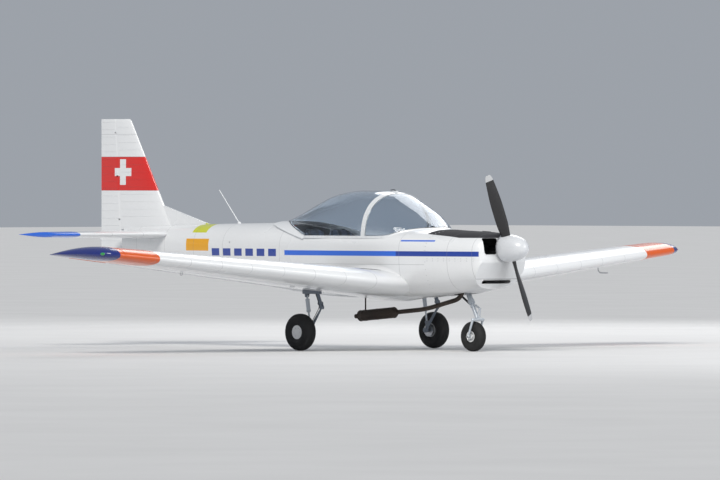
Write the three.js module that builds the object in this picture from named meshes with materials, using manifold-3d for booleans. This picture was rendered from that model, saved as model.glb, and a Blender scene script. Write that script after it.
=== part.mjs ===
// Two-seat low-wing training aircraft, side-by-side cabin under a sliding canopy.
// Millimetres. X runs forward to the nose, Y to the port side, Z up from the ground.
// The origin lies on the ground under the middle of the length.
import * as THREE from "three";
import { mergeVertices } from "three/addons/utils/BufferGeometryUtils.js";
import Module from "manifold-3d";

const wasm = await Module();
wasm.setup();

// Overall driving sizes
const LENGTH = 7500;
const NOSE_X = LENGTH / 2;
const TAIL_X = -LENGTH / 2;
const SEAT_GAP = 0.3;
const MOVING_GAP = 6;
const MERGE_STEP = 0.001;
const RING_PAIRS = 11;
const FOIL_PAIRS = 10;
const ROUND_SIDES = 10;
const PIN_SIDES = 8;
const WHEEL_SIDES = 26;

// Fuselage outline, front to back: station, half width, top, bottom, height of the widest point,
// and how square the upper and lower halves of the section are.
const HULL_COLUMNS = ["x", "half", "top", "bottom", "wide", "upper", "lower"];
const HULL_TABLE = [
  [3370, 345, 1386, 840, 1135, 2.9, 2.6],
  [3345, 385, 1406, 795, 1138, 2.9, 2.6],
  [3270, 426, 1418, 762, 1142, 2.8, 2.7],
  [3120, 462, 1428, 741, 1150, 2.7, 2.8],
  [2850, 504, 1441, 697, 1166, 2.6, 2.9],
  [2550, 538, 1453, 664, 1188, 2.5, 3.0],
  [2280, 558, 1470, 645, 1210, 2.5, 3.1],
  [1890, 578, 1500, 630, 1235, 2.5, 3.2],
  [1500, 590, 1520, 624, 1245, 2.5, 3.2],
  [1000, 584, 1532, 626, 1240, 2.5, 3.2],
  [460, 540, 1537, 643, 1220, 2.5, 3.0],
  [0, 500, 1536, 680, 1210, 2.5, 2.8],
  [-350, 465, 1531, 718, 1205, 2.5, 2.6],
  [-1000, 388, 1522, 808, 1215, 2.3, 2.4],
  [-1750, 300, 1508, 910, 1235, 2.2, 2.2],
  [-2500, 212, 1492, 1010, 1260, 2.2, 2.1],
  [-3000, 140, 1478, 1080, 1280, 2.1, 2.0],
  [-3296, 74, 1466, 1122, 1295, 2.0, 2.0],
];
const FIREWALL_X = 2550;
const TAIL_JOINT_X = -600;
const HULL_END_X = -3296;
const HULL_WALL = 25;
const FLOOR_DEPTH = 50;
const TAIL_WALL = 16;
const COWL_WALL = 12;
const COWL_SPLIT_Z = 1100;

// Cabin opening, as the side view of what is cut off above the sill
const SILL_Z = 1350;
const REAR_RIM = { x: -350, z: 1531 };
const REAR_SILL_X = 460;
const FRONT_SILL_X = 1890;
const FRONT_RIM = { x: 2430, z: 1456 };
const ABOVE_ALL_Z = 2400;
const SIDE_Y = 1000;

// Glazing, front to back: station, half width at the sill, top of the glass
const GLASS_COLUMNS = ["x", "half", "top"];
const GLASS_TABLE = [
  [2430, 300, 1462],
  [2350, 368, 1500],
  [2200, 443, 1588],
  [2050, 502, 1672],
  [1890, 546, 1755],
  [1690, 566, 1848],
  [1540, 574, 1900],
  [1400, 573, 1919],
  [1000, 564, 1925],
  [700, 551, 1892],
  [460, 534, 1828],
  [230, 506, 1750],
  [0, 462, 1668],
  [-200, 400, 1600],
  [-350, 330, 1552],
];
const GLASS_SQUARE = 2.3;
const GLASS_WALL = 6;
const GLASS_PAIRS = 7;
const BOW_X = 1540;
const BOW_WIDTH = 34;
const BOW_GAP = 5;
const SCREEN_BOW_WIDTH = 26;
const FRAME_PROUD = 4;
const FRAME_DEPTH = 14;
const FRAME_HEIGHT = 30;
const RIM_CLEARANCE = 6;
const RIM_THICKNESS = 14;
const RIM_OVERLAP = 12;
const LATCH = { length: 60, width: 44, z: 1890, height: 31 };

// Wing, in a frame that is tilted by the dihedral about the centreline
const DIHEDRAL = THREE.MathUtils.degToRad(5);
const WING_Z = 767;
const WING_ROOT_Y = 300;
const WING_TIP_Y = 4680;
const HALF_SPAN = 4875;
const WING_REF_Y = 550;
const WING_LEAD = { root: 2220, tip: 1690 };
const WING_TRAIL = { root: 420, tip: 580 };
const WING_THICKNESS = { root: 0.175, tip: 0.15 };
const WING_INCIDENCE = { root: THREE.MathUtils.degToRad(3), tip: THREE.MathUtils.degToRad(1) };
const WING_CAMBER = 0.02;
const TRAILING_EDGE = 5;
const FLAP = { inner: 760, outer: 2750, fraction: 0.76, pins: [860, 1755, 2650] };
const AILERON = { inner: 2790, outer: 4600, fraction: 0.77, pins: [2890, 3695, 4500] };
const JACK_PAD = { x: 1500, y: 1700, radius: 28, drop: 14 };

// Tailplane
const TAIL_Z = 1380;
const TAIL_HALF_SPAN = 1835;
const TAIL_LEAD = { root: -2280, tip: -2600 };
const TAIL_TRAIL = { root: -3345, tip: -3250 };
const TAIL_THICKNESS = 0.1;
const ELEVATOR_HINGE_X = -2960;
const ELEVATOR = { inner: 200, outer: 1785, hingeX: () => ELEVATOR_HINGE_X, pins: [330, 1000, 1680] };
const TORQUE_TUBE_RADIUS = 18;

// Fin and rudder, by height: leading edge and thickness; the trailing edge is upright
const FIN_TABLE = [
  [1150, -2257, 0.084],
  [1440, -2423, 0.084],
  [2300, -2918, 0.083],
  [2770, -3188, 0.08],
  [2810, -3225, 0.05],
];
const FIN_BOTTOM = 1440;
const RUDDER_HINGE = { bottom: [1150, -3352], top: [2810, -3482] };
const RUDDER = {
  inner: 1150,
  outer: 2810,
  between: [1440, 2300, 2770],
  overrun: 60,
  pins: [1560, 2100, 2640],
  hingeX: (z) => {
    const [[lowZ, lowX], [highZ, highX]] = [RUDDER_HINGE.bottom, RUDDER_HINGE.top];
    return lowX + ((z - lowZ) * (highX - lowX)) / (highZ - lowZ);
  },
};
const DORSAL_OUTLINE = [[-1750, 1500], [-2600, 1734], [-2760, 1734], [-2760, 1440], [-1750, 1440]];
const DORSAL_HALF = 15;

// Spinner and propeller
const SHAFT_Z = 1240;
const SPINNER_BASE_X = 3400;
const SPINNER_RADIUS = 165;
const PROPELLER_RADIUS = 940;
const PROPELLER_REST = THREE.MathUtils.degToRad(23);
const PROPELLER_X = 3462;
const HUB_RADIUS = 62;
const HUB_LENGTH = 96;
const SHAFT_RADIUS = 34;

// Main wheels on trailing arms, and the steered nose wheel
const TRACK = 2250;
const MAIN_AXLE_X = 1030;
const MAIN_TYRE = { radius: 222.5, width: 160, bead: 84, seat: 60 };
const NOSE_AXLE_X = 2850;
const NOSE_TYRE = { radius: 180.5, width: 127, bead: 68, seat: 50 };
const AXLE_RADIUS = 16;
const LEG_Y = 985;
const KNEE = { x: 1253, z: 520 };
const LEG_TOP = { x: 1172, z: 700 };
const STRUT_TOP = { x: 998, z: 656 };
const STRUT_FOOT = { x: 1050, z: 322 };
const NOSE_LEG_TOP = new THREE.Vector3(2672, 0, 874);
const NOSE_LEG_FOOT = new THREE.Vector3(2925, 0, 382);
const NOSE_LEG_RADIUS = 32;
const NOSE_COLLAR = 0.62;

// Exhaust under the belly
const EXHAUST_Y = -110;
const SILENCER = { front: 1610, back: 1017, frontZ: 455, backZ: 408, radius: 66 };
const PIPE_RADIUS = 27;

// Nose openings
const INLET = { y: 243, z: 1262, width: 184, height: 208, corner: 46 };
const CHIN_SLOT = { z: 836, width: 490, height: 54, corner: 24 };
const SHAFT_HOLE = 84;
const COWL_OUTLET = { half: 165, front: 2860 };
const ENGINE = { low: [2660, -370, 930], high: [3125, 370, 1280] };
const ENGINE_MOUNTS = [[-300, 1000], [300, 1000], [-300, 1230], [300, 1230]];

// Hinges of the control surfaces
const LUG = { radius: 18, width: 8, pin: 4 };
const NOSE_STEPS = 4;

// Cabin furniture
const BULKHEAD_X = -540;
const PANEL = { x: 1850, back: 1790, plate: 14, shelf: 14, bottom: 1040 };
const CONSOLE = { back: 1340, half: 60, top: 930 };
const SEAT = { back: 520, front: 1080, inner: 40, outer: 480, pan: 850, cushion: 950, rake: 250, top: 1470 };
const STICK = { x: 1280, y: 265, z: 720, top: 1110 };

// Small fittings
const ANTENNA = { x: -1240, z: 1518, lean: -360, height: 410 };
const BRACKET = { back: 955, front: 1215, half: 36, bottom: 682 };
const EYE_WIDTH = 24;
const FORK_Y = 86;
const NOSE_AXLE_RADIUS = 12;
const SPINNER_SKIRT = 20;
const SPINNER_STEPS = 6;

// Propeller blade, from the hub outwards: radius, chord, thickness, pitch in degrees
const BLADE_TABLE = [
  [40, 96, 62, 52],
  [170, 112, 46, 46],
  [330, 142, 28, 34],
  [560, 148, 19, 25],
  [780, 124, 13, 19],
  [900, 92, 9, 17],
  [PROPELLER_RADIUS, 46, 6, 16],
];

// Wing tip cap, outwards: share of its length, share of chord, share of thickness
const TIP_STEPS = [
  [0, 1, 1],
  [0.45, 0.95, 0.9],
  [0.75, 0.84, 0.68],
  [0.93, 0.68, 0.38],
  [1, 0.5, 0.1],
];

const finish = (color, roughness, metalness = 0) =>
  new THREE.MeshStandardMaterial({ color, roughness, metalness });
const PAINT = {
  white: finish(0xf0f1f0, 0.35),
  navy: finish(0x16256f, 0.4),
  black: finish(0x17181a, 0.6),
  grey: finish(0x9aa3ad, 0.45),
  steel: finish(0x6b6e72, 0.4, 0.9),
  alloy: finish(0xc7cacc, 0.35, 0.9),
  soot: finish(0x2c2a29, 0.75, 0.4),
  tyre: finish(0x1b1b1c, 0.9),
  glass: finish(0xbcd0dc, 0.08),
  fabric: finish(0x3a4656, 0.95),
  plastic: finish(0x26282b, 0.7),
};

// Solids: triangles in, triangles out

function solidOf(geometry) {
  const bare = new THREE.BufferGeometry();
  bare.setAttribute("position", geometry.getAttribute("position").clone());
  if (geometry.index) {
    bare.setIndex(geometry.index.clone());
  }
  const merged = mergeVertices(bare, MERGE_STEP);
  const vertProperties = new Float32Array(merged.getAttribute("position").array);
  const triVerts = new Uint32Array(merged.index.array);
  return new wasm.Manifold(new wasm.Mesh({ numProp: 3, vertProperties, triVerts }));
}

function geometryOf(solid) {
  const mesh = solid.getMesh();
  const geometry = new THREE.BufferGeometry();
  geometry.setAttribute("position", new THREE.BufferAttribute(new Float32Array(mesh.vertProperties), 3));
  geometry.setIndex(new THREE.BufferAttribute(new Uint32Array(mesh.triVerts), 1));
  return geometry;
}

function join(...geometries) {
  const solids = geometries.map(solidOf);
  return geometryOf(solids.reduce((whole, next) => whole.add(next)));
}

function cut(geometry, ...cutters) {
  const solids = cutters.map(solidOf);
  return geometryOf(solids.reduce((whole, next) => whole.subtract(next), solidOf(geometry)));
}

function common(...geometries) {
  const solids = geometries.map(solidOf);
  return geometryOf(solids.reduce((whole, next) => whole.intersect(next)));
}

// A closed skin through rings of points. A ring starts with one point on its plane of
// symmetry, and then point k has its mirror at the ring's length minus k. The quads are
// split the mirrored way on the two sides, so that both sides are exactly alike.
function loft(rings) {
  const count = rings[0].length;
  const faces = [];
  for (let ring = 0; ring + 1 < rings.length; ring += 1) {
    for (let step = 0; step < count; step += 1) {
      const here = ring * count + step;
      const next = ring * count + ((step + 1) % count);
      if (step < (count - 1) / 2) {
        faces.push(here, next, next + count, here, next + count, here + count);
      } else {
        faces.push(here, next, here + count, next, next + count, here + count);
      }
    }
  }
  const last = (rings.length - 1) * count;
  faces.push(0, count - 1, 1, last, last + 1, last + count - 1);
  for (let step = 1; step < (count - 1) / 2; step += 1) {
    const mirror = count - step;
    faces.push(step, mirror, step + 1, step + 1, mirror, mirror - 1);
    faces.push(last + step, last + step + 1, last + mirror);
    faces.push(last + step + 1, last + mirror - 1, last + mirror);
  }
  const geometry = new THREE.BufferGeometry().setFromPoints(rings.flat());
  geometry.setIndex(faces);
  return volumeOf(geometry) < 0 ? turnedInsideOut(geometry) : geometry;
}

function volumeOf(geometry) {
  const points = geometry.getAttribute("position");
  const corners = [new THREE.Vector3(), new THREE.Vector3(), new THREE.Vector3()];
  let volume = 0;
  for (let start = 0; start < geometry.index.count; start += 3) {
    corners.forEach((corner, k) => corner.fromBufferAttribute(points, geometry.index.getX(start + k)));
    volume += corners[0].dot(corners[1].clone().cross(corners[2])) / 6;
  }
  return volume;
}

function turnedInsideOut(geometry) {
  const faces = Array.from(geometry.index.array);
  for (let start = 0; start < faces.length; start += 3) {
    [faces[start + 1], faces[start + 2]] = [faces[start + 2], faces[start + 1]];
  }
  geometry.setIndex(faces);
  return geometry;
}

// The same piece on the starboard side
function mirrored(geometry) {
  const copy = geometryOf(solidOf(geometry));
  copy.scale(1, -1, 1);
  return turnedInsideOut(copy);
}

function box(low, high) {
  const size = high.map((value, axis) => value - low[axis]);
  const geometry = new THREE.BoxGeometry(...size);
  return geometry.translate(...low.map((value, axis) => value + size[axis] / 2));
}

// A round bar between two points, which may taper
function rod(start, end, radius, endRadius = radius, sides = ROUND_SIDES) {
  const from = new THREE.Vector3(...start);
  const along = new THREE.Vector3(...end).sub(from);
  const geometry = new THREE.CylinderGeometry(endRadius, radius, along.length(), sides);
  geometry.translate(0, along.length() / 2, 0);
  const turn = new THREE.Quaternion().setFromUnitVectors(new THREE.Vector3(0, 1, 0), along.normalize());
  return geometry.applyQuaternion(turn).translate(...start);
}

// The radius of a hole with flat sides that a round bar can turn in
const turningHole = (radius, sides) => (radius + SEAT_GAP) / Math.cos(Math.PI / sides);

function ball(centre, radius) {
  return new THREE.SphereGeometry(radius, PIN_SIDES, PIN_SIDES / 2).translate(...centre);
}

// A flat outline in side view, extruded across the aircraft between two Y values
function sideProfile(points, fromY, toY) {
  const shape = new THREE.Shape(points.map(([x, z]) => new THREE.Vector2(x, z)));
  const geometry = new THREE.ExtrudeGeometry(shape, { depth: toY - fromY, bevelEnabled: false });
  return geometry.rotateX(Math.PI / 2).translate(0, toY, 0);
}

// A profile of [radius, height] turned about Z, then laid along X or Y
function turned(profile, axis, centre, sides = 24) {
  const points = profile.map(([radius, height]) => new THREE.Vector2(radius, height));
  const geometry = new THREE.LatheGeometry(points, sides);
  if (axis === "x") {
    geometry.rotateZ(-Math.PI / 2);
  }
  const solid = geometry.translate(...centre);
  const merged = geometryOf(solidOf(solid));
  return volumeOf(merged) < 0 ? turnedInsideOut(merged) : merged;
}

const mix = (low, high, share) => low + (high - low) * share;

// Reads a table by its first column, straight between rows
function readTable(columns, table, key) {
  const rising = table[0][0] < table[table.length - 1][0];
  const rows = rising ? table : [...table].reverse();
  const upper = Math.max(1, rows.findIndex((row) => row[0] >= key));
  const above = rows.some((row) => row[0] >= key) ? rows[upper] : rows[rows.length - 1];
  const below = rows[rows.indexOf(above) - 1];
  const share = (key - below[0]) / (above[0] - below[0]);
  return Object.fromEntries(columns.map((name, k) => [name, mix(below[k], above[k], share)]));
}

function stationsBetween(table, from, to) {
  const [low, high] = [Math.min(from, to) + 1, Math.max(from, to) - 1];
  const inside = table.map((row) => row[0]).filter((x) => x > low && x < high);
  return [from, ...inside.sort((a, b) => (from < to ? a - b : b - a)), to];
}

// Fuselage skin, moved inward by inset and raised at the bottom by floor

function hullRing(x, inset, floor) {
  const at = readTable(HULL_COLUMNS, HULL_TABLE, x);
  const half = at.half - inset;
  const side = (sign) => (step) => {
    const angle = (Math.PI * step) / (RING_PAIRS + 0.5);
    const upper = angle < Math.PI / 2;
    const power = 2 / (upper ? at.upper : at.lower);
    const reach = upper ? at.top - inset - at.wide : at.wide - at.bottom - floor;
    const y = half * Math.sin(angle) ** power;
    const z = at.wide + Math.sign(Math.cos(angle)) * reach * Math.abs(Math.cos(angle)) ** power;
    return new THREE.Vector3(x, sign * y, z);
  };
  const steps = Array.from({ length: RING_PAIRS }, (unused, k) => k + 1);
  const top = new THREE.Vector3(x, 0, at.top - inset);
  return [top, ...steps.map(side(1)), ...steps.reverse().map(side(-1))];
}

function hull(from, to, inset = 0, floor = inset) {
  return loft(stationsBetween(HULL_TABLE, from, to).map((x) => hullRing(x, inset, floor)));
}

// The side view of what lies above the cabin sill, and of the bands of the canopy's frame

function sideLine(frontX, backX, lift) {
  const slope = (REAR_RIM.z - SILL_Z) / (REAR_SILL_X - REAR_RIM.x);
  const rise = (FRONT_RIM.z - SILL_Z) / (FRONT_RIM.x - FRONT_SILL_X);
  return [
    [frontX, SILL_Z + lift + rise * (frontX - FRONT_SILL_X)],
    [FRONT_SILL_X, SILL_Z + lift],
    [REAR_SILL_X, SILL_Z + lift],
    [backX, SILL_Z + lift + slope * (REAR_SILL_X - backX)],
  ];
}

function aboveLine(line) {
  const front = line[0][0];
  const back = line[line.length - 1][0];
  return sideProfile([[front, ABOVE_ALL_Z], ...line, [back, ABOVE_ALL_Z]], -SIDE_Y, SIDE_Y);
}

// The sliding canopy's lower edge rests on the sill, then drops to overlap the rear deck
function canopyLine(lift) {
  const [, , corner, back] = sideLine(FRONT_RIM.x, REAR_RIM.x - 300, SEAT_GAP + lift);
  const overlap = RIM_OVERLAP + SEAT_GAP;
  return [
    [FRONT_RIM.x, corner[1]],
    [corner[0] - RIM_CLEARANCE, corner[1]],
    [corner[0] - RIM_CLEARANCE, corner[1] - overlap],
    [back[0], back[1] - overlap],
  ];
}

// Glazing bubble, moved inward by inset, closed by a foot under the sill
function glassRing(x, inset) {
  const at = readTable(GLASS_COLUMNS, GLASS_TABLE, x);
  const half = at.half - inset;
  const rise = at.top - inset - SILL_Z;
  const side = (sign) => (step) => {
    const angle = (Math.PI / 2) * (step / GLASS_PAIRS);
    const y = half * Math.sin(angle) ** (2 / GLASS_SQUARE);
    const z = SILL_Z + rise * Math.max(0, Math.cos(angle)) ** (2 / GLASS_SQUARE);
    return new THREE.Vector3(x, sign * y, z);
  };
  const foot = (sign) => new THREE.Vector3(x, sign * half, SILL_Z - 60 - inset * 2);
  const steps = Array.from({ length: GLASS_PAIRS }, (unused, k) => k + 1);
  const top = new THREE.Vector3(x, 0, SILL_Z + rise);
  return [top, ...steps.map(side(1)), foot(1), foot(-1), ...steps.reverse().map(side(-1))];
}

function bubble(inset) {
  const front = GLASS_TABLE[0][0];
  const back = GLASS_TABLE[GLASS_TABLE.length - 1][0];
  const centre = (front + back) / 2;
  const shrink = 1 - (2 * Math.max(0, inset)) / (front - back);
  const solid = loft(stationsBetween(GLASS_TABLE, front, back).map((x) => glassRing(x, inset)));
  return solid.translate(-centre, 0, 0).scale(shrink, 1, 1).translate(centre, 0, 0);
}

// The bubble with the skirt that passes outside the rear deck
function glazed(inset, skirt, backX) {
  const deckSpan = box([backX - 1, -SIDE_Y, SILL_Z - 50], [REAR_SILL_X + 140, SIDE_Y, ABOVE_ALL_Z]);
  return join(bubble(inset), common(hull(REAR_SILL_X - RIM_CLEARANCE, backX, -skirt), deckSpan));
}

function glazing() {
  const back = REAR_RIM.x;
  const innerSkirt = hull(REAR_SILL_X + 20, back - 60, -RIM_CLEARANCE);
  const rim = RIM_CLEARANCE + RIM_THICKNESS;
  const frame = cut(glazed(-FRAME_PROUD, rim, back), bubble(FRAME_DEPTH), innerSkirt);
  const glass = cut(glazed(0, rim - FRAME_PROUD, back), bubble(GLASS_WALL), innerSkirt);
  const span = (fromX, toX) => box([fromX, -SIDE_Y, 1000], [toX, SIDE_Y, ABOVE_ALL_Z]);
  const [behind, ahead] = [back - 60, FRONT_RIM.x + 170];
  const canopySpan = span(behind, BOW_X);
  const glassSpan = span(behind, BOW_X - BOW_WIDTH - SEAT_GAP);
  const holeSpan = span(behind, BOW_X - BOW_WIDTH);
  const screenX = BOW_X + BOW_GAP;
  const screenSpan = span(screenX, ahead);
  const paneSpan = span(screenX + SCREEN_BOW_WIDTH + SEAT_GAP, ahead);
  const screenHole = span(screenX + SCREEN_BOW_WIDTH, ahead);
  const canopyBand = common(frame, canopySpan, aboveLine(canopyLine(0)));
  const canopyHole = common(holeSpan, aboveLine(canopyLine(FRAME_HEIGHT)));
  const frontX = FRONT_RIM.x + 60;
  const screenLine = (lift) => aboveLine(sideLine(frontX, REAR_RIM.x, lift));
  const latch = cut(latchBox(0), bubble(FRAME_DEPTH));
  const paneRoof = aboveLine(canopyLine(FRAME_HEIGHT + SEAT_GAP));
  return {
    canopy_frame: join(cut(canopyBand, canopyHole), latch),
    canopy_glass: cut(common(glass, glassSpan, paneRoof), latchBox(SEAT_GAP)),
    windscreen_frame: cut(
      common(frame, screenSpan, screenLine(SEAT_GAP)),
      common(screenHole, screenLine(FRAME_HEIGHT)),
    ),
    windscreen_glass: common(glass, paneSpan, screenLine(FRAME_HEIGHT + SEAT_GAP)),
  };
}

// The latch on the bow, or with a spare the room it needs in the glass
function latchBox(spare) {
  return box(
    [BOW_X - LATCH.length - spare, -LATCH.width / 2 - spare, LATCH.z - spare],
    [BOW_X + spare, LATCH.width / 2 + spare, LATCH.z + LATCH.height + spare],
  );
}

function fuselage() {
  const cabin = cut(
    hull(FIREWALL_X, TAIL_JOINT_X),
    hull(FIREWALL_X - HULL_WALL, TAIL_JOINT_X - 50, HULL_WALL, FLOOR_DEPTH),
    aboveLine(sideLine(FRONT_RIM.x, REAR_RIM.x, 0)),
  );
  const bearing = turningHole(TORQUE_TUBE_RADIUS, ROUND_SIDES);
  const cone = cut(
    hull(TAIL_JOINT_X - SEAT_GAP, HULL_END_X),
    hull(TAIL_JOINT_X + 50, HULL_END_X - 60, TAIL_WALL),
    rod([ELEVATOR_HINGE_X, -300, TAIL_Z], [ELEVATOR_HINGE_X, 300, TAIL_Z], bearing),
  );
  const wall = inside(box([BULKHEAD_X - 15, -600, 600], [BULKHEAD_X, 600, 1600]));
  return { cabin_tub: cabin, tail_cone: cone, cabin_bulkhead: wall };
}

// An upright plate with round corners, facing forward, for the openings in the nose
function noseOpening(size, centre, fromX) {
  const radius = size.corner;
  const across = size.width / 2 - radius;
  const upward = size.height / 2 - radius;
  const shape = new THREE.Shape();
  shape.absarc(across, upward, radius, 0, Math.PI / 2);
  shape.absarc(-across, upward, radius, Math.PI / 2, Math.PI);
  shape.absarc(-across, -upward, radius, Math.PI, 1.5 * Math.PI);
  shape.absarc(across, -upward, radius, 1.5 * Math.PI, 2 * Math.PI);
  const options = { depth: NOSE_X - fromX, bevelEnabled: false, curveSegments: 4 };
  const geometry = new THREE.ExtrudeGeometry(shape, options);
  geometry.rotateX(Math.PI / 2).rotateZ(Math.PI / 2);
  return geometry.translate(fromX, centre[0], centre[1]);
}

// What is cut away in front of the chin, moved back by the wall thickness for the inside
function chinWedge(back) {
  const outline = [[3460, 1085], [3372, 1085], [3205, 780], [3180, 640], [3460, 640]];
  return sideProfile(outline.map(([x, z]) => [x < 3460 ? x - back : x, z]), -700, 700);
}

function cowling() {
  const nose = HULL_TABLE[0][0];
  const outer = cut(hull(nose, FIREWALL_X + SEAT_GAP), chinWedge(0));
  const inner = cut(hull(nose - COWL_WALL, FIREWALL_X - 50, COWL_WALL), chinWedge(COWL_WALL));
  const inlet = (side) => noseOpening(INLET, [side * INLET.y, INLET.z], nose - 170);
  const slot = noseOpening(CHIN_SLOT, [0, CHIN_SLOT.z], nose - 250);
  const shaftHole = rod([nose - 70, 0, SHAFT_Z], [nose + 90, 0, SHAFT_Z], SHAFT_HOLE, SHAFT_HOLE, 24);
  const outlet = box([FIREWALL_X - 50, -COWL_OUTLET.half, 600], [COWL_OUTLET.front, COWL_OUTLET.half, 800]);
  const shell = cut(outer, inner, inlet(1), inlet(-1), slot, shaftHole, outlet);
  const above = box([2000, -1000, COWL_SPLIT_Z + SEAT_GAP], [4000, 1000, 2000]);
  const below = box([2000, -1000, 0], [4000, 1000, COWL_SPLIT_Z]);
  return { cowl_upper: common(shell, above), cowl_lower: common(shell, below) };
}

function engine() {
  const block = box(ENGINE.low, ENGINE.high);
  const shaftEnd = PROPELLER_X - HUB_LENGTH / 2 - SEAT_GAP;
  const shaft = rod([ENGINE.high[0] - 20, 0, SHAFT_Z], [shaftEnd, 0, SHAFT_Z], SHAFT_RADIUS);
  const mounts = ENGINE_MOUNTS.map(([y, z]) =>
    rod([FIREWALL_X + SEAT_GAP, y, z], [ENGINE.low[0] + 40, y, z], 16, 16, 10));
  return { engine_block: join(block, shaft, ...mounts) };
}

// Lifting surfaces. A panel has sections at stations along its span, joined by straight
// lines, and a rule that places a point of span, x and distance off the middle plane.

function foilPoint(panel, span, fraction, side) {
  const [, first, second] = bracket(panel.sections, span);
  const share = (span - first.span) / (second.span - first.span);
  const [a, b] = [first, second].map((section) => sectionPoint(section, fraction, side));
  return [mix(a[0], b[0], share), mix(a[1], b[1], share)];
}

function bracket(sections, span) {
  const index = sections.findIndex((section) => section.span >= span);
  const upper = Math.max(1, index < 0 ? sections.length - 1 : index);
  return [upper, sections[upper - 1], sections[upper]];
}

// The usual four-figure thickness curve, with a blunt trailing edge
function sectionPoint(section, fraction, side) {
  const chord = section.lead - section.trail;
  const curve = 0.2969 * Math.sqrt(fraction) - 0.126 * fraction - 0.3516 * fraction ** 2;
  const body = 5 * section.thickness * (curve + 0.2843 * fraction ** 3 - 0.1036 * fraction ** 4);
  const middle = section.camber * 4 * fraction * (1 - fraction) - fraction * Math.tan(section.incidence);
  const x = section.lead - fraction * chord;
  return [x, middle * chord + side * (body * chord + (TRAILING_EDGE / 2) * fraction)];
}

function pairedRing(panel, span, nose, upper, lower) {
  const outline = [nose, ...upper, ...[...lower].reverse()];
  return outline.map(([x, w]) => new THREE.Vector3(...panel.place(span, x, w)));
}

function foilRing(panel, span) {
  const steps = Array.from({ length: FOIL_PAIRS }, (unused, k) => k + 1);
  const fractions = steps.map((step) => (1 - Math.cos((Math.PI * step) / FOIL_PAIRS)) / 2);
  const surface = (side) => fractions.map((fraction) => foilPoint(panel, span, fraction, side));
  return pairedRing(panel, span, foilPoint(panel, span, 0, 1), surface(1), surface(-1));
}

function foil(panel, spans) {
  return loft(spans.map((span) => foilRing(panel, span)));
}

function pivotAt(panel, control, span) {
  const lead = foilPoint(panel, span, 0, 1)[0];
  const trail = foilPoint(panel, span, 1, 1)[0];
  const fraction = control.fraction ?? (lead - control.hingeX(span)) / (lead - trail);
  const [x, upper] = foilPoint(panel, span, fraction, 1);
  const lower = foilPoint(panel, span, fraction, -1)[1];
  return { x, w: (upper + lower) / 2, radius: (upper - lower) / 2, fraction, trail };
}

function noseArc(pivot, radius, side, steps) {
  return Array.from({ length: steps }, (unused, k) => {
    const angle = (Math.PI / 2) * ((k + 1) / steps);
    return [pivot.x + radius * Math.cos(angle), pivot.w + side * radius * Math.sin(angle)];
  });
}

// The moving surface: a round nose about the hinge, then the section's own rear part
function controlRing(panel, control, span) {
  const pivot = pivotAt(panel, control, span);
  const rear = [1 / 3, 2 / 3, 1].map((share) => mix(pivot.fraction, 1, share));
  const surface = (side) => [
    ...noseArc(pivot, pivot.radius, side, NOSE_STEPS),
    ...rear.map((fraction) => foilPoint(panel, span, fraction, side)),
  ];
  return pairedRing(panel, span, [pivot.x + pivot.radius, pivot.w], surface(1), surface(-1));
}

// The room it turns in, open above, below and behind
function bayRing(panel, control, span) {
  const pivot = pivotAt(panel, control, span);
  const radius = pivot.radius + MOVING_GAP;
  const room = (side) => [
    ...noseArc(pivot, radius, side, NOSE_STEPS),
    [pivot.x, pivot.w + side * 300],
    [pivot.trail - 200, pivot.w + side * 300],
  ];
  return pairedRing(panel, span, [pivot.x + radius, pivot.w], room(1), room(-1));
}

function panelBox(panel, spans, xs, ws) {
  const corners = [0, 1].map((k) => panel.place(spans[k], xs[k], ws[k]));
  return box(corners[0], corners[1]);
}

// Hinges: a lug from the fixed surface holds a pin that crosses a slot in the moving one
function hinge(panel, control, span) {
  const pivot = pivotAt(panel, control, span);
  const axis = hingeAxis(panel, control);
  const centre = new THREE.Vector3(...panel.place(span, pivot.x, pivot.w));
  const onAxis = (distance) => centre.clone().addScaledVector(axis, distance).toArray();
  const lugRadius = Math.min(LUG.radius, pivot.radius * 0.62);
  const reach = pivot.x + pivot.radius + MOVING_GAP + 12;
  const half = LUG.width / 2;
  const room = half + MOVING_GAP;
  const eye = rod(onAxis(-half), onAxis(half), lugRadius);
  const around = (height) => [pivot.w - height, pivot.w + height];
  const arm = panelBox(panel, [span - half, span + half], [pivot.x, reach], around(lugRadius));
  const holeRadius = turningHole(LUG.pin, PIN_SIDES);
  const hole = rod(onAxis(-room), onAxis(room), holeRadius, holeRadius, PIN_SIDES);
  const slotBack = pivot.x - lugRadius - MOVING_GAP;
  const slot = panelBox(panel, [span - room, span + room], [slotBack, reach + 40], around(pivot.radius + 30));
  const pin = rod(onAxis(-room - 5), onAxis(room + 5), LUG.pin, LUG.pin, PIN_SIDES);
  return { lug: cut(join(eye, arm), hole), slot, pin };
}

function hingeAxis(panel, control) {
  const ends = [control.inner, control.outer].map((span) => {
    const pivot = pivotAt(panel, control, span);
    return new THREE.Vector3(...panel.place(span, pivot.x, pivot.w));
  });
  return ends[1].sub(ends[0]).normalize();
}

function movingSurface(panel, control) {
  const spans = [control.inner, ...(control.between ?? []), control.outer];
  const whole = loft(spans.map((span) => controlRing(panel, control, span)));
  const hinges = control.pins.map((span) => hinge(panel, control, span));
  return join(cut(whole, ...hinges.map((part) => part.slot)), ...hinges.map((part) => part.pin));
}

function withBay(solid, panel, control) {
  const [inner, outer] = [control.inner - MOVING_GAP, control.outer + (control.overrun ?? MOVING_GAP)];
  const spans = [inner, ...(control.between ?? []), outer];
  const bay = loft(spans.map((span) => bayRing(panel, control, span)));
  const lugs = control.pins.map((span) => hinge(panel, control, span).lug);
  return join(cut(solid, bay), ...lugs);
}

const lerpBy = (ends, share) => mix(ends.root, ends.tip, share);

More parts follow.
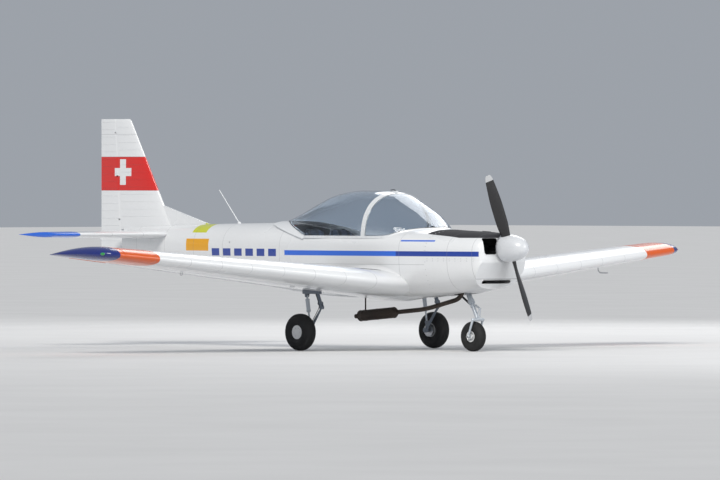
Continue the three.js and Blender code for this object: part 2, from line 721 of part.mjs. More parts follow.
function wingSectionAt(span) {
  const share = (span - WING_REF_Y) / (WING_TIP_Y - WING_REF_Y);
  return {
    span,
    lead: lerpBy(WING_LEAD, share),
    trail: lerpBy(WING_TRAIL, share),
    thickness: lerpBy(WING_THICKNESS, share),
    incidence: lerpBy(WING_INCIDENCE, share),
    camber: WING_CAMBER,
  };
}

const WING = {
  sections: [WING_ROOT_Y, WING_TIP_Y].map(wingSectionAt),
  place: (span, x, w) => [x, span, w],
};
const flatSection = { camber: 0, incidence: 0 };
const symmetric = (span, lead, trail, thickness) => ({ span, lead, trail, thickness, ...flatSection });
const TAILPLANE = {
  sections: [
    symmetric(0, TAIL_LEAD.root, TAIL_TRAIL.root, TAIL_THICKNESS),
    symmetric(TAIL_HALF_SPAN, TAIL_LEAD.tip, TAIL_TRAIL.tip, TAIL_THICKNESS),
  ],
  place: (span, x, w) => [x, span, w + TAIL_Z],
};
const FIN = {
  sections: FIN_TABLE.map(([z, lead, thickness]) => symmetric(z, lead, TAIL_X, thickness)),
  place: (span, x, w) => [x, w, span],
};

// Wing, in its own frame before the dihedral turns it

function tipCap() {
  const section = wingSectionAt(WING_TIP_Y);
  const rings = TIP_STEPS.map(([share, chordShare, thickShare]) => {
    const chord = section.lead - section.trail;
    const trimmed = chord * (1 - chordShare);
    const span = mix(WING_TIP_Y + SEAT_GAP, HALF_SPAN / Math.cos(DIHEDRAL), share);
    const lead = section.lead - trimmed * 0.7;
    const trail = section.trail + trimmed * 0.3;
    const shape = { ...section, lead, trail, thickness: section.thickness * (thickShare / chordShare) };
    const sections = [span - 1, span + 1].map((end) => ({ ...shape, span: end }));
    const panel = { sections, place: WING.place };
    const lift = trimmed * 0.7 * Math.tan(section.incidence);
    return foilRing(panel, span).map((point) => point.setZ(point.z - lift));
  });
  return loft(rings);
}

function wing() {
  const body = hull(FIREWALL_X, TAIL_JOINT_X, -SEAT_GAP);
  body.translate(0, 0, -WING_Z).rotateX(-DIHEDRAL);
  const solid = cut(foil(WING, [WING_ROOT_Y, WING_TIP_Y]), body);
  const fixed = withBay(withBay(solid, WING, FLAP), WING, AILERON);
  const underside = foilPoint(WING, JACK_PAD.y, 0.38, -1)[1];
  const pad = rod(
    [JACK_PAD.x, JACK_PAD.y, underside - JACK_PAD.drop],
    [JACK_PAD.x, JACK_PAD.y, underside + 40],
    JACK_PAD.radius,
  );
  return {
    wing: join(fixed, pad),
    wing_tip: tipCap(),
    flap: movingSurface(WING, FLAP),
    aileron: movingSurface(WING, AILERON),
  };
}

function tail() {
  const body = hull(TAIL_JOINT_X, HULL_END_X, -SEAT_GAP);
  const roomRadius = TORQUE_TUBE_RADIUS + MOVING_GAP;
  const tubeRoom = rod([ELEVATOR_HINGE_X, 40, TAIL_Z], [ELEVATOR_HINGE_X, 300, TAIL_Z], roomRadius);
  const rudderRoom = box([TAIL_TRAIL.root - 100, 0, 1000], [HULL_END_X + 30, ELEVATOR.inner - 40, 1800]);
  const panel = cut(foil(TAILPLANE, [40, TAIL_HALF_SPAN]), body, tubeRoom, rudderRoom);
  const half = withBay(panel, TAILPLANE, ELEVATOR);
  const elevatorHalf = movingSurface(TAILPLANE, ELEVATOR);
  const reach = ELEVATOR.inner + 30;
  const tube = rod([ELEVATOR_HINGE_X, -reach, TAIL_Z], [ELEVATOR_HINGE_X, reach, TAIL_Z], TORQUE_TUBE_RADIUS);
  const finProper = foil(FIN, FIN_TABLE.map((row) => row[0]).filter((z) => z >= FIN_BOTTOM));
  const fillet = sideProfile(DORSAL_OUTLINE, -DORSAL_HALF, DORSAL_HALF);
  const fin = withBay(cut(join(finProper, fillet), body), FIN, RUDDER);
  return {
    tailplane: half,
    elevator: join(elevatorHalf, mirrored(elevatorHalf), tube),
    fin,
    rudder: movingSurface(FIN, RUDDER),
  };
}

// Spinner and propeller, with the blades upright before the rest angle turns them

function bladeRing(radius, chord, thickness, pitch) {
  const turn = THREE.MathUtils.degToRad(pitch);
  const half = chord / 2;
  const outline = [[half, 0]];
  const shares = [0.72, 0.25, -0.4, -0.96];
  const thick = [0.8, 1, 0.75, 0.12];
  shares.forEach((share, k) => outline.push([half * share, (thickness / 2) * thick[k]]));
  [...shares].reverse().forEach((share, k) => outline.push([half * share, (-thickness / 2) * thick[3 - k]]));
  return outline.map(([along, off]) => new THREE.Vector3(
    PROPELLER_X + off * Math.cos(turn) + along * Math.sin(turn),
    along * Math.cos(turn) - off * Math.sin(turn),
    radius,
  ));
}

function blades(grow) {
  const blade = loft(BLADE_TABLE.map(([radius, chord, thickness, pitch]) =>
    bladeRing(radius, chord + grow, thickness + grow, pitch)));
  const other = blade.clone().translate(-PROPELLER_X, 0, 0).rotateX(Math.PI).translate(PROPELLER_X, 0, 0);
  const hub = rod(
    [PROPELLER_X - HUB_LENGTH / 2, 0, 0],
    [PROPELLER_X + HUB_LENGTH / 2 + grow, 0, 0],
    HUB_RADIUS + grow / 2,
    HUB_RADIUS + grow / 2,
    24,
  );
  return join(blade, other, hub);
}

function propeller() {
  const steps = Array.from({ length: SPINNER_STEPS }, (unused, k) => (Math.PI / 2) * (k / SPINNER_STEPS));
  const length = NOSE_X - SPINNER_BASE_X - SPINNER_SKIRT;
  const nose = steps.map((angle) => [
    SPINNER_RADIUS * Math.cos(angle),
    SPINNER_SKIRT + length * Math.sin(angle) ** 0.9,
  ]);
  const profile = [[0, 0], [SPINNER_RADIUS - 6, 0], ...nose, [0, SPINNER_SKIRT + length]];
  const cone = turned(profile, "x", [SPINNER_BASE_X, 0, 0], 24);
  const boreRadius = HUB_RADIUS + SEAT_GAP;
  const bore = rod([SPINNER_BASE_X - 20, 0, 0], [PROPELLER_X, 0, 0], boreRadius, boreRadius, 24);
  return { spinner: cut(cone, blades(2 * SEAT_GAP), bore), propeller_blades: blades(0) };
}

// Landing gear

function tyre(size) {
  const profile = [
    [size.bead, -size.seat],
    [mix(size.bead, size.radius, 0.2), -size.width * 0.46],
    [mix(size.bead, size.radius, 0.48), -size.width * 0.5],
    [mix(size.bead, size.radius, 0.78), -size.width * 0.45],
    [mix(size.bead, size.radius, 0.94), -size.width * 0.3],
    [size.radius, -size.width * 0.1],
  ];
  const other = profile.map(([radius, off]) => [radius, -off]).reverse();
  return turned([...profile, ...other, profile[0]], "y", [0, 0, 0], WHEEL_SIDES);
}

// A wheel with its cap on the outer side, and a blind bore for the axle from the inner side
function cappedRim(size, bore) {
  const edge = size.bead - SEAT_GAP;
  const face = size.seat + 2;
  const profile = [
    [0, face + 6], [edge * 0.45, face + 6], [edge * 0.6, face], [edge, face],
    [edge, -face], [edge - 12, -face], [edge - 12, face - 16], [bore + 16, face - 16],
    [bore + 16, -face], [bore, -face], [bore, face - 8], [0, face - 8],
  ];
  return turned(profile, "y", [0, 0, 0], WHEEL_SIDES);
}

function openRim(size, bore) {
  const edge = size.bead - SEAT_GAP;
  const face = size.seat;
  const profile = [
    [bore, -face], [bore + 14, -face], [bore + 14, -8], [edge - 11, -8], [edge - 11, -face], [edge, -face],
    [edge, face], [edge - 11, face], [edge - 11, 8], [bore + 14, 8], [bore + 14, face], [bore, face],
    [bore, -face],
  ];
  return turned(profile, "y", [0, 0, 0], WHEEL_SIDES);
}

function eye(centre, radius, width, hole) {
  const [x, y, z] = centre;
  const disc = rod([x, y - width / 2, z], [x, y + width / 2, z], radius);
  return { disc, hole: rod([x, y - width, z], [x, y + width, z], hole, hole, PIN_SIDES) };
}

// Two side plates around an eye, and the pin between them
function cheeks(outline, centre, radius, gap, plate, pinRadius) {
  const [x, y, z] = centre;
  const parts = [-1, 1].flatMap((side) => {
    const inner = gap / 2 + SEAT_GAP;
    const ends = [y + side * inner, y + side * (inner + plate)].sort((a, b) => a - b);
    return [sideProfile(outline, ends[0], ends[1]), rod([x, ends[0], z], [x, ends[1], z], radius)];
  });
  const reach = gap / 2 + plate;
  return join(...parts, rod([x, y - reach, z], [x, y + reach, z], pinRadius, pinRadius, PIN_SIDES));
}

function mainGear(wingSolid) {
  const y = LEG_Y;
  const wheelY = TRACK / 2;
  const axleZ = MAIN_TYRE.radius;
  const plate = box([BRACKET.back, y - BRACKET.half, BRACKET.bottom], [BRACKET.front, y + BRACKET.half, 800]);
  const stop = [mix(LEG_TOP.x, KNEE.x, 0.72), mix(LEG_TOP.z, KNEE.z, 0.72)];
  const leg = rod([LEG_TOP.x, y, LEG_TOP.z], [stop[0], y, stop[1]], 24);
  const collar = rod([stop[0], y - 30, stop[1]], [stop[0], y + 30, stop[1]], 22);
  const knee = cheeks(
    [[stop[0] - 20, stop[1] + 4], [stop[0] + 20, stop[1] + 10], [KNEE.x + 20, KNEE.z], [KNEE.x - 20, KNEE.z]],
    [KNEE.x, y, KNEE.z], 22, EYE_WIDTH, 10, 10,
  );
  const strutHead = cheeks(
    [
      [STRUT_TOP.x - 24, BRACKET.bottom + 4], [STRUT_TOP.x + 24, BRACKET.bottom + 4],
      [STRUT_TOP.x + 16, STRUT_TOP.z], [STRUT_TOP.x - 16, STRUT_TOP.z],
    ],
    [STRUT_TOP.x, y, STRUT_TOP.z], 17, EYE_WIDTH, 9, 8,
  );
  const wingInPlace = wingSolid.clone().rotateX(DIHEDRAL).translate(0, 0, WING_Z);
  const below = wingInPlace.clone().translate(0, 0, -2 * SEAT_GAP);
  const mainLeg = join(cut(join(plate, leg), wingInPlace, below), collar, knee, strutHead);

  const armDirection = new THREE.Vector2(MAIN_AXLE_X - KNEE.x, axleZ - KNEE.z).normalize();
  const kneeEye = eye([KNEE.x, y, KNEE.z], 20, EYE_WIDTH, 10 + SEAT_GAP);
  const armStart = [KNEE.x + armDirection.x * 14, y, KNEE.z + armDirection.y * 14];
  const beam = rod(armStart, [MAIN_AXLE_X, y, axleZ], 11, 22);
  const foot = STRUT_FOOT;
  const footCheeks = cheeks(
    [
      [foot.x + 70, foot.z + 10], [foot.x + 8, foot.z - 72],
      [foot.x - 16, foot.z - 4], [foot.x + 10, foot.z + 16],
    ],
    [foot.x, y, foot.z], 17, EYE_WIDTH, 9, 8,
  );
  const slotHalf = EYE_WIDTH / 2 + SEAT_GAP;
  const slot = rod([foot.x, y - slotHalf, foot.z], [foot.x, y + slotHalf, foot.z], 20.5);
  const boss = rod([MAIN_AXLE_X, y - 24, axleZ], [MAIN_AXLE_X, y + 24, axleZ], 30);
  const axle = rod([MAIN_AXLE_X, y, axleZ], [MAIN_AXLE_X, wheelY + MAIN_TYRE.seat - 8, axleZ], AXLE_RADIUS);
  const arm = join(cut(join(beam, kneeEye.disc), kneeEye.hole, slot), footCheeks, boss, axle);

  const top = new THREE.Vector3(STRUT_TOP.x, y, STRUT_TOP.z);
  const bottom = new THREE.Vector3(foot.x, y, foot.z);
  const at = (share) => top.clone().lerp(bottom, share).toArray();
  const topEye = eye(top.toArray(), 16, EYE_WIDTH, 8 + SEAT_GAP);
  const footEye = eye(bottom.toArray(), 16, EYE_WIDTH, 8 + SEAT_GAP);
  const sleeve = rod(at(0.1), at(0.58), 25);
  const neck = rod(at(0.02), at(0.12), 11);
  const piston = rod(at(0.55), at(0.97), 11);
  const strut = cut(join(topEye.disc, footEye.disc, neck, sleeve, piston), topEye.hole, footEye.hole);
  return { main_leg: mainLeg, trailing_arm: arm, shock_strut: strut };
}

function noseGear() {
  const along = (share) => NOSE_LEG_TOP.clone().lerp(NOSE_LEG_FOOT, share).toArray();
  const collar = along(NOSE_COLLAR);
  const tube = rod(along(0), collar, NOSE_LEG_RADIUS);
  const ring = rod(along(NOSE_COLLAR - 0.1), collar, NOSE_LEG_RADIUS + 8);
  const bracket = box([FIREWALL_X + SEAT_GAP, -60, 800], [NOSE_LEG_TOP.x + 10, 60, 884]);
  const leg = join(tube, ring, bracket);

  const foot = NOSE_LEG_FOOT;
  const axleZ = NOSE_TYRE.radius;
  const gapShare = SEAT_GAP / NOSE_LEG_TOP.distanceTo(NOSE_LEG_FOOT);
  const piston = rod(along(NOSE_COLLAR + gapShare), along(1), 24);
  const crown = rod([foot.x, -FORK_Y, foot.z], [foot.x, FORK_Y, foot.z], 20);
  const sides = [-1, 1].map((side) =>
    rod([foot.x, side * FORK_Y, foot.z], [NOSE_AXLE_X, side * FORK_Y, axleZ], 15, 13));
  const axle = rod([NOSE_AXLE_X, -FORK_Y - 22, axleZ], [NOSE_AXLE_X, FORK_Y + 22, axleZ], NOSE_AXLE_RADIUS);
  const fork = join(piston, crown, ...sides, axle);

  const braceTop = [FIREWALL_X + SEAT_GAP + 40, 0, 700];
  const onCollar = new THREE.Vector3(...along(NOSE_COLLAR - 0.05));
  const braceFoot = onCollar.add(new THREE.Vector3(-38, 0, -16)).toArray();
  const brace = join(
    rod(braceTop, braceFoot, 13),
    box([FIREWALL_X + SEAT_GAP, -30, 675], [FIREWALL_X + 60, 30, 725]),
  );
  const legRoom = rod(along(0), along(1), NOSE_LEG_RADIUS + 8 + SEAT_GAP);
  return { nose_leg: leg, nose_fork: fork, nose_brace: cut(brace, legRoom) };
}

// Exhaust pipe and silencer, hung from the belly

function exhaust() {
  const y = EXHAUST_Y;
  const route = [
    [ENGINE.low[0] + 120, y, ENGINE.low[2] - SEAT_GAP],
    [ENGINE.low[0] + 120, y, 640],
    [2150, y, 500],
    [SILENCER.front + 50, y, SILENCER.frontZ + 4],
  ];
  const runs = route.slice(1).map((point, k) => rod(route[k], point, PIPE_RADIUS, PIPE_RADIUS, PIN_SIDES));
  const bends = route.slice(1, 3).map((point) => ball(point, PIPE_RADIUS));
  const front = [SILENCER.front, y, SILENCER.frontZ];
  const back = [SILENCER.back, y, SILENCER.backZ];
  const drum = rod(front, back, SILENCER.radius, SILENCER.radius, 2 * PIN_SIDES);
  const coneStart = [SILENCER.front - 2, y, SILENCER.frontZ];
  const noseCone = rod(coneStart, route[3], SILENCER.radius, PIPE_RADIUS, 2 * PIN_SIDES);
  const tailEnd = [SILENCER.back - 80, y, SILENCER.backZ - 6];
  const tailPipe = rod([SILENCER.back + 10, y, SILENCER.backZ], tailEnd, PIPE_RADIUS);
  const strapX = SILENCER.back + 90;
  const strap = rod([strapX, y, SILENCER.backZ + 40], [strapX, y, 720], 9, 9, PIN_SIDES);
  const body = hull(FIREWALL_X, TAIL_JOINT_X, -SEAT_GAP);
  return { exhaust: join(...runs, ...bends, drum, noseCone, tailPipe, cut(strap, body)) };
}

function antenna() {
  const body = hull(TAIL_JOINT_X, HULL_END_X, -SEAT_GAP);
  const tip = [ANTENNA.x + ANTENNA.lean, 0, ANTENNA.z + ANTENNA.height];
  const mast = rod([ANTENNA.x, 0, ANTENNA.z + 4], tip, 6, 4, PIN_SIDES);
  const base = rod([ANTENNA.x, 0, ANTENNA.z - 40], [ANTENNA.x, 0, ANTENNA.z + 12], 22);
  return { antenna: cut(join(mast, base), body) };
}

// Cabin furniture

function inside(geometry, spare = SEAT_GAP) {
  const wall = HULL_WALL + spare;
  return common(geometry, hull(FIREWALL_X - wall, TAIL_JOINT_X - 50, wall, FLOOR_DEPTH + spare));
}

function cabin() {
  const dash = sideLine(FRONT_RIM.x, REAR_RIM.x, -3);
  const belowDash = [...dash.slice(0, 2), [PANEL.back, dash[1][1]]];
  const thick = belowDash.map(([x, z]) => [x, z - PANEL.shelf]).reverse();
  const shelf = sideProfile([...belowDash, ...thick], -600, 600);
  const board = box([PANEL.x, -600, PANEL.bottom], [PANEL.x + PANEL.plate, 600, thick[0][1] + 2]);
  const console = box([CONSOLE.back, -CONSOLE.half, 640], [PANEL.x - SEAT_GAP, CONSOLE.half, CONSOLE.top]);
  const pan = box([SEAT.back, -SEAT.outer, 600], [SEAT.front, SEAT.outer, SEAT.pan]);
  const cushion = sideProfile([
    [SEAT.back + 60, SEAT.pan + SEAT_GAP], [SEAT.front, SEAT.pan + SEAT_GAP],
    [SEAT.front, SEAT.cushion], [SEAT.front - 40, SEAT.cushion + 20], [SEAT.back + 75, SEAT.cushion - 10],
  ], SEAT.inner, SEAT.outer);
  const rest = sideProfile([
    [SEAT.back - 40, SEAT.pan + SEAT_GAP], [SEAT.back + 58, SEAT.pan + SEAT_GAP],
    [SEAT.back - SEAT.rake + 58, SEAT.top], [SEAT.back - SEAT.rake - 20, SEAT.top],
  ], SEAT.inner, SEAT.outer - 20);
  const sticks = [-1, 1].map((side) => join(
    rod([STICK.x, side * STICK.y, STICK.z], [STICK.x - 40, side * STICK.y, STICK.top], 12, 12, 12),
    rod(
      [STICK.x - 38, side * STICK.y, STICK.top - 90],
      [STICK.x - 42, side * STICK.y, STICK.top + 10],
      20, 18, 12,
    ),
  ));
  const stickTube = rod([STICK.x, -STICK.y, STICK.z], [STICK.x, STICK.y, STICK.z], 18, 18, 12);
  const stands = [-120, 120].map((y) => box([STICK.x - 20, y - 15, 640], [STICK.x + 20, y + 15, STICK.z]));
  return {
    instrument_panel: inside(join(shelf, board)),
    centre_console: inside(console),
    seat_base: inside(pan),
    seat_cushion: inside(cushion, 4),
    seat_back: inside(rest, 4),
    control_sticks: inside(join(...sticks, stickTube, ...stands)),
  };
}

// The assembly

const aircraft = new THREE.Group();

function add(group, name, geometry, material) {
  const mesh = new THREE.Mesh(geometry, material);
  mesh.name = name;
  group.add(mesh);
  return mesh;
}

function addPair(group, name, geometry, material) {
  add(group, `${name}_left`, geometry, material);
  add(group, `${name}_right`, mirrored(geometry), material);
}

const finishes = {
  cabin_tub: PAINT.white, tail_cone: PAINT.white, cabin_bulkhead: PAINT.grey,
  cowl_upper: PAINT.white, cowl_lower: PAINT.white, engine_block: PAINT.alloy,
  canopy_frame: PAINT.white, canopy_glass: PAINT.glass,
  windscreen_frame: PAINT.white, windscreen_glass: PAINT.glass,
  fin: PAINT.white, rudder: PAINT.white, elevator: PAINT.white,
  nose_leg: PAINT.grey, nose_fork: PAINT.grey, nose_brace: PAINT.black,
  exhaust: PAINT.soot, antenna: PAINT.white,
  instrument_panel: PAINT.black, centre_console: PAINT.plastic,
  seat_base: PAINT.grey, control_sticks: PAINT.black,
};

const { seat_cushion: cushion, seat_back: rest, ...fittings } = cabin();
const { tailplane, ...tailParts } = tail();
const single = {
  ...fuselage(), ...cowling(), ...engine(), ...glazing(), ...tailParts,
  ...noseGear(), ...exhaust(), ...antenna(), ...fittings,
};
Object.entries(single).forEach(([name, geometry]) => add(aircraft, name, geometry, finishes[name]));
addPair(aircraft, "tailplane", tailplane, PAINT.white);
addPair(aircraft, "seat_cushion", cushion, PAINT.fabric);
addPair(aircraft, "seat_back", rest, PAINT.fabric);

const wingParts = wing();
[["left", 1], ["right", -1]].forEach(([side, sign]) => {
  const frame = new THREE.Group();
  frame.position.z = WING_Z;
  frame.rotation.x = sign * DIHEDRAL;
  Object.entries(wingParts).forEach(([name, geometry]) => {
    const material = name === "wing_tip" ? PAINT.navy : PAINT.white;
    add(frame, `${name}_${side}`, sign > 0 ? geometry : mirrored(geometry), material);
  });
  aircraft.add(frame);
});

const gear = mainGear(wingParts.wing);
addPair(aircraft, "main_leg", gear.main_leg, PAINT.grey);
addPair(aircraft, "trailing_arm", gear.trailing_arm, PAINT.grey);
addPair(aircraft, "shock_strut", gear.shock_strut, PAINT.steel);

const mainTyre = tyre(MAIN_TYRE);
const mainRim = cappedRim(MAIN_TYRE, AXLE_RADIUS + SEAT_GAP);
[["left", 1], ["right", -1]].forEach(([side, sign]) => {
  const wheel = new THREE.Group();
  wheel.position.set(MAIN_AXLE_X, (sign * TRACK) / 2, MAIN_TYRE.radius);
  add(wheel, `main_rim_${side}`, sign > 0 ? mainRim : mirrored(mainRim), PAINT.alloy);
  add(wheel, `main_tyre_${side}`, mainTyre, PAINT.tyre);
  aircraft.add(wheel);
});
const noseWheel = new THREE.Group();
noseWheel.position.set(NOSE_AXLE_X, 0, NOSE_TYRE.radius);
add(noseWheel, "nose_rim", openRim(NOSE_TYRE, NOSE_AXLE_RADIUS + SEAT_GAP), PAINT.alloy);
add(noseWheel, "nose_tyre", tyre(NOSE_TYRE), PAINT.tyre);
aircraft.add(noseWheel);

const turning = new THREE.Group();
turning.position.z = SHAFT_Z;
turning.rotation.x = PROPELLER_REST;
const { spinner, propeller_blades: bladePair } = propeller();
add(turning, "spinner", spinner, PAINT.white);
add(turning, "propeller_blades", bladePair, PAINT.black);
aircraft.add(turning);

export default aircraft;
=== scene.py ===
"""Builds the looks of a two-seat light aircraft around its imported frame.

Shapes are modelled in millimetres, as finer versions of the part's own solids with the same sizes,
and each finished piece is turned into metres. X runs to the nose, Y to port and Z up.
"""

from __future__ import annotations

import logging
import math
from dataclasses import dataclass
from enum import Enum
from typing import Callable, Sequence

import bmesh
import bpy
import numpy as np
from mathutils import Matrix, Vector
from mathutils.bvhtree import BVHTree

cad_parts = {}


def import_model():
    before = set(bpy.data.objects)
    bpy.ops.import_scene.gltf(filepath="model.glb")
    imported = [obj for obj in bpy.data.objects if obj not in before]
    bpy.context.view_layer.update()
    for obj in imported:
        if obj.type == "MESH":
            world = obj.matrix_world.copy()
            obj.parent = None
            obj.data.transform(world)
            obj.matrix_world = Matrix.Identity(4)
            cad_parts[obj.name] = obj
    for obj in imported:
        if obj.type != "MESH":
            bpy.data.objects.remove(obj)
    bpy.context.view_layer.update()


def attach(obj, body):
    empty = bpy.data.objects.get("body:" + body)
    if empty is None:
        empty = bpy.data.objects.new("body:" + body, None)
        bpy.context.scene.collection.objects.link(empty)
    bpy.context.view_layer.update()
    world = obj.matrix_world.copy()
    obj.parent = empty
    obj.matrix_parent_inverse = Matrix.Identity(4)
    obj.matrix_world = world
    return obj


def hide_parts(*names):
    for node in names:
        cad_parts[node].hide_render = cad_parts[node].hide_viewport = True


LOG = logging.getLogger("aircraft")
METRES = 0.001
SEAT_GAP = 0.3
MOVING_GAP = 6.0
SHARP_DEGREES = 32.0
MERGE_DISTANCE = 0.004
FORWARD = Vector((1, 0, 0))
PORT = Vector((0, 1, 0))
UPWARD = Vector((0, 0, 1))

Ring = Sequence[Vector]
Outline = Sequence[tuple[float, float]]


def mix(low: float, high: float, share: float) -> float:
    """Returns the value a share of the way from low to high."""
    return low + (high - low) * share


class Table:
    """Rows of sizes read by their first column, joined by smooth curves that never overshoot."""

    def __init__(self, rows: Sequence[Sequence[float]]) -> None:
        """Works out the slope at each row.

        Args:
            rows: The sizes, with the key in the first column.
        """
        ordered = np.array(sorted(rows), dtype=float)
        self.keys = ordered[:, 0]
        self.values = ordered[:, 1:]
        slopes = np.diff(self.values, axis=0) / np.diff(self.keys)[:, None]
        before, after = slopes[:-1], slopes[1:]
        agree = before * after > 0
        total = np.where(agree, before + after, 1.0)
        self.slopes = np.zeros_like(self.values)
        self.slopes[1:-1] = np.where(agree, 2 * before * after / total, 0.0)
        self.slopes[0] = slopes[0]
        self.slopes[-1] = slopes[-1]

    def at(self, key: float) -> np.ndarray:
        """Returns the sizes at one key.

        Args:
            key: The value of the first column.

        Returns:
            The other columns there.
        """
        key = min(max(key, self.keys[0]), self.keys[-1])
        low = int(np.clip(np.searchsorted(self.keys, key) - 1, 0, len(self.keys) - 2))
        step = self.keys[low + 1] - self.keys[low]
        t = (key - self.keys[low]) / step
        start = (1 + 2 * t) * (1 - t) ** 2 * self.values[low] + t * (1 - t) ** 2 * step * self.slopes[low]
        end = t * t * (3 - 2 * t) * self.values[low + 1] + t * t * (t - 1) * step * self.slopes[low + 1]
        return start + end


# Solids


class Way(Enum):
    """How one solid acts on another."""

    LESS = "DIFFERENCE"
    PLUS = "UNION"
    BOTH = "INTERSECT"


class Axis(Enum):
    """The direction that a flat outline is drawn out in, by its place among X, Y and Z."""

    FORWARD = 0
    ACROSS = 1
    UP = 2


def placed(name: str, data: bpy.types.ID) -> bpy.types.Object:
    """Puts data in the scene as an object at the origin.

    Args:
        name: The object's name.
        data: Its mesh, lamp or camera.

    Returns:
        The object.
    """
    made = bpy.data.objects.new(name, data)
    bpy.context.collection.objects.link(made)
    return made


def solid(points: Sequence[Sequence[float]], faces: Sequence[Sequence[int]]) -> bpy.types.Object:
    """Makes a closed mesh object whose faces point outwards.

    Args:
        points: Corner positions in millimetres.
        faces: Corner numbers of each face, all wound the same way.

    Returns:
        The new object.
    """
    mesh = bpy.data.meshes.new("solid")
    mesh.from_pydata([tuple(point) for point in points], [], [tuple(face) for face in faces])
    work = bmesh.new()
    work.from_mesh(mesh)
    if work.calc_volume(signed=True) < 0:
        bmesh.ops.reverse_faces(work, faces=work.faces)
    work.to_mesh(mesh)
    work.free()
    return placed("solid", mesh)


def loft(rings: Sequence[Ring]) -> bpy.types.Object:
    """Joins rings of equal length into a closed solid with flat ends.

    Args:
        rings: The rings, in order along the solid.

    Returns:
        The closed solid.
    """
    count = len(rings[0])
    faces = []
    for ring in range(len(rings) - 1):
        for step in range(count):
            here = ring * count + step
            beside = ring * count + (step + 1) % count
            faces.append((here, beside, beside + count, here + count))
    last = (len(rings) - 1) * count
    faces.append(tuple(reversed(range(count))))
    faces.append(tuple(range(last, last + count)))
    return solid([point for ring in rings for point in ring], faces)


def laid(made: bpy.types.Object, matrix: Matrix) -> bpy.types.Object:
    """Moves or turns a solid in its own mesh."""
    made.data.transform(matrix)
    return made


def delete(*solids: bpy.types.Object) -> None:
    """Removes working solids.

    Args:
        solids: The solids that have been used.
    """
    for made in solids:
        mesh = made.data
        bpy.data.objects.remove(made)
        bpy.data.meshes.remove(mesh)


def applied(made: bpy.types.Object) -> bpy.types.Object:
    """Replaces an object's mesh by what its modifiers give.

    Args:
        made: The object.

    Returns:
        The same object, without modifiers.
    """
    bpy.context.view_layer.update()
    graph = bpy.context.evaluated_depsgraph_get()
    mesh = bpy.data.meshes.new_from_object(made.evaluated_get(graph))
    made.modifiers.clear()
    old = made.data
    made.data = mesh
    bpy.data.meshes.remove(old)
    return made


def act(way: Way, body: bpy.types.Object, *tools: bpy.types.Object) -> bpy.types.Object:
    """Cuts, joins or clips a solid by others, which are used up.

    Args:
        way: What the tools do to the body.
        body: The solid that is changed.
        tools: The solids that change it.

    Returns:
        The changed body.
    """
    for tool in tools:
        modifier = body.modifiers.new("act", "BOOLEAN")
        modifier.solver = "MANIFOLD"
        modifier.operation = way.value
        modifier.object = tool
        applied(body)
    delete(*tools)
    return body


def cut(body: bpy.types.Object, *tools: bpy.types.Object) -> bpy.types.Object:
    """Cuts the tools out of the body."""
    return act(Way.LESS, body, *tools)


def join(body: bpy.types.Object, *tools: bpy.types.Object) -> bpy.types.Object:
    """Joins the tools to the body."""
    return act(Way.PLUS, body, *tools)


def common(body: bpy.types.Object, *tools: bpy.types.Object) -> bpy.types.Object:
    """Keeps what the body shares with every tool."""
    return act(Way.BOTH, body, *tools)


def gather(*parts: bpy.types.Object) -> bpy.types.Object:
    """Puts separate solids into one object without joining them.

    Args:
        parts: The solids; the first one takes up the others.

    Returns:
        The first object.
    """
    work = bmesh.new()
    for part in parts:
        work.from_mesh(part.data)
    mesh = bpy.data.meshes.new("gathered")
    work.to_mesh(mesh)
    work.free()
    delete(*parts[1:])
    old = parts[0].data
    parts[0].data = mesh
    bpy.data.meshes.remove(old)
    return parts[0]


def copied(made: bpy.types.Object, matrix: Matrix = Matrix.Identity(4)) -> bpy.types.Object:
    """Copies a solid to another place, with its faces kept outwards.

    Args:
        made: The solid.
        matrix: Where the copy goes, which may mirror it.

    Returns:
        The copy.
    """
    mesh = made.data.copy()
    mesh.transform(matrix)
    if matrix.determinant() < 0:
        mesh.flip_normals()
    return placed("solid", mesh)


MIRROR = Matrix.Diagonal((1, -1, 1, 1))


def mirrored(made: bpy.types.Object) -> bpy.types.Object:
    """Copies a solid to the other side of the aircraft."""
    return copied(made, MIRROR)


def with_twin(made: bpy.types.Object) -> bpy.types.Object:
    """Adds a solid's mirror image to it, as one object."""
    return gather(made, mirrored(made))


def box(low: Sequence[float], high: Sequence[float]) -> bpy.types.Object:
    """Makes a box between two corners.

    Args:
        low: The corner with the lowest numbers.
        high: The other corner.

    Returns:
        The box.
    """
    corners = [(x, y, z) for x in (low[0], high[0]) for y in (low[1], high[1]) for z in (low[2], high[2])]
    faces = [(0, 1, 3, 2), (4, 6, 7, 5), (0, 4, 5, 1), (2, 3, 7, 6), (0, 2, 6, 4), (1, 5, 7, 3)]
    return solid(corners, faces)


def turns(count: int) -> np.ndarray:
    """Returns the angles of even steps around a circle."""
    return np.linspace(0, 2 * math.pi, count, endpoint=False)


def axes_to(direction: Vector) -> Matrix:
    """Returns the turn that lays Z along a direction."""
    return direction.to_track_quat("Z", "Y").to_matrix().to_4x4()


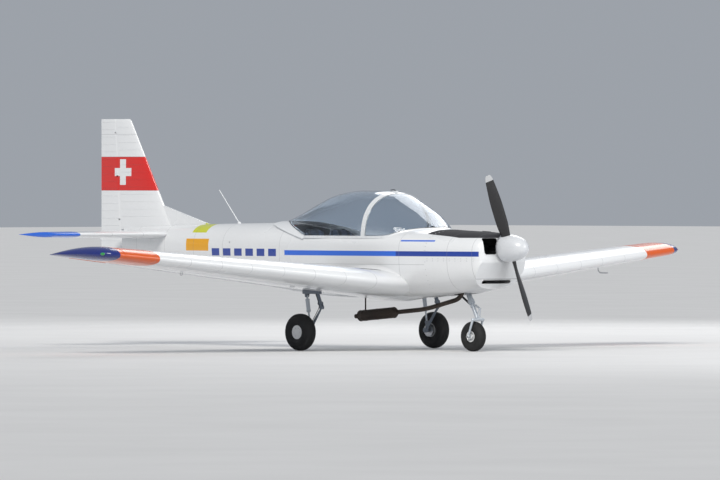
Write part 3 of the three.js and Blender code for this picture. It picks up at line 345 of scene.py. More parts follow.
def spun(profile: Outline, start: Sequence[float], direction: Vector, sides: int = 24) -> bpy.types.Object:
    """Turns a profile of radius and height about an axis.

    Args:
        profile: Pairs of radius and height, with the axis at radius zero at both ends.
        start: Where the height is zero.
        direction: Which way the height grows.
        sides: How many steps the circle has.

    Returns:
        The closed solid.
    """
    points = [(0.0, 0.0, profile[0][1])]
    for radius, height in profile[1:-1]:
        for step in range(sides):
            angle = 2 * math.pi * step / sides
            points.append((radius * math.cos(angle), radius * math.sin(angle), height))
    points.append((0.0, 0.0, profile[-1][1]))
    last = len(points) - 1
    rows = len(profile) - 2
    faces = [(0, 1 + (k + 1) % sides, 1 + k) for k in range(sides)]
    for row in range(rows - 1):
        for k in range(sides):
            here = 1 + row * sides + k
            beside = 1 + row * sides + (k + 1) % sides
            faces.append((here, beside, beside + sides, here + sides))
    top = 1 + (rows - 1) * sides
    faces += [(last, top + k, top + (k + 1) % sides) for k in range(sides)]
    return laid(solid(points, faces), Matrix.Translation(Vector(start)) @ axes_to(direction))


def ringed(profile: Outline, centre: Sequence[float], direction: Vector, sides: int = 96) -> bpy.types.Object:
    """Turns a closed profile that stays off the axis, such as a tyre's.

    Args:
        profile: Pairs of radius and height.
        centre: Where the height is zero.
        direction: Which way the height grows.
        sides: How many steps the circle has.

    Returns:
        The closed solid.
    """
    count = len(profile)
    points = []
    faces = []
    for step in range(sides):
        angle = 2 * math.pi * step / sides
        points += [(r * math.cos(angle), r * math.sin(angle), h) for r, h in profile]
        for k in range(count):
            here = step * count + k
            beside = step * count + (k + 1) % count
            shift = count if step + 1 < sides else -step * count
            faces.append((here, beside, beside + shift, here + shift))
    return laid(solid(points, faces), Matrix.Translation(Vector(centre)) @ axes_to(direction))


def rod(
    start: Sequence[float],
    end: Sequence[float],
    radius: float,
    end_radius: float | None = None,
    sides: int = 24,
    edge: float = 0.0,
) -> bpy.types.Object:
    """Makes a round bar between two points, which may taper and have its edges broken.

    Args:
        start: The middle of one end.
        end: The middle of the other.
        radius: The radius at the start.
        end_radius: The radius at the end, where it differs.
        sides: How many steps the circle has.
        edge: How much of each edge is broken.

    Returns:
        The bar.
    """
    first, along = Vector(start), Vector(end) - Vector(start)
    far = radius if end_radius is None else end_radius
    length = along.length
    if edge:
        outline = [
            (0, 0), (radius - edge, 0), (radius, edge), (far, length - edge), (far - edge, length),
            (0, length),
        ]
    else:
        outline = [(0, 0), (radius, 0), (far, length), (0, length)]
    return spun(outline, first, along.normalized(), sides)


def crossbar(
    centre: Sequence[float], half: float, radius: float, sides: int = 24, edge: float = 0.0
) -> bpy.types.Object:
    """Makes a round bar that runs across the aircraft, to half its length on both sides of its middle."""
    x, y, z = centre
    return rod((x, y - half, z), (x, y + half, z), radius, sides=sides, edge=edge)


def ball(centre: Sequence[float], radius: float, sides: int = 24) -> bpy.types.Object:
    """Makes a ball.

    Args:
        centre: Its middle.
        radius: Its radius.
        sides: How many steps its circles have.

    Returns:
        The ball.
    """
    steps = [math.pi * k / (sides // 2) for k in range(sides // 2 + 1)]
    outline = [(radius * math.sin(a), -radius * math.cos(a)) for a in steps]
    return spun(outline, centre, UPWARD, sides)


def at_level(outline: Outline, level: float, axis: Axis) -> Ring:
    """Puts a flat outline at a level of an axis.

    Args:
        outline: The flat outline.
        level: The number along the axis.
        axis: The axis.

    Returns:
        The points in space.
    """
    ring = []
    for pair in outline:
        numbers = list(pair)
        numbers.insert(axis.value, level)
        ring.append(Vector(numbers))
    return ring


def side_profile(points: Outline, from_y: float, to_y: float) -> bpy.types.Object:
    """Extrudes a side view outline of x and z across the aircraft."""
    return loft([at_level(points, y, Axis.ACROSS) for y in (from_y, to_y)])


def moved(outline: Outline, across: float, up: float) -> Outline:
    """Moves a flat outline."""
    return [(across + first, up + second) for first, second in outline]


def rounded(width: float, height: float, radius: float, steps: int = 8) -> Outline:
    """Returns a rectangle with round corners about the middle.

    Args:
        width: Its width.
        height: Its height.
        radius: The radius of its corners.
        steps: How many steps a corner has.

    Returns:
        The outline.
    """
    across, upward = width / 2 - radius, height / 2 - radius
    outline = []
    for quarter, (side, up) in enumerate(((1, 1), (-1, 1), (-1, -1), (1, -1))):
        for step in range(steps + 1):
            angle = math.pi / 2 * (quarter + step / steps)
            outline.append((side * across + radius * math.cos(angle), up * upward + radius * math.sin(angle)))
    return outline


def slab(
    size: tuple[float, float, float],
    centre: tuple[float, float],
    levels: Sequence[tuple[float, float]],
    axis: Axis,
) -> bpy.types.Object:
    """Draws a rectangle with round corners out along an axis.

    Args:
        size: Its width, its height and the radius of its corners.
        centre: Its middle.
        levels: Each level, and how much narrower it is there.
        axis: The axis.

    Returns:
        The closed solid.
    """
    width, height, radius = size
    rings = []
    for level, less in levels:
        outline = moved(rounded(width - less, height - less, radius), *centre)
        rings.append(at_level(outline, level, axis))
    return loft(rings)


def bent(start: Vector, corner: Vector, end: Vector, share: float) -> Vector:
    """Returns a point of the curve that leaves towards a corner and turns to its end."""
    return start * (1 - share) ** 2 + corner * 2 * share * (1 - share) + end * share * share


def eased(points: Outline, radius: float, steps: int = 6) -> list[tuple[float, float]]:
    """Rounds the inner corners of an open line with curves of about a radius.

    Args:
        points: The line's corners.
        radius: How far from a corner its curve starts, at most.
        steps: How many steps a curve has.

    Returns:
        The line with round corners.
    """
    line = [points[0]]
    for before, corner, after in zip(points, points[1:], points[2:]):
        here = Vector(corner)
        arms = [Vector(other) - here for other in (before, after)]
        ends = [here + arm.normalized() * min(radius, arm.length * 0.45) for arm in arms]
        for k in range(steps + 1):
            line.append(tuple(bent(ends[0], here, ends[1], k / steps)))
    line.append(points[-1])
    return line


def tube(path: Sequence[Sequence[float]], radius: float, sides: int = 16) -> bpy.types.Object:
    """Makes a round tube that follows a path of points.

    Args:
        path: The points.
        radius: The tube's radius.
        sides: How many sides it has.

    Returns:
        The tube.
    """
    spots = [Vector(point) for point in path]
    rings = []
    turn = axes_to((spots[1] - spots[0]).normalized()).to_quaternion()
    for index, spot in enumerate(spots):
        ahead = spots[min(index + 1, len(spots) - 1)] - spots[max(index - 1, 0)]
        turn = (turn @ UPWARD).rotation_difference(ahead.normalized()) @ turn
        circle = [(math.cos(a), math.sin(a), 0) for a in turns(sides)]
        rings.append([spot + turn @ (Vector(c) * radius) for c in circle])
    return loft(rings)


def curved(points: Sequence[Sequence[float]], steps: int = 8) -> list[Vector]:
    """Runs a smooth curve through points.

    Args:
        points: The points that it passes.
        steps: How many steps there are from one to the next.

    Returns:
        The points along the curve.
    """
    spots = [Vector(point) for point in points]
    ends = [spots[0] * 2 - spots[1], *spots, spots[-1] * 2 - spots[-2]]
    path = []
    for a, b, c, d in zip(ends, ends[1:], ends[2:], ends[3:]):
        for k in range(steps):
            t = k / steps
            path.append(
                0.5 * (
                    2 * b + (c - a) * t + (2 * a - 5 * b + 4 * c - d) * t**2 + (3 * b - a - 3 * c + d) * t**3
                )
            )
    path.append(spots[-1])
    return path


# Finishes


class Nodes:
    """A node tree with short ways to add nodes to it."""

    def __init__(self, tree: bpy.types.NodeTree) -> None:
        """Keeps the tree."""
        self.tree = tree

    def feed(self, socket: bpy.types.NodeSocket, value: object) -> None:
        """Links a socket, or sets it where the value is plain.

        Args:
            socket: The input.
            value: What it takes.
        """
        if isinstance(value, bpy.types.NodeSocket):
            self.tree.links.new(value, socket)
        else:
            socket.default_value = value

    def fed(self, made: bpy.types.Node, **values: object) -> bpy.types.Node:
        """Feeds a node's inputs by name, with underscores for spaces.

        Args:
            made: The node.
            values: What each named input takes.

        Returns:
            The node.
        """
        for key, value in values.items():
            self.feed(made.inputs[key.replace("_", " ")], value)
        return made

    def node(self, kind: str, *inputs: object, **options: object) -> bpy.types.Node:
        """Adds a node.

        Args:
            kind: The node's type.
            inputs: Its inputs in order, with None for one that is left alone.
            options: Its settings.

        Returns:
            The new node.
        """
        made = self.tree.nodes.new(kind)
        for key, value in options.items():
            setattr(made, key, value)
        for socket, value in zip(made.inputs, inputs):
            if value is not None:
                self.feed(socket, value)
        return made

    def sum(self, operation: str, *values: object, clamp: bool = False) -> bpy.types.NodeSocket:
        """Adds a maths node and returns its result."""
        return self.node("ShaderNodeMath", *values, operation=operation, use_clamp=clamp).outputs[0]

    def parts(self, vector: object) -> list[bpy.types.NodeSocket]:
        """Splits a place into its three numbers."""
        return list(self.node("ShaderNodeSeparateXYZ", vector).outputs)


class Shader(Nodes):
    """A material around one main shader."""

    MIX_INPUTS = (0, 6, 7)
    MIX_RESULT = 2

    def __init__(self, name: str, **settings: float | tuple[float, ...]) -> None:
        """Starts a material.

        Args:
            name: The finish's plain name.
            settings: Values for the main shader's own sockets, with underscores for spaces.
        """
        self.material = bpy.data.materials.new(name)
        self.material.use_nodes = True
        super().__init__(self.material.node_tree)
        self.tree.nodes.clear()
        self.main = self.fed(self.node("ShaderNodeBsdfPrincipled"), **settings)
        self.node("ShaderNodeOutputMaterial", self.main.outputs[0])
        self.place = self.node("ShaderNodeTexCoord").outputs["Object"]

    def blend(self, mask: object, first: object, second: object, kind: str = "MIX") -> bpy.types.NodeSocket:
        """Mixes two colours by a mask.

        Args:
            mask: The share of the second colour.
            first: The first colour.
            second: The second colour.
            kind: How the second acts on the first.

        Returns:
            The colour.
        """
        made = self.node("ShaderNodeMix", data_type="RGBA", blend_type=kind)
        for number, value in zip(self.MIX_INPUTS, (mask, first, second)):
            self.feed(made.inputs[number], value)
        return made.outputs[self.MIX_RESULT]

    def darkened(self, colour: object, shade: object) -> bpy.types.NodeSocket:
        """Darkens a colour by a shade of zero to one."""
        grey = self.node("ShaderNodeCombineColor", shade, shade, shade)
        return self.blend(1.0, colour, grey.outputs[0], "MULTIPLY")

    def use(self, tree: bpy.types.NodeTree, **inputs: object) -> bpy.types.Node:
        """Places a shared group and feeds its named inputs."""
        return self.fed(self.node("ShaderNodeGroup", node_tree=tree), **inputs)

    def bump(self, height: object, strength: float, distance: float) -> None:
        """Turns a height into a normal for the main shader."""
        made = self.fed(self.node("ShaderNodeBump"), Strength=strength, Distance=distance, Height=height)
        self.fed(self.main, Normal=made.outputs[0])


class Group(Nodes):
    """A shared shader node group."""

    def __init__(
        self, name: str, inputs: Sequence[tuple[str, str, object]], outputs: Sequence[tuple[str, str]]
    ) -> None:
        """Starts a group with its named sockets.

        Args:
            name: The group's name.
            inputs: Name, kind and first value of each input.
            outputs: Name and kind of each output.
        """
        super().__init__(bpy.data.node_groups.new(name, "ShaderNodeTree"))
        for label, kind, value in inputs:
            socket = self.tree.interface.new_socket(label, in_out="INPUT", socket_type=f"NodeSocket{kind}")
            if value is not None:
                socket.default_value = value
        for label, kind in outputs:
            self.tree.interface.new_socket(label, in_out="OUTPUT", socket_type=f"NodeSocket{kind}")
        self.given = self.tree.nodes.new("NodeGroupInput").outputs
        self.result = self.tree.nodes.new("NodeGroupOutput").inputs


def make_box_mask() -> bpy.types.NodeTree:
    """Builds the group that is one inside a box and zero outside."""
    group = Group(
        "box_mask",
        [
            ("Place", "Vector", None), ("Centre", "Vector", None), ("Half", "Vector", None),
            ("Edge", "Float", 0.001),
        ],
        [("Mask", "Float")],
    )
    offset = group.node(
        "ShaderNodeVectorMath", group.given["Place"], group.given["Centre"], operation="SUBTRACT"
    )
    folded = group.node("ShaderNodeVectorMath", offset.outputs[0], operation="ABSOLUTE")
    outside = group.node("ShaderNodeVectorMath", folded.outputs[0], group.given["Half"], operation="SUBTRACT")
    x, y, z = group.parts(outside.outputs[0])
    furthest = group.sum("MAXIMUM", group.sum("MAXIMUM", x, y), z)
    group.feed(
        group.result[0],
        group.sum("SUBTRACT", 0.5, group.sum("DIVIDE", furthest, group.given["Edge"]), clamp=True),
    )
    return group.tree


def make_line_mask() -> bpy.types.NodeTree:
    """Builds the group that marks a thin line where a number passes a place."""
    inputs = [("Value", "Float", 0.0), ("Line", "Float", 0.0), ("Width", "Float", 0.002)]
    group = Group("line_mask", inputs, [("Mask", "Float")])
    away = group.sum("ABSOLUTE", group.sum("SUBTRACT", group.given["Value"], group.given["Line"]))
    share = group.sum("DIVIDE", away, group.given["Width"])
    group.feed(group.result[0], group.sum("SUBTRACT", 1.5, share, clamp=True))
    return group.tree


def make_wear() -> bpy.types.NodeTree:
    """Builds the group that varies a finish with cloudy dirt, fine specks and a faint unevenness."""
    group = Group(
        "wear",
        [
            ("Place", "Vector", None), ("Scale", "Float", 1.0), ("Dirt", "Float", 0.1),
            ("Rough", "Float", 0.3), ("Rough Spread", "Float", 0.1), ("Grain", "Float", 60.0),
        ],
        [("Shade", "Float"), ("Roughness", "Float"), ("Height", "Float")],
    )
    cloud = group.node("ShaderNodeTexNoise", group.given["Place"], None, group.given["Scale"], 4.0)
    grain_scale = group.sum("MULTIPLY", group.given["Scale"], group.given["Grain"])
    grain = group.node("ShaderNodeTexNoise", group.given["Place"], None, grain_scale, 3.0)
    low = group.sum("SUBTRACT", 1.0, group.sum("MULTIPLY", cloud.outputs[0], group.given["Dirt"]))
    speck = group.sum("MULTIPLY", group.sum("SUBTRACT", grain.outputs[0], 0.5), group.given["Dirt"])
    group.feed(group.result["Shade"], group.sum("SUBTRACT", low, group.sum("MULTIPLY", speck, 0.4)))
    spread = group.sum("MULTIPLY", group.sum("SUBTRACT", cloud.outputs[0], 0.5), group.given["Rough Spread"])
    group.feed(
        group.result["Roughness"], group.sum("ADD", group.given["Rough"], group.sum("MULTIPLY", spread, 2.0))
    )
    group.feed(group.result["Height"], grain.outputs[0])
    return group.tree


def make_weave() -> bpy.types.NodeTree:
    """Builds the group that gives woven cloth its threads."""
    group = Group(
        "weave", [("Place", "Vector", None), ("Threads", "Float", 400.0)],
        [("Height", "Float"), ("Shade", "Float")],
    )
    waves = []
    for axis in ("X", "Y", "Z"):
        wave = group.node(
            "ShaderNodeTexWave", group.given["Place"], group.given["Threads"], bands_direction=axis
        )
        waves.append(wave.outputs["Fac"])
    crossed = group.sum("MULTIPLY", group.sum("ADD", waves[0], waves[2]), waves[1])
    group.feed(group.result["Height"], crossed)
    group.feed(group.result["Shade"], group.sum("ADD", 0.8, group.sum("MULTIPLY", crossed, 0.2)))
    return group.tree


@dataclass(frozen=True)
class Wear:
    """How much a finish varies over the surface."""

    scale: float
    dirt: float
    rough: float
    spread: float
    grain: float

    def on(self, shader: Shader, groups: dict[str, bpy.types.NodeTree]) -> bpy.types.Node:
        """Places the wear group in a material.

        Args:
            shader: The material.
            groups: The shared groups.

        Returns:
            The group's node.
        """
        return shader.use(
            groups["wear"], Place=shader.place, Scale=self.scale, Dirt=self.dirt, Rough=self.rough,
            Rough_Spread=self.spread, Grain=self.grain,
        )


@dataclass(frozen=True)
class Coat:
    """A plain finish whose colour, roughness and bump vary over the surface."""

    BUMP_DEPTH = 0.001

    name: str
    colour: tuple[float, float, float]
    rough: float
    spread: float = 0.08
    dirt: float = 0.15
    scale: float = 2.0
    grain: float = 60.0
    bump: float = 0.03
    metal: float = 0.0
    gloss: float = 0.0
    glow: float = 0.0

    def shader(self, groups: dict[str, bpy.types.NodeTree]) -> Shader:
        """Builds the material.

        Args:
            groups: The shared groups.

        Returns:
            The material with its nodes.
        """
        shader = Shader(self.name, Metallic=self.metal, Coat_Weight=self.gloss, Coat_Roughness=0.08)
        worn = Wear(self.scale, self.dirt, self.rough, self.spread, self.grain).on(shader, groups)
        colour = shader.darkened((*self.colour, 1.0), worn.outputs["Shade"])
        shader.fed(shader.main, Base_Color=colour, Roughness=worn.outputs["Roughness"])
        shader.bump(worn.outputs["Height"], self.bump, self.BUMP_DEPTH)
        if self.glow:
            shader.fed(shader.main, Emission_Color=(*self.colour, 1.0), Emission_Strength=self.glow)
        return shader


@dataclass(frozen=True)
class Patch:
    """A painted area, as the box that its edges lie in."""

    low: tuple[float, float, float]
    high: tuple[float, float, float]
    colour: tuple[float, float, float]


WHITE = (0.83, 0.845, 0.86)
STRIPE_BLUE = (0.018, 0.145, 0.74)
STRIPE_DARK = (0.012, 0.05, 0.34)
NAVY = (0.008, 0.022, 0.20)
DAYGLO = (0.74, 0.105, 0.002)
SIGNAL_RED = (0.70, 0.022, 0.016)
SIGN_YELLOW = (0.86, 0.40, 0.002)
SIGN_LIME = (0.62, 0.66, 0.004)
GLARE_BLACK = (0.026, 0.026, 0.031)
SEAT_BLUE = (0.075, 0.100, 0.160)
FAR = 9.0


def both_sides(low: float, high: float, colour: tuple[float, float, float]) -> tuple[Patch, Patch]:
    """Returns a band between two distances from the middle, to port and to starboard.

    Args:
        low: The nearer distance.
        high: The further distance.
        colour: The band's colour.

    Returns:
        The two painted areas.
    """
    return (
        Patch((-FAR, low, -FAR), (FAR, high, FAR), colour),
        Patch((-FAR, -high, -FAR), (FAR, -low, FAR), colour),
    )


def side_patch(
    low_x: float, high_x: float, low_z: float, high_z: float, colour: tuple[float, float, float]
) -> Patch:
    """Returns a painted area that shows alike on both sides."""
    return Patch((low_x, -FAR, low_z), (high_x, FAR, high_z), colour)


@dataclass(frozen=True)
class Livery:
    """White paint with painted areas and panel seams."""

    WEAR = Wear(0.9, 0.10, 0.30, 0.10, 40.0)
    GLOSS = 0.6
    MATTE = 0.62
    EDGE = 0.0015
    SEAM_WIDTH = 0.0022
    SEAM_SHARE = 0.55
    SEAM_COLOUR = (0.20, 0.21, 0.23, 1.0)
    STREAK_SHARE = 0.35
    STREAK_TOP = 1.0
    STREAK_FOOT = 0.62
    STREAK_COLOUR = (0.30, 0.27, 0.24, 1.0)
    GRAIN_SHARE = 0.05
    BUMP = (0.25, 0.0015)

    name: str
    patches: tuple[Patch, ...] = ()
    seams: tuple[tuple[int, float], ...] = ()
    streaks: bool = False
    matte: Patch | None = None

    def mask(
        self, shader: Shader, groups: dict[str, bpy.types.NodeTree], patch: Patch
    ) -> bpy.types.NodeSocket:
        """Returns the mask of a painted area.

        Args:
            shader: The material.
            groups: The shared groups.
            patch: The painted area.

        Returns:
            The mask, which is one inside the area.
        """
        centre = tuple((a + b) / 2 for a, b in zip(patch.low, patch.high))
        half = tuple((b - a) / 2 for a, b in zip(patch.low, patch.high))
        node = shader.use(groups["box_mask"], Place=shader.place, Centre=centre, Half=half, Edge=self.EDGE)
        return node.outputs[0]

    def shader(self, groups: dict[str, bpy.types.NodeTree]) -> Shader:
        """Builds the material.

        Args:
            groups: The shared groups.

        Returns:
            The material with its nodes.
        """
        shader = Shader(self.name, Coat_Weight=self.GLOSS, Coat_Roughness=0.06, Specular_IOR_Level=0.5)
        worn = self.WEAR.on(shader, groups)
        numbers = shader.parts(shader.place)
        colour: object = (*WHITE, 1.0)
        for patch in self.patches:
            colour = shader.blend(self.mask(shader, groups, patch), colour, (*patch.colour, 1.0))
        colour = shader.darkened(colour, worn.outputs["Shade"])
        height = shader.sum("MULTIPLY", worn.outputs["Height"], self.GRAIN_SHARE)
        for axis, place in self.seams:
            mask = shader.use(groups["line_mask"], Value=numbers[axis], Line=place, Width=self.SEAM_WIDTH)
            faint = shader.sum("MULTIPLY", mask.outputs[0], self.SEAM_SHARE)
            colour = shader.blend(faint, colour, self.SEAM_COLOUR)
            height = shader.sum("SUBTRACT", height, mask.outputs[0])
        if self.streaks:
            flow = shader.node("ShaderNodeMapping", shader.place, None, None, (0.6, 9.0, 9.0))
            noise = shader.node("ShaderNodeTexNoise", flow.outputs[0], None, 1.4, 5.0)
            low = shader.node(
                "ShaderNodeMapRange", numbers[2], self.STREAK_FOOT, self.STREAK_TOP, 1.0, 0.0, clamp=True
            )
            strength = shader.sum("MULTIPLY", noise.outputs[0], low.outputs[0])
            colour = shader.blend(
                shader.sum("MULTIPLY", strength, self.STREAK_SHARE), colour, self.STREAK_COLOUR
            )
        rough = worn.outputs["Roughness"]
        if self.matte:
            dull = self.mask(shader, groups, self.matte)
            rough = shader.sum("ADD", rough, shader.sum("MULTIPLY", dull, self.MATTE))
            gloss = shader.sum("MULTIPLY", shader.sum("SUBTRACT", 1.0, dull), self.GLOSS)
            shader.fed(shader.main, Coat_Weight=gloss)
        shader.fed(shader.main, Base_Color=colour, Roughness=rough)
        shader.bump(height, *self.BUMP)
        return shader


class Finishes:
    """Every material of the aircraft, each built when it is first asked for."""

    GLARE = Patch((2.46, -0.385, 1.362), (3.380, 0.385, 2.0), GLARE_BLACK)
    NOSE_PATCHES = (
        side_patch(0.10, 3.335, 1.140, 1.200, STRIPE_BLUE),
        side_patch(2.10, 3.335, 1.140, 1.200, STRIPE_DARK),
        GLARE,
        side_patch(2.16, 2.68, 1.316, 1.333, STRIPE_BLUE),
    )
    DASH_LENGTH = 0.155
    DASHES = (-0.22, -0.45, -0.68, -0.91, -1.14, -1.37)
    CLOTH_WEAR = Wear(7.0, 0.35, 0.88, 0.06, 12.0)

    def __init__(self) -> None:
        """Builds the shared groups and lists the finishes."""
        self.groups = {
            "box_mask": make_box_mask(),
            "line_mask": make_line_mask(),
            "wear": make_wear(),
            "weave": make_weave(),
        }
        self.made: dict[str, bpy.types.Material] = {}
        dashes = tuple(side_patch(x, x + self.DASH_LENGTH, 1.125, 1.215, STRIPE_DARK) for x in self.DASHES)
        signs = (
            side_patch(-1.90, -1.44, 1.183, 1.330, SIGN_YELLOW),
            side_patch(-1.83, -1.55, 1.405, 1.520, SIGN_LIME),
        )
        band = (
            side_patch(-4.0, -2.0, 1.92, 2.34, SIGNAL_RED),
            side_patch(-3.48, -3.16, 2.10, 2.20, WHITE),
            side_patch(-3.377, -3.263, 1.99, 2.31, WHITE),
        )
        sides = (*self.NOSE_PATCHES, *dashes, *signs)
        wing_band = (*both_sides(4.10, 4.66, DAYGLO), *both_sides(4.66, 5.2, NAVY))
        tail_tips = both_sides(1.46, 2.0, STRIPE_BLUE)
        ribs = tuple((1, side * y) for side in (1, -1) for y in (0.95, 1.4, 1.85, 2.3, 2.77, 3.2, 3.65, 4.16))
        tail_ribs = tuple((1, side * y) for side in (1, -1) for y in (0.55, 1.0, 1.46))
        frames = tuple((0, x) for x in (2.15, 0.0, -1.15, -1.75, -2.35, -2.95))
        plans = (
            Livery("fuselage_paint", sides, (*frames, (2, 1.04)), True, self.GLARE),
            Livery("cowl_paint", self.NOSE_PATCHES, ((0, 3.255), (0, 2.90)), True, self.GLARE),
            Livery("wing_paint", wing_band, ((0, 1.42), *ribs)),
            Livery("fin_paint", (*band, *signs), ((2, 1.92), (2, 2.34), (2, 2.62))),
            Livery("tail_paint", tail_tips, tail_ribs),
            Coat("frame_paint", (0.82, 0.84, 0.86), 0.30, gloss=0.5, dirt=0.08),
            Coat("tip_paint", NAVY, 0.26, gloss=0.6, dirt=0.2),
            Coat("spinner_paint", (0.72, 0.74, 0.77), 0.28, gloss=0.5, dirt=0.18, scale=5.0),
            Coat("blade_paint", (0.014, 0.014, 0.016), 0.42, gloss=0.2, dirt=0.4, scale=4.0),
            Coat("blade_tip", (0.56, 0.57, 0.585), 0.40, dirt=0.2, scale=4.0),
            Coat("gear_paint", (0.17, 0.20, 0.25), 0.42, gloss=0.2, dirt=0.3, scale=6.0),
            Coat("dark_steel", (0.060, 0.065, 0.075), 0.45, dirt=0.35, scale=6.0, metal=0.4),
            Coat("strut_steel", (0.58, 0.63, 0.69), 0.34, gloss=0.2, dirt=0.2, scale=6.0, metal=0.2),
            Coat("bare_alloy", (0.62, 0.63, 0.65), 0.34, dirt=0.2, scale=6.0, metal=0.9),
            Coat("rim_paint", (0.86, 0.87, 0.88), 0.34, gloss=0.3, dirt=0.22, scale=7.0),
            Coat("tyre_rubber", (0.016, 0.016, 0.017), 0.78, dirt=0.5, scale=9.0, grain=30.0, bump=0.15),
            Coat(
                "exhaust_steel", (0.085, 0.066, 0.055), 0.60, spread=0.15, dirt=0.6, scale=5.0, metal=0.6,
                bump=0.12,
            ),
            # The engine baffle is a real part; its near-black finish is painted shade for the deep recess
            # behind the nose inlets.
            Coat("baffle_shade_black", (0.010, 0.010, 0.011), 0.85, dirt=0.3, scale=5.0, bump=0.1),
            Coat("engine_case", (0.045, 0.047, 0.05), 0.6, dirt=0.4, scale=5.0, metal=0.3),
            Coat("lining", (0.20, 0.21, 0.225), 0.75, dirt=0.2, scale=4.0, grain=200.0, bump=0.2),
            Coat("carpet", (0.045, 0.05, 0.06), 0.95, dirt=0.4, scale=10.0, grain=120.0, bump=0.6),
            Coat("black_trim", (0.020, 0.020, 0.022), 0.62, dirt=0.25, scale=6.0, grain=150.0, bump=0.15),
            Coat("panel_grey", (0.075, 0.08, 0.088), 0.5, dirt=0.15, scale=6.0, grain=150.0, bump=0.1),
            Coat("dial_white", (0.72, 0.73, 0.72), 0.5, dirt=0.1, scale=10.0),
            Coat("dial_black", (0.008, 0.008, 0.009), 0.35, dirt=0.1, scale=10.0),
            Coat("knob_red", (0.45, 0.015, 0.012), 0.4, dirt=0.1, scale=10.0),
            Coat("webbing", (0.05, 0.055, 0.065), 0.8, dirt=0.2, scale=10.0, grain=80.0, bump=0.4),
            Coat("wing_walk", (0.03, 0.03, 0.032), 0.9, dirt=0.3, scale=8.0, grain=60.0, bump=0.8),
            Coat("lamp_red", (0.50, 0.01, 0.008), 0.12, dirt=0.05, gloss=1.0, glow=0.05),
            Coat("lamp_green", (0.01, 0.30, 0.06), 0.12, dirt=0.05, gloss=1.0, glow=0.05),
            Coat("lamp_clear", (0.75, 0.77, 0.80), 0.1, dirt=0.05, gloss=1.0, glow=0.1),
        )
        self.plans = {plan.name: plan for plan in plans}

    def get(self, name: str) -> bpy.types.Material:
        """Returns a finish by name.

        Args:
            name: The finish's plain name.

        Returns:
            The material.
        """
        special = {"glazing": self.glazing, "seat_cloth": self.seat_cloth}
        if name not in self.made:
            plan = self.plans.get(name)
            self.made[name] = plan.shader(self.groups).material if plan else special[name]()
        return self.made[name]

    def glazing(self) -> bpy.types.Material:
        """Builds the clear moulded plastic of the canopy and windscreen."""
        shader = Shader("glazing", Transmission_Weight=1.0, IOR=1.30, Base_Color=(0.78, 0.84, 0.90, 1.0))
        noise = shader.node("ShaderNodeTexNoise", shader.place, None, 6.0, 3.0)
        rough = shader.node("ShaderNodeMapRange", noise.outputs[0], 0.3, 0.7, 0.01, 0.045)
        shader.fed(shader.main, Roughness=rough.outputs[0])
        return shader.material

    def seat_cloth(self) -> bpy.types.Material:
        """Builds the woven cloth of the seats."""
        shader = Shader("seat_cloth", Sheen_Weight=0.4, Sheen_Roughness=0.5)
        cloth = shader.use(self.groups["weave"], Place=shader.place, Threads=260.0)
        worn = self.CLOTH_WEAR.on(shader, self.groups)
        shade = shader.sum("MULTIPLY", cloth.outputs["Shade"], worn.outputs["Shade"])
        colour = shader.darkened((*SEAT_BLUE, 1.0), shade)
        shader.fed(shader.main, Base_Color=colour, Roughness=worn.outputs["Roughness"])
        shader.bump(cloth.outputs["Height"], 0.5, 0.0006)
        return shader.material


# Pieces


class Workshop:
    """Turns modelled solids into finished pieces of the aircraft."""

    def __init__(self, finishes: Finishes) -> None:
        """Keeps the finishes that pieces are dressed with."""
        self.finishes = finishes

    def shaded(self, made: bpy.types.Object, degrees: float) -> None:
        """Merges doubled corners and marks the edges that stay sharp.

        Args:
            made: The solid.
            degrees: The angle above which an edge stays sharp.
        """
        work = bmesh.new()
        work.from_mesh(made.data)
        bmesh.ops.remove_doubles(work, verts=work.verts, dist=MERGE_DISTANCE)
        bmesh.ops.dissolve_degenerate(work, edges=work.edges, dist=MERGE_DISTANCE)
        limit = math.radians(degrees)
        for edge in work.edges:
            edge.smooth = edge.is_manifold and edge.calc_face_angle(math.pi) < limit
        for face in work.faces:
            face.smooth = True
        work.to_mesh(made.data)
        work.free()

    def piece(
        self,
        made: bpy.types.Object,
        name: str,
        body: str,
        slot: str,
        finish: str,
        nodes: Sequence[str] = (),
        degrees: float = SHARP_DEGREES,
    ) -> bpy.types.Object:
        """Finishes a piece.

        Args:
            made: The modelled solid, in millimetres.
            name: The piece's plain name.
            body: The moving body that it rides on.
            slot: The material slot's name, which is not used.
            finish: Its material.
            nodes: The part's nodes that it stands for.
            degrees: The angle above which an edge stays sharp.

        Returns:
            The finished piece, in metres.
        """
        self.shaded(made, degrees)
        made.data.transform(Matrix.Scale(METRES, 4))
        made.data.materials.clear()
        made.data.materials.append(self.finishes.get(finish))
        made.name = name
        made.data.name = name
        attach(made, body)
        if nodes:
            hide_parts(*nodes)
        LOG.info("%s: %d faces", name, len(made.data.polygons))
        return made

    def pair(
        self,
        made: bpy.types.Object,
        name: str,
        bodies: tuple[str, str],
        slot: str,
        finish: str,
        node: str = "",
    ) -> None:
        """Finishes a port piece and its mirror image to starboard.

        Args:
            made: The port solid, in millimetres.
            name: The name before the side.
            bodies: The moving bodies of the port and the starboard piece.
            slot: The material slot's name, passed on to piece, which does not use it.
            finish: The material.
            node: The name before the side of the nodes, where they stand for any.
        """
        twin = mirrored(made)
        for side, part, body in (("left", made, bodies[0]), ("right", twin, bodies[1])):
            nodes = (f"{node}_{side}",) if node else ()
            self.piece(
                part, f"{name}_{side}_{'skin' if node == name else 'piece'}", body, slot, finish, nodes
            )


# Repeated parts


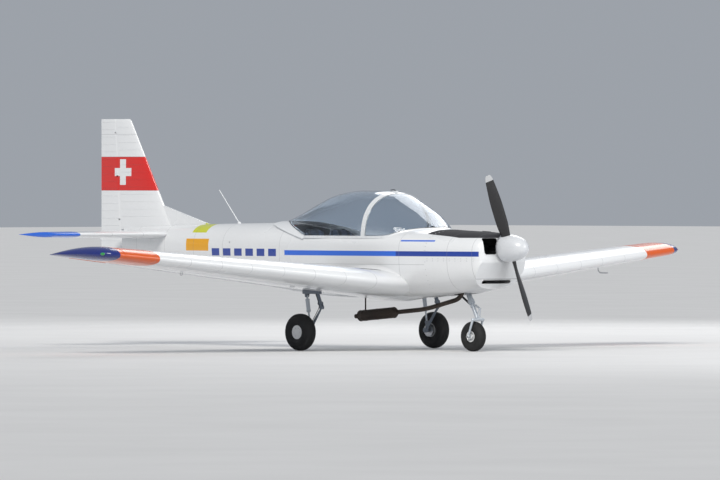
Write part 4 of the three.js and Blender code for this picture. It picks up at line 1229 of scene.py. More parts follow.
class Recipe(Nodes):
    """A Geometry Nodes tree with named sizes, which ends in Realize Instances and Set Material."""

    def __init__(self, name: str, **sizes: float) -> None:
        """Starts the tree.

        Args:
            name: The tree's name.
            sizes: Name and first value of each size, with underscores for spaces.
        """
        super().__init__(bpy.data.node_groups.new(name, "GeometryNodeTree"))
        sockets = self.tree.interface
        sockets.new_socket("Geometry", in_out="INPUT", socket_type="NodeSocketGeometry")
        for key, value in sizes.items():
            kind = "NodeSocketInt" if isinstance(value, int) else "NodeSocketFloat"
            label = key.replace("_", " ")
            sockets.new_socket(label, in_out="INPUT", socket_type=kind).default_value = value
        sockets.new_socket("Material", in_out="INPUT", socket_type="NodeSocketMaterial")
        sockets.new_socket("Geometry", in_out="OUTPUT", socket_type="NodeSocketGeometry")
        self.given = self.node("NodeGroupInput").outputs

    def close(self, result: bpy.types.NodeSocket) -> None:
        """Ends the tree.

        Args:
            result: The geometry.
        """
        realize = self.node("GeometryNodeRealizeInstances", result)
        paint = self.node("GeometryNodeSetMaterial")
        self.fed(paint, Geometry=realize.outputs[0], Material=self.given["Material"])
        self.node("NodeGroupOutput", paint.outputs[0])

    def applied_to(self, made: bpy.types.Object, sizes: dict[str, object]) -> bpy.types.Object:
        """Turns an object into the plain mesh that the tree gives.

        Args:
            made: The object that the tree works on.
            sizes: A value for each named input.

        Returns:
            The object.
        """
        modifier = made.modifiers.new(self.tree.name, "NODES")
        modifier.node_group = self.tree
        keys = {
            item.name: item.identifier for item in self.tree.interface.items_tree if item.in_out == "INPUT"
        }
        for label, value in sizes.items():
            modifier[keys[label]] = value
        return applied(made)


class Repeater:
    """Makes what repeats or follows a line."""

    ROUND_SIDES = 8

    def __init__(self, finishes: Finishes) -> None:
        """Builds the three trees and keeps the finishes that they set.

        Args:
            finishes: The materials.
        """
        self.finishes = finishes
        self.stud_recipe = self.make_stud_recipe()
        self.bead_recipe = self.make_bead_recipe()
        self.row_recipe = self.make_row_recipe()

    def make_stud_recipe(self) -> Recipe:
        """Builds the tree that puts a low cone on every point, turned to the point's own facing."""
        recipe = Recipe("studs", Radius=0.002, Tip_Radius=0.001, Height=0.001)
        given = recipe.given
        cone = recipe.node("GeometryNodeMeshCone")
        recipe.fed(cone, Vertices=self.ROUND_SIDES, Depth=given["Height"])
        recipe.fed(cone, Radius_Top=given["Tip Radius"], Radius_Bottom=given["Radius"])
        facing = recipe.node("GeometryNodeInputNamedAttribute", data_type="FLOAT_VECTOR")
        recipe.fed(facing, Name="facing")
        align = recipe.node("FunctionNodeAlignRotationToVector", axis="Z")
        recipe.fed(align, Vector=facing.outputs["Attribute"])
        instance = recipe.node("GeometryNodeInstanceOnPoints")
        recipe.fed(
            instance, Points=given["Geometry"], Instance=cone.outputs["Mesh"], Rotation=align.outputs[0]
        )
        recipe.close(instance.outputs[0])
        return recipe

    def make_bead_recipe(self) -> Recipe:
        """Builds the tree that runs a round bead along every line."""
        recipe = Recipe("beads", Radius=0.003)
        line = recipe.fed(recipe.node("GeometryNodeMeshToCurve"), Mesh=recipe.given["Geometry"])
        circle = recipe.node("GeometryNodeCurvePrimitiveCircle")
        recipe.fed(circle, Resolution=self.ROUND_SIDES, Radius=recipe.given["Radius"])
        sweep = recipe.node("GeometryNodeCurveToMesh")
        recipe.fed(sweep, Curve=line.outputs[0], Profile_Curve=circle.outputs[0], Fill_Caps=True)
        recipe.close(sweep.outputs[0])
        return recipe

    def make_row_recipe(self) -> Recipe:
        """Builds the tree that repeats a solid in a row."""
        recipe = Recipe("row", Count=4, Step_X=0.0, Step_Y=0.0, Step_Z=0.0)
        step = recipe.node("ShaderNodeCombineXYZ", *(recipe.given[f"Step {axis}"] for axis in "XYZ"))
        line = recipe.node("GeometryNodeMeshLine")
        recipe.fed(line, Count=recipe.given["Count"], Offset=step.outputs[0])
        instance = recipe.node("GeometryNodeInstanceOnPoints")
        recipe.fed(instance, Points=line.outputs[0], Instance=recipe.given["Geometry"])
        recipe.close(instance.outputs[0])
        return recipe

    def studs(
        self,
        spots: Sequence[tuple[Vector, Vector]],
        radius: float,
        height: float,
        finish: str,
        tip: float = 0.55,
    ) -> bpy.types.Object:
        """Makes screw or rivet heads.

        Args:
            spots: Place and facing of each head.
            radius: The head's radius at its foot.
            height: How far it stands out, and as far again is sunk.
            finish: Their material.
            tip: The share of the radius left at the top.

        Returns:
            All the heads as one object.
        """
        mesh = bpy.data.meshes.new("studs")
        mesh.from_pydata([tuple(place - facing.normalized() * height) for place, facing in spots], [], [])
        facings = mesh.attributes.new("facing", "FLOAT_VECTOR", "POINT")
        facings.data.foreach_set("vector", [number for _, facing in spots for number in facing.normalized()])
        sizes = {"Radius": radius, "Tip Radius": radius * tip, "Height": 2 * height}
        sizes["Material"] = self.finishes.get(finish)
        return self.stud_recipe.applied_to(placed("studs", mesh), sizes)

    def beads(
        self, lines: Sequence[Sequence[Vector]], radius: float, finish: str, closed: bool = False
    ) -> bpy.types.Object:
        """Makes round beads along lines of points.

        Args:
            lines: The points of each line.
            radius: The bead's radius.
            finish: Its material.
            closed: Whether each line ends where it starts.

        Returns:
            All the beads as one object.
        """
        points, edges = [], []
        for line in lines:
            first = len(points)
            points += [tuple(point) for point in line]
            edges += [(first + k, first + k + 1) for k in range(len(line) - 1)]
            if closed:
                edges.append((first + len(line) - 1, first))
        mesh = bpy.data.meshes.new("beads")
        mesh.from_pydata(points, edges, [])
        sizes = {"Radius": radius, "Material": self.finishes.get(finish)}
        return self.bead_recipe.applied_to(placed("beads", mesh), sizes)

    def row(self, made: bpy.types.Object, count: int, step: Sequence[float], finish: str) -> bpy.types.Object:
        """Repeats a solid a number of times, a step apart.

        Args:
            made: The solid.
            count: How many there are.
            step: From one to the next.
            finish: Their material.

        Returns:
            All of them as one object.
        """
        sizes = {f"Step {axis}": length for axis, length in zip("XYZ", step)}
        sizes |= {"Count": count, "Material": self.finishes.get(finish)}
        return self.row_recipe.applied_to(made, sizes)


# Forms that the sub-assemblies share


SILL_Z = 1350.0
TOP_Z = 2400.0
SIDE_Y = 1000.0
REAR_RIM = (-350.0, 1531.0)
FRONT_RIM = (2430.0, 1456.0)
REAR_SILL_X = 460.0
FRONT_SILL_X = 1890.0
FIREWALL_X = 2550.0
TAIL_JOINT_X = -600.0
HULL_END_X = -3296.0
REAR_SLOPE = (REAR_RIM[1] - SILL_Z) / (REAR_SILL_X - REAR_RIM[0])
FRONT_SLOPE = (FRONT_RIM[1] - SILL_Z) / (FRONT_RIM[0] - FRONT_SILL_X)
NOSE_X = 3370.0
SHAFT_Z = 1240.0
ELEVATOR_X = -2960.0
ELEVATOR_Z = 1380.0
WALL_DEPTH = 25.0
FLOOR_DEPTH = 50.0
OVERRUN = 50.0


@dataclass
class Hull:
    """The fuselage's outer form: station, half width, top, bottom, widest height, two squarenesses."""

    rows: tuple[tuple[float, ...], ...] = (
        (3370, 322, 1366, 866, 1135, 2.9, 2.6), (3366, 347, 1386, 838, 1135.5, 2.9, 2.6),
        (3358, 368, 1397, 815, 1136.5, 2.9, 2.6), (3345, 385, 1406, 795, 1138, 2.9, 2.6),
        (3270, 426, 1418, 762, 1142, 2.8, 2.7), (3120, 462, 1428, 741, 1150, 2.7, 2.8),
        (2850, 504, 1441, 697, 1166, 2.6, 2.9), (2550, 538, 1453, 664, 1188, 2.5, 3.0),
        (2280, 558, 1470, 645, 1210, 2.5, 3.1), (1890, 578, 1500, 630, 1235, 2.5, 3.2),
        (1500, 590, 1520, 624, 1245, 2.5, 3.2), (1000, 584, 1532, 626, 1240, 2.5, 3.2),
        (460, 540, 1537, 643, 1220, 2.5, 3.0), (0, 500, 1536, 680, 1210, 2.5, 2.8),
        (-350, 465, 1531, 718, 1205, 2.5, 2.6), (-1000, 388, 1522, 808, 1215, 2.3, 2.4),
        (-1750, 300, 1508, 910, 1235, 2.2, 2.2), (-2500, 212, 1492, 1010, 1260, 2.2, 2.1),
        (-3000, 140, 1478, 1080, 1280, 2.1, 2.0), (-3296, 74, 1466, 1122, 1295, 2.0, 2.0),
    )
    pairs: int = 44
    step: float = 60.0
    nose_from: float = 3200.0
    nose_step: float = 9.0

    def __post_init__(self) -> None:
        """Prepares the smooth table."""
        self.table = Table(self.rows)

    def spot(self, x: float, angle: float, inset: float = 0.0, floor: float | None = None) -> Vector:
        """Returns a point of the port side.

        Args:
            x: The station.
            angle: From zero at the top to a half turn at the bottom.
            inset: How far the skin is moved inwards.
            floor: The same for the bottom, where it differs.

        Returns:
            The point.
        """
        half, top, bottom, wide, upper, lower = self.table.at(x)
        above = angle < math.pi / 2
        power = 2 / (upper if above else lower)
        rise = top - inset - wide if above else wide - bottom - (inset if floor is None else floor)
        lean = math.cos(angle)
        z = wide + math.copysign(rise * abs(lean) ** power, lean)
        return Vector((x, (half - inset) * abs(math.sin(angle)) ** power, z))

    def facing(self, x: float, angle: float) -> Vector:
        """Returns which way the skin faces at a point of the port side.

        Args:
            x: The station.
            angle: The angle from the top.

        Returns:
            The direction.
        """
        along = self.spot(x + 5, angle) - self.spot(x - 5, angle)
        around = self.spot(x, angle + 0.01) - self.spot(x, angle - 0.01)
        return around.cross(along).normalized()

    def angle(self, x: float, z: float) -> float:
        """Returns the angle at which the skin has a height.

        Args:
            x: The station.
            z: The height.

        Returns:
            The angle from the top.
        """
        _, top, bottom, wide, upper, lower = self.table.at(x)
        over = z > wide
        share = (z - wide) / (top - wide) if over else (wide - z) / (wide - bottom)
        lean = min(1.0, share) ** ((upper if over else lower) / 2)
        return math.acos(lean if over else -lean)

    def spot_at(self, x: float, z: float) -> tuple[Vector, Vector]:
        """Returns place and facing of the port side at a height."""
        angle = self.angle(x, z)
        return self.spot(x, angle), self.facing(x, angle)

    def shell(self, start: float, end: float, lift: float, sink: float = 1.0) -> bpy.types.Object:
        """Makes a thin layer over the skin, for what is cut out of it."""
        return cut(self.skin(start, end, -lift), self.skin(start + 10, end - 10, sink))

    def side(self, x: float, z: float) -> float:
        """Returns the half width at a height.

        Args:
            x: The station.
            z: The height.

        Returns:
            The half width, or zero above and below the hull.
        """
        half, top, bottom, wide, upper, lower = self.table.at(x)
        power = upper if z > wide else lower
        reach = top - wide if z > wide else wide - bottom
        return half * max(0.0, 1 - (abs(z - wide) / reach) ** power) ** (1 / power)

    def deck(self, x: float, y: float) -> float:
        """Returns the height of the upper skin."""
        half, top, _, wide, upper, _ = self.table.at(x)
        return wide + (top - wide) * max(0.0, 1 - (abs(y) / half) ** upper) ** (1 / upper)

    def belly(self, x: float, y: float) -> float:
        """Returns the height of the lower skin."""
        half, _, bottom, wide, _, lower = self.table.at(x)
        return wide - (wide - bottom) * max(0.0, 1 - (abs(y) / half) ** lower) ** (1 / lower)

    def ring(self, x: float, inset: float, floor: float) -> Ring:
        """Returns one section.

        Args:
            x: The station.
            inset: How far the skin is moved inwards.
            floor: The same for the bottom.

        Returns:
            The points around it.
        """
        steps = [math.pi * (k + 1) / (self.pairs + 0.5) for k in range(self.pairs)]
        port = [self.spot(x, angle, inset, floor) for angle in steps]
        return [self.spot(x, 0.0, inset), *port, *(Vector((p.x, -p.y, p.z)) for p in reversed(port))]

    def skin(
        self, start: float, end: float, inset: float = 0.0, floor: float | None = None
    ) -> bpy.types.Object:
        """Makes the closed form between two stations, from the front to the back.

        Args:
            start: The front station.
            end: The back station.
            inset: How far the skin is moved inwards.
            floor: The same for the bottom, where it differs.

        Returns:
            The closed form.
        """
        bend = min(max(self.nose_from, end), start)
        near = np.linspace(start, bend, max(2, round((start - bend) / self.nose_step) + 1))
        far = np.linspace(bend, end, max(2, round((bend - end) / self.step) + 1))
        stations = sorted({round(float(x), 3) for x in (*near, *far)}, reverse=True)
        depth = inset if floor is None else floor
        return loft([self.ring(x, inset, depth) for x in stations])

    def room(self, spare: float = SEAT_GAP) -> bpy.types.Object:
        """Makes the room inside the cabin's walls and over its floor, smaller by a spare."""
        front, back = FIREWALL_X - WALL_DEPTH - spare, TAIL_JOINT_X - OVERRUN
        return self.skin(front, back, WALL_DEPTH + spare, FLOOR_DEPTH + spare)

    def seat(self, front: float, back: float) -> bpy.types.Object:
        """Makes the form between two stations with the gap of a fitted piece, for what sits on the skin."""
        return self.skin(front, back, -SEAT_GAP)


def above(line: Outline) -> bpy.types.Object:
    """Makes the block that lies over a side view line."""
    return side_profile([(line[0][0], TOP_Z), *line, (line[-1][0], TOP_Z)], -SIDE_Y, SIDE_Y)


def sill_line(front_x: float, back_x: float, lift: float) -> Outline:
    """Returns the side view of the cabin's sill, with its front corner eased.

    Args:
        front_x: The station where the line starts.
        back_x: The station where it ends.
        lift: How far it is raised.

    Returns:
        The line, from the front to the back.
    """
    level = SILL_Z + lift
    start = (front_x, level + FRONT_SLOPE * (front_x - FRONT_SILL_X))
    end = (back_x, level + REAR_SLOPE * (REAR_SILL_X - back_x))
    return [*eased([start, (FRONT_SILL_X, level), (REAR_SILL_X, level)], 150.0), end]


AIRFRAME = "airframe"
FIXED = (AIRFRAME, AIRFRAME)
FLAPS = ("left_flap", "right_flap")
AILERONS = ("left_aileron", "right_aileron")
MAIN_WHEELS = ("left_main_wheel", "right_main_wheel")
RIVET = (3.6, 0.9)


@dataclass
class Assembly:
    """A sub-assembly, with what it is made with and the hull that it fits."""

    workshop: Workshop
    repeater: Repeater
    hull: Hull

    def fixed(
        self, made: bpy.types.Object, name: str, slot: str, finish: str, *nodes: str
    ) -> bpy.types.Object:
        """Finishes a piece that stays on the airframe, and returns it in metres."""
        return self.workshop.piece(made, name, AIRFRAME, slot, finish, nodes)


# Lifting surfaces


RIB_STEP = 92
RIB_END = 0.985


@dataclass(frozen=True)
class Section:
    """One section of a wing or tail surface."""

    span: float
    lead: float
    trail: float
    thickness: float
    camber: float = 0.0
    incidence: float = 0.0
    edge: float = 5.0

    def point(self, fraction: float, side: float) -> tuple[float, float]:
        """Returns the place and the height of the surface at a share of the chord.

        Args:
            fraction: The share of the chord.
            side: One for the upper side, minus one for the lower.

        Returns:
            The place along the chord, and the height.
        """
        chord = self.lead - self.trail
        curve = 0.2969 * math.sqrt(fraction) - 0.126 * fraction - 0.3516 * fraction**2
        body = 5 * self.thickness * (curve + 0.2843 * fraction**3 - 0.1036 * fraction**4)
        middle = self.camber * 4 * fraction * (1 - fraction) - fraction * math.tan(self.incidence)
        height = middle * chord + side * (body * chord + self.edge / 2 * fraction)
        return self.lead - fraction * chord, height


@dataclass(frozen=True)
class Hinge:
    """Where a moving surface starts and ends, where its pins are, and where its axis lies."""

    inner: float
    outer: float
    pins: tuple[float, ...]
    fraction: float = 0.0
    axis: tuple[tuple[float, float], ...] = ()
    overrun: float = MOVING_GAP

    def axis_x(self, span: float) -> float:
        """Returns where the axis lies, where it is given by points."""
        (low, low_x), (high, high_x) = self.axis
        return low_x + (span - low) * (high_x - low_x) / (high - low)


@dataclass(frozen=True)
class Pivot:
    """The axis of a moving surface at one place along the span."""

    x: float
    w: float
    radius: float
    fraction: float
    trail: float


def chord_shares(count: int = 36) -> list[float]:
    """Returns shares of the chord, closer together at both of its ends."""
    return [(1 - math.cos(math.pi * (k + 1) / count)) / 2 for k in range(count)]


class Panel:
    """A surface through sections, with straight lines between them."""

    ARC_STEPS = 10
    REAR_STEPS = 8
    ROOM = 300.0
    TRAIL_ROOM = 200.0
    LUG_RADIUS = 18.0
    LUG_HALF = 4.0
    PIN_RADIUS = 4.0

    def __init__(self, sections: Sequence[Section], place: Callable[[float, float, float], Vector]) -> None:
        """Keeps the sections, in order of span, and the rule that puts a point in its place."""
        self.sections = list(sections)
        self.place = place

    def flat(self, span: float, fraction: float, side: float) -> tuple[float, float]:
        """Returns station and height above the middle plane at a share of the chord.

        Args:
            span: The distance along the span.
            fraction: The share of the chord.
            side: One or minus one.

        Returns:
            The place along the chord, and the height.
        """
        spans = [section.span for section in self.sections]
        upper = min(max(1, int(np.searchsorted(spans, span))), len(spans) - 1)
        low, high = self.sections[upper - 1], self.sections[upper]
        share = (span - low.span) / (high.span - low.span)
        first, second = low.point(fraction, side), high.point(fraction, side)
        return mix(first[0], second[0], share), mix(first[1], second[1], share)

    def at(self, span: float, fraction: float, side: float) -> Vector:
        """Returns a point of the surface."""
        return self.place(span, *self.flat(span, fraction, side))

    def facing(self, span: float, fraction: float, side: float) -> Vector:
        """Returns which way the surface faces.

        Args:
            span: The distance along the span.
            fraction: The share of the chord.
            side: One or minus one.

        Returns:
            The direction.
        """
        near, far = max(fraction - 0.01, 0.0), min(fraction + 0.01, 1.0)
        chordwise = self.at(span, far, side) - self.at(span, near, side)
        spanwise = self.at(span + 5, fraction, side) - self.at(span - 5, fraction, side)
        across = chordwise.cross(spanwise).normalized()
        outward = self.at(span, fraction, side) - self.at(span, fraction, -side)
        return across if across.dot(outward) > 0 else -across

    def patch(
        self, spans: Sequence[float], shares: Sequence[tuple[float, float]], lift: float, sink: float = 1.0
    ) -> bpy.types.Object:
        """Makes a thin plate that lies on the surface.

        Args:
            spans: Its stations along the span.
            shares: Share of the chord and side of each point across it.
            lift: How far it stands out.
            sink: How far its foot is sunk.

        Returns:
            The plate.
        """
        rings = []
        for span in spans:
            spots = [(self.at(span, *share), self.facing(span, *share)) for share in shares]
            outer = [place + facing * lift for place, facing in spots]
            rings.append([*outer, *(place - facing * sink for place, facing in reversed(spots))])
        return loft(rings)

    def ribs(
        self, spans: Sequence[float], start: Callable[[float], float], end: Callable[[float], float]
    ) -> list[Ring]:
        """Returns lines along the chord on both sides, for the ribs that are pressed in the skin.

        Args:
            spans: Where the ribs are.
            start: The share of the chord where one starts.
            end: The share where it ends.

        Returns:
            The points of each line.
        """
        return [
            [self.at(span, float(share), side) for share in np.linspace(start(span), end(span), 9)]
            for span in spans
            for side in (1, -1)
        ]

    def rivets(
        self, first: float, spars: Sequence[float], ribs: Sequence[float], pitch: float
    ) -> list[tuple[Vector, Vector]]:
        """Returns place and facing of the rivets.

        Args:
            first: The span where the rows start.
            spars: Shares of the chord of the rows along the span.
            ribs: Spans of the rows along the chord.
            pitch: The distance between rivets.

        Returns:
            The rivets of both sides.
        """
        last = self.sections[-1].span - 60
        spots = [(float(s), share) for share in spars for s in np.arange(first, last, pitch)]
        for span in ribs:
            chord = self.flat(span, 0.0, 1)[0] - self.flat(span, 1.0, 1)[0]
            spots += [(span, float(share)) for share in np.arange(spars[0], spars[-1], pitch / chord)]
        return [(self.at(s, f, side), self.facing(s, f, side)) for s, f in spots for side in (1, -1)]

    def ring(self, span: float, nose: tuple[float, float], upper: Outline, lower: Outline) -> Ring:
        """Puts an outline of nose, upper side and lower side in its place."""
        return [self.place(span, x, w) for x, w in (nose, *upper, *reversed(list(lower)))]

    def foil(self, spans: Sequence[float]) -> bpy.types.Object:
        """Makes the closed surface between stations along the span.

        Args:
            spans: The stations.

        Returns:
            The closed solid.
        """
        rings = []
        for span in spans:
            sides = [[self.flat(span, share, side) for share in chord_shares()] for side in (1, -1)]
            rings.append(self.ring(span, self.flat(span, 0.0, 1), *sides))
        return loft(rings)

    def pivot(self, hinge: Hinge, span: float) -> Pivot:
        """Returns the hinge's axis at one place along the span.

        Args:
            hinge: The moving surface's measures.
            span: The place.

        Returns:
            The axis there.
        """
        lead, trail = self.flat(span, 0.0, 1)[0], self.flat(span, 1.0, 1)[0]
        fraction = hinge.fraction or (lead - hinge.axis_x(span)) / (lead - trail)
        x, upper = self.flat(span, fraction, 1)
        lower = self.flat(span, fraction, -1)[1]
        return Pivot(x, (upper + lower) / 2, (upper - lower) / 2, fraction, trail)

    def arc(self, pivot: Pivot, radius: float, side: float) -> Outline:
        """Returns the round nose about the axis, on one side."""
        angles = [math.pi / 2 * (k + 1) / self.ARC_STEPS for k in range(self.ARC_STEPS)]
        return [(pivot.x + radius * math.cos(a), pivot.w + side * radius * math.sin(a)) for a in angles]

    def spans(self, start: float, end: float, step: float = 320.0) -> list[float]:
        """Returns stations between two spans, with every section among them.

        Args:
            start: The first span.
            end: The last one.
            step: How far two stations are apart, about.

        Returns:
            The stations.
        """
        inner = [s.span for s in self.sections if start + 1 < s.span < end - 1]
        even = np.linspace(start, end, max(2, round((end - start) / step) + 1))
        return sorted({round(float(span), 3) for span in (*inner, *even)})

    def control(self, hinge: Hinge) -> bpy.types.Object:
        """Makes a moving surface with a round nose, slots for its hinges and the pins that cross them.

        Args:
            hinge: The moving surface's measures.

        Returns:
            The moving surface.
        """
        rings = []
        for span in self.spans(hinge.inner, hinge.outer):
            pivot = self.pivot(hinge, span)
            shares = [mix(pivot.fraction, 1.0, (k + 1) / self.REAR_STEPS) for k in range(self.REAR_STEPS)]
            sides = [
                [*self.arc(pivot, pivot.radius, side), *(self.flat(span, share, side) for share in shares)]
                for side in (1, -1)
            ]
            rings.append(self.ring(span, (pivot.x + pivot.radius, pivot.w), *sides))
        hinges = [self.hinge_parts(hinge, span) for span in hinge.pins]
        delete(*(part["lug"] for part in hinges))
        slotted = cut(loft(rings), *(part["slot"] for part in hinges))
        return join(slotted, *(part["pin"] for part in hinges))

    def with_bay(self, body: bpy.types.Object, hinge: Hinge) -> bpy.types.Object:
        """Cuts the room that a moving surface turns in, and adds the lugs that hold it.

        Args:
            body: The fixed surface.
            hinge: The moving surface's measures.

        Returns:
            The fixed surface.
        """
        rings = []
        for span in self.spans(hinge.inner - MOVING_GAP, hinge.outer + hinge.overrun):
            pivot = self.pivot(hinge, span)
            radius = pivot.radius + MOVING_GAP
            sides = [
                [
                    *self.arc(pivot, radius, side),
                    (pivot.x, pivot.w + side * self.ROOM),
                    (pivot.trail - self.TRAIL_ROOM, pivot.w + side * self.ROOM),
                ]
                for side in (1, -1)
            ]
            rings.append(self.ring(span, (pivot.x + radius, pivot.w), *sides))
        hinges = [self.hinge_parts(hinge, span) for span in hinge.pins]
        delete(*(part[name] for part in hinges for name in ("slot", "pin")))
        return join(cut(body, loft(rings)), *(part["lug"] for part in hinges))

    def axis(self, hinge: Hinge) -> Vector:
        """Returns the direction of a hinge's axis, outwards.

        Args:
            hinge: The moving surface's measures.

        Returns:
            The direction.
        """
        ends = []
        for span in (hinge.inner, hinge.outer):
            pivot = self.pivot(hinge, span)
            ends.append(self.place(span, pivot.x, pivot.w))
        return (ends[1] - ends[0]).normalized()

    def hinge_parts(self, hinge: Hinge, span: float) -> dict[str, bpy.types.Object]:
        """Makes one hinge.

        Args:
            hinge: The moving surface's measures.
            span: Where the hinge is.

        Returns:
            The lug of the fixed surface, and the slot and the pin of the moving one.
        """
        pivot = self.pivot(hinge, span)
        axis = self.axis(hinge)
        centre = self.place(span, pivot.x, pivot.w)
        lug_radius = min(self.LUG_RADIUS, pivot.radius * 0.62)
        reach = pivot.x + pivot.radius + MOVING_GAP + 12
        half, room = self.LUG_HALF, self.LUG_HALF + MOVING_GAP
        eye = rod(centre - axis * half, centre + axis * half, lug_radius, edge=1.0)

        def block(spans: float, xs: tuple[float, float], height: float) -> bpy.types.Object:
            """Makes a block about the axis.

            Args:
                spans: Half its width.
                xs: Where it starts and ends along the chord.
                height: Half its height.

            Returns:
                The block.
            """
            low = self.place(span - spans, xs[0], pivot.w - height)
            high = self.place(span + spans, xs[1], pivot.w + height)
            return box([min(a, b) for a, b in zip(low, high)], [max(a, b) for a, b in zip(low, high)])

        arm = block(half, (pivot.x, reach), lug_radius)
        hole = rod(centre - axis * room, centre + axis * room, self.PIN_RADIUS + SEAT_GAP)
        slot = block(room, (pivot.x - lug_radius - MOVING_GAP, reach + 40), pivot.radius + 30)
        pin = rod(centre - axis * (room + 5), centre + axis * (room + 5), self.PIN_RADIUS)
        return {"lug": cut(join(eye, arm), hole), "slot": slot, "pin": pin}


# Fuselage


@dataclass
class Fuselage(Assembly):
    """The cabin tub, the tail cone and what is fixed on their skins."""

    cone_wall: float = 16.0
    tube_hole: float = 19.3
    liner: float = 3.0
    carpet_depth: float = 7.0
    frames: tuple[float, ...] = (2535.0, 2150.0, 0.0, -575.0, -625.0, -1150.0, -1750.0, -2350.0, -2950.0)
    stringers: tuple[float, ...] = (0.62, 1.30, 2.30)
    pitch: float = 48.0
    root: tuple[float, float, float] = (380.0, 2260.0, 1020.0)
    plate: float = 1.5
    side_plates: tuple[tuple[float, ...], ...] = (
        (-860, 1020, 240, 170), (-2720, 1290, 150, 110), (2330, 1030, 200, 150),
    )
    belly_plate: tuple[float, float, float] = (-1500.0, 260.0, 190.0)
    waist_z: float = 1040.0
    waist_row: tuple[float, float] = (-560.0, 2520.0)
    cone_row: tuple[float, float] = (-3250.0, -650.0)
    rail: tuple[float, float, float] = (-375.0, -1160.0, 16.0)
    rail_height: float = 3.4
    static_port: tuple[float, float] = (-1010.0, 1290.0)
    bumper_x: float = -3080.0
    lined: tuple[float, float] = (1846.0, -538.0)
    lining_drop: float = 20.0
    carpet_top: float = 735.0
    rear_wall: tuple[float, float] = (-555.0, -540.0)

    def build(self) -> None:
        """Makes the fuselage."""
        self.tub()
        self.cone()
        self.rivets()
        self.plates()
        self.fittings()

    def has_skin(self, place: Vector) -> bool:
        """Tells whether a rivet's place is clear of the cabin's opening and the wing root.

        Args:
            place: The rivet's place.

        Returns:
            Whether it is kept.
        """
        rim = SILL_Z - 40 + REAR_SLOPE * max(0.0, REAR_SILL_X - place.x)
        opening = REAR_RIM[0] - 120 < place.x < FRONT_RIM[0] + 40 and place.z > rim
        root_back, root_front, root_top = self.root
        root = root_back < place.x < root_front and place.z < root_top
        return not opening and not root

    def rivets(self) -> None:
        """Puts rivet heads along the frames and stringers."""
        hull = self.hull
        spots = []
        for x in self.frames:
            half, top, bottom = hull.table.at(x)[:3]
            count = round(math.pi / 4 * (2 * half + top - bottom) / self.pitch)
            angles = [math.pi * (k + 0.5) / count for k in range(count)]
            spots += [(hull.spot(x, angle), hull.facing(x, angle)) for angle in angles]
        spots += [hull.spot_at(float(x), self.waist_z) for x in np.arange(*self.waist_row, self.pitch)]
        stations = np.arange(*self.cone_row, self.pitch)
        for angle in self.stringers:
            spots += [(hull.spot(float(x), angle), hull.facing(float(x), angle)) for x in stations]
        kept = [spot for spot in spots if self.has_skin(spot[0])]
        made = with_twin(self.repeater.studs(kept, *RIVET, "fuselage_paint"))
        self.fixed(made, "fuselage_rivets", "body_paint", "fuselage_paint")

    def side_plate(self, x: float, z: float, width: float, height: float) -> bpy.types.Object:
        """Makes an access plate that follows the port side, with its screws.

        Args:
            x: The station of its middle.
            z: The height of its middle.
            width: Its width.
            height: Its height.

        Returns:
            The plate.
        """
        block = slab((width, height, 20), (x, z), ((0, 0), (SIDE_Y, 0)), Axis.ACROSS)
        made = common(block, self.hull.shell(x + width, x - width, self.plate))
        corners = moved(rounded(width - 24, height - 24, 10, 1), x, z)
        screws = self.repeater.studs(
            [self.hull.spot_at(*corner) for corner in corners], 5.0, 2.4, "fuselage_paint"
        )
        return gather(made, screws)

    def plates(self) -> None:
        """Puts access plates on both sides and under the belly."""
        sides = [self.side_plate(*sizes) for sizes in self.side_plates]
        x, length, width = self.belly_plate
        belly = common(
            slab((length, width, 24), (x, 0), ((500, 0), (1200, 0)), Axis.UP),
            self.hull.shell(x + 200, x - 200, self.plate),
        )
        made = gather(with_twin(gather(*sides)), belly)
        self.fixed(made, "access_plates", "body_paint", "fuselage_paint")

    def fittings(self) -> None:
        """Adds the canopy's rear rail, the static ports and the tail bumper."""
        hull = self.hull
        front, back, half = self.rail
        around = box((back, -half, 1300), (front, half, 1700))
        rail = common(hull.shell(front + 3, back - 5, self.rail_height), around)
        port = [hull.spot_at(*self.static_port)]
        ports = with_twin(self.repeater.studs(port, 11.0, 1.6, "bare_alloy", 0.85))
        self.fixed(gather(rail, ports), "canopy_rear_rail", "stick_steel", "bare_alloy")
        x, foot = self.bumper_x, hull.belly(self.bumper_x, 0)
        path = [(x + u, 0, foot + v) for u, v in ((95, 12), (60, -34), (0, -52), (-60, -18), (-70, 22))]
        bumper = join(tube(curved(path), 9, 16), rod((x + 10, 0, foot - 60), (x + 10, 0, foot + 20), 7))
        self.fixed(bumper, "tail_bumper", "stick_steel", "dark_steel")

    def tub(self) -> None:
        """Makes the cabin tub with its floor, lining and rear wall."""
        hull = self.hull
        made = cut(
            hull.skin(FIREWALL_X, TAIL_JOINT_X),
            hull.room(0.0),
            above(sill_line(FRONT_RIM[0], REAR_RIM[0], 0.0)),
        )
        self.fixed(made, "cabin_tub_skin", "body_paint", "fuselage_paint", "cabin_tub")
        face, under = WALL_DEPTH + self.liner, FLOOR_DEPTH + self.liner
        front, back = self.lined
        top = SILL_Z - self.lining_drop
        lining = cut(
            hull.skin(front, back, WALL_DEPTH - 0.5, FLOOR_DEPTH - 0.5),
            hull.skin(front + 1, back - 1, face, under),
            above([(FRONT_SILL_X + 10, top), (TAIL_JOINT_X, top)]),
        )
        self.fixed(lining, "cabin_lining", "lining", "lining")
        carpet = common(
            cut(
                hull.skin(front - 2, back + 2, face - 0.5, under - 0.5),
                hull.skin(front - 1, back + 1, face + 1.5, under + self.carpet_depth),
            ),
            box((TAIL_JOINT_X - 100, -SIDE_Y, 0), (2000, SIDE_Y, self.carpet_top)),
        )
        self.fixed(carpet, "cabin_carpet", "lining", "carpet")
        back, front = self.rear_wall
        wall = common(box((back, -600, 600), (front, 600, 1600)), hull.room())
        self.fixed(wall, "cabin_rear_wall", "lining", "lining", "cabin_bulkhead")

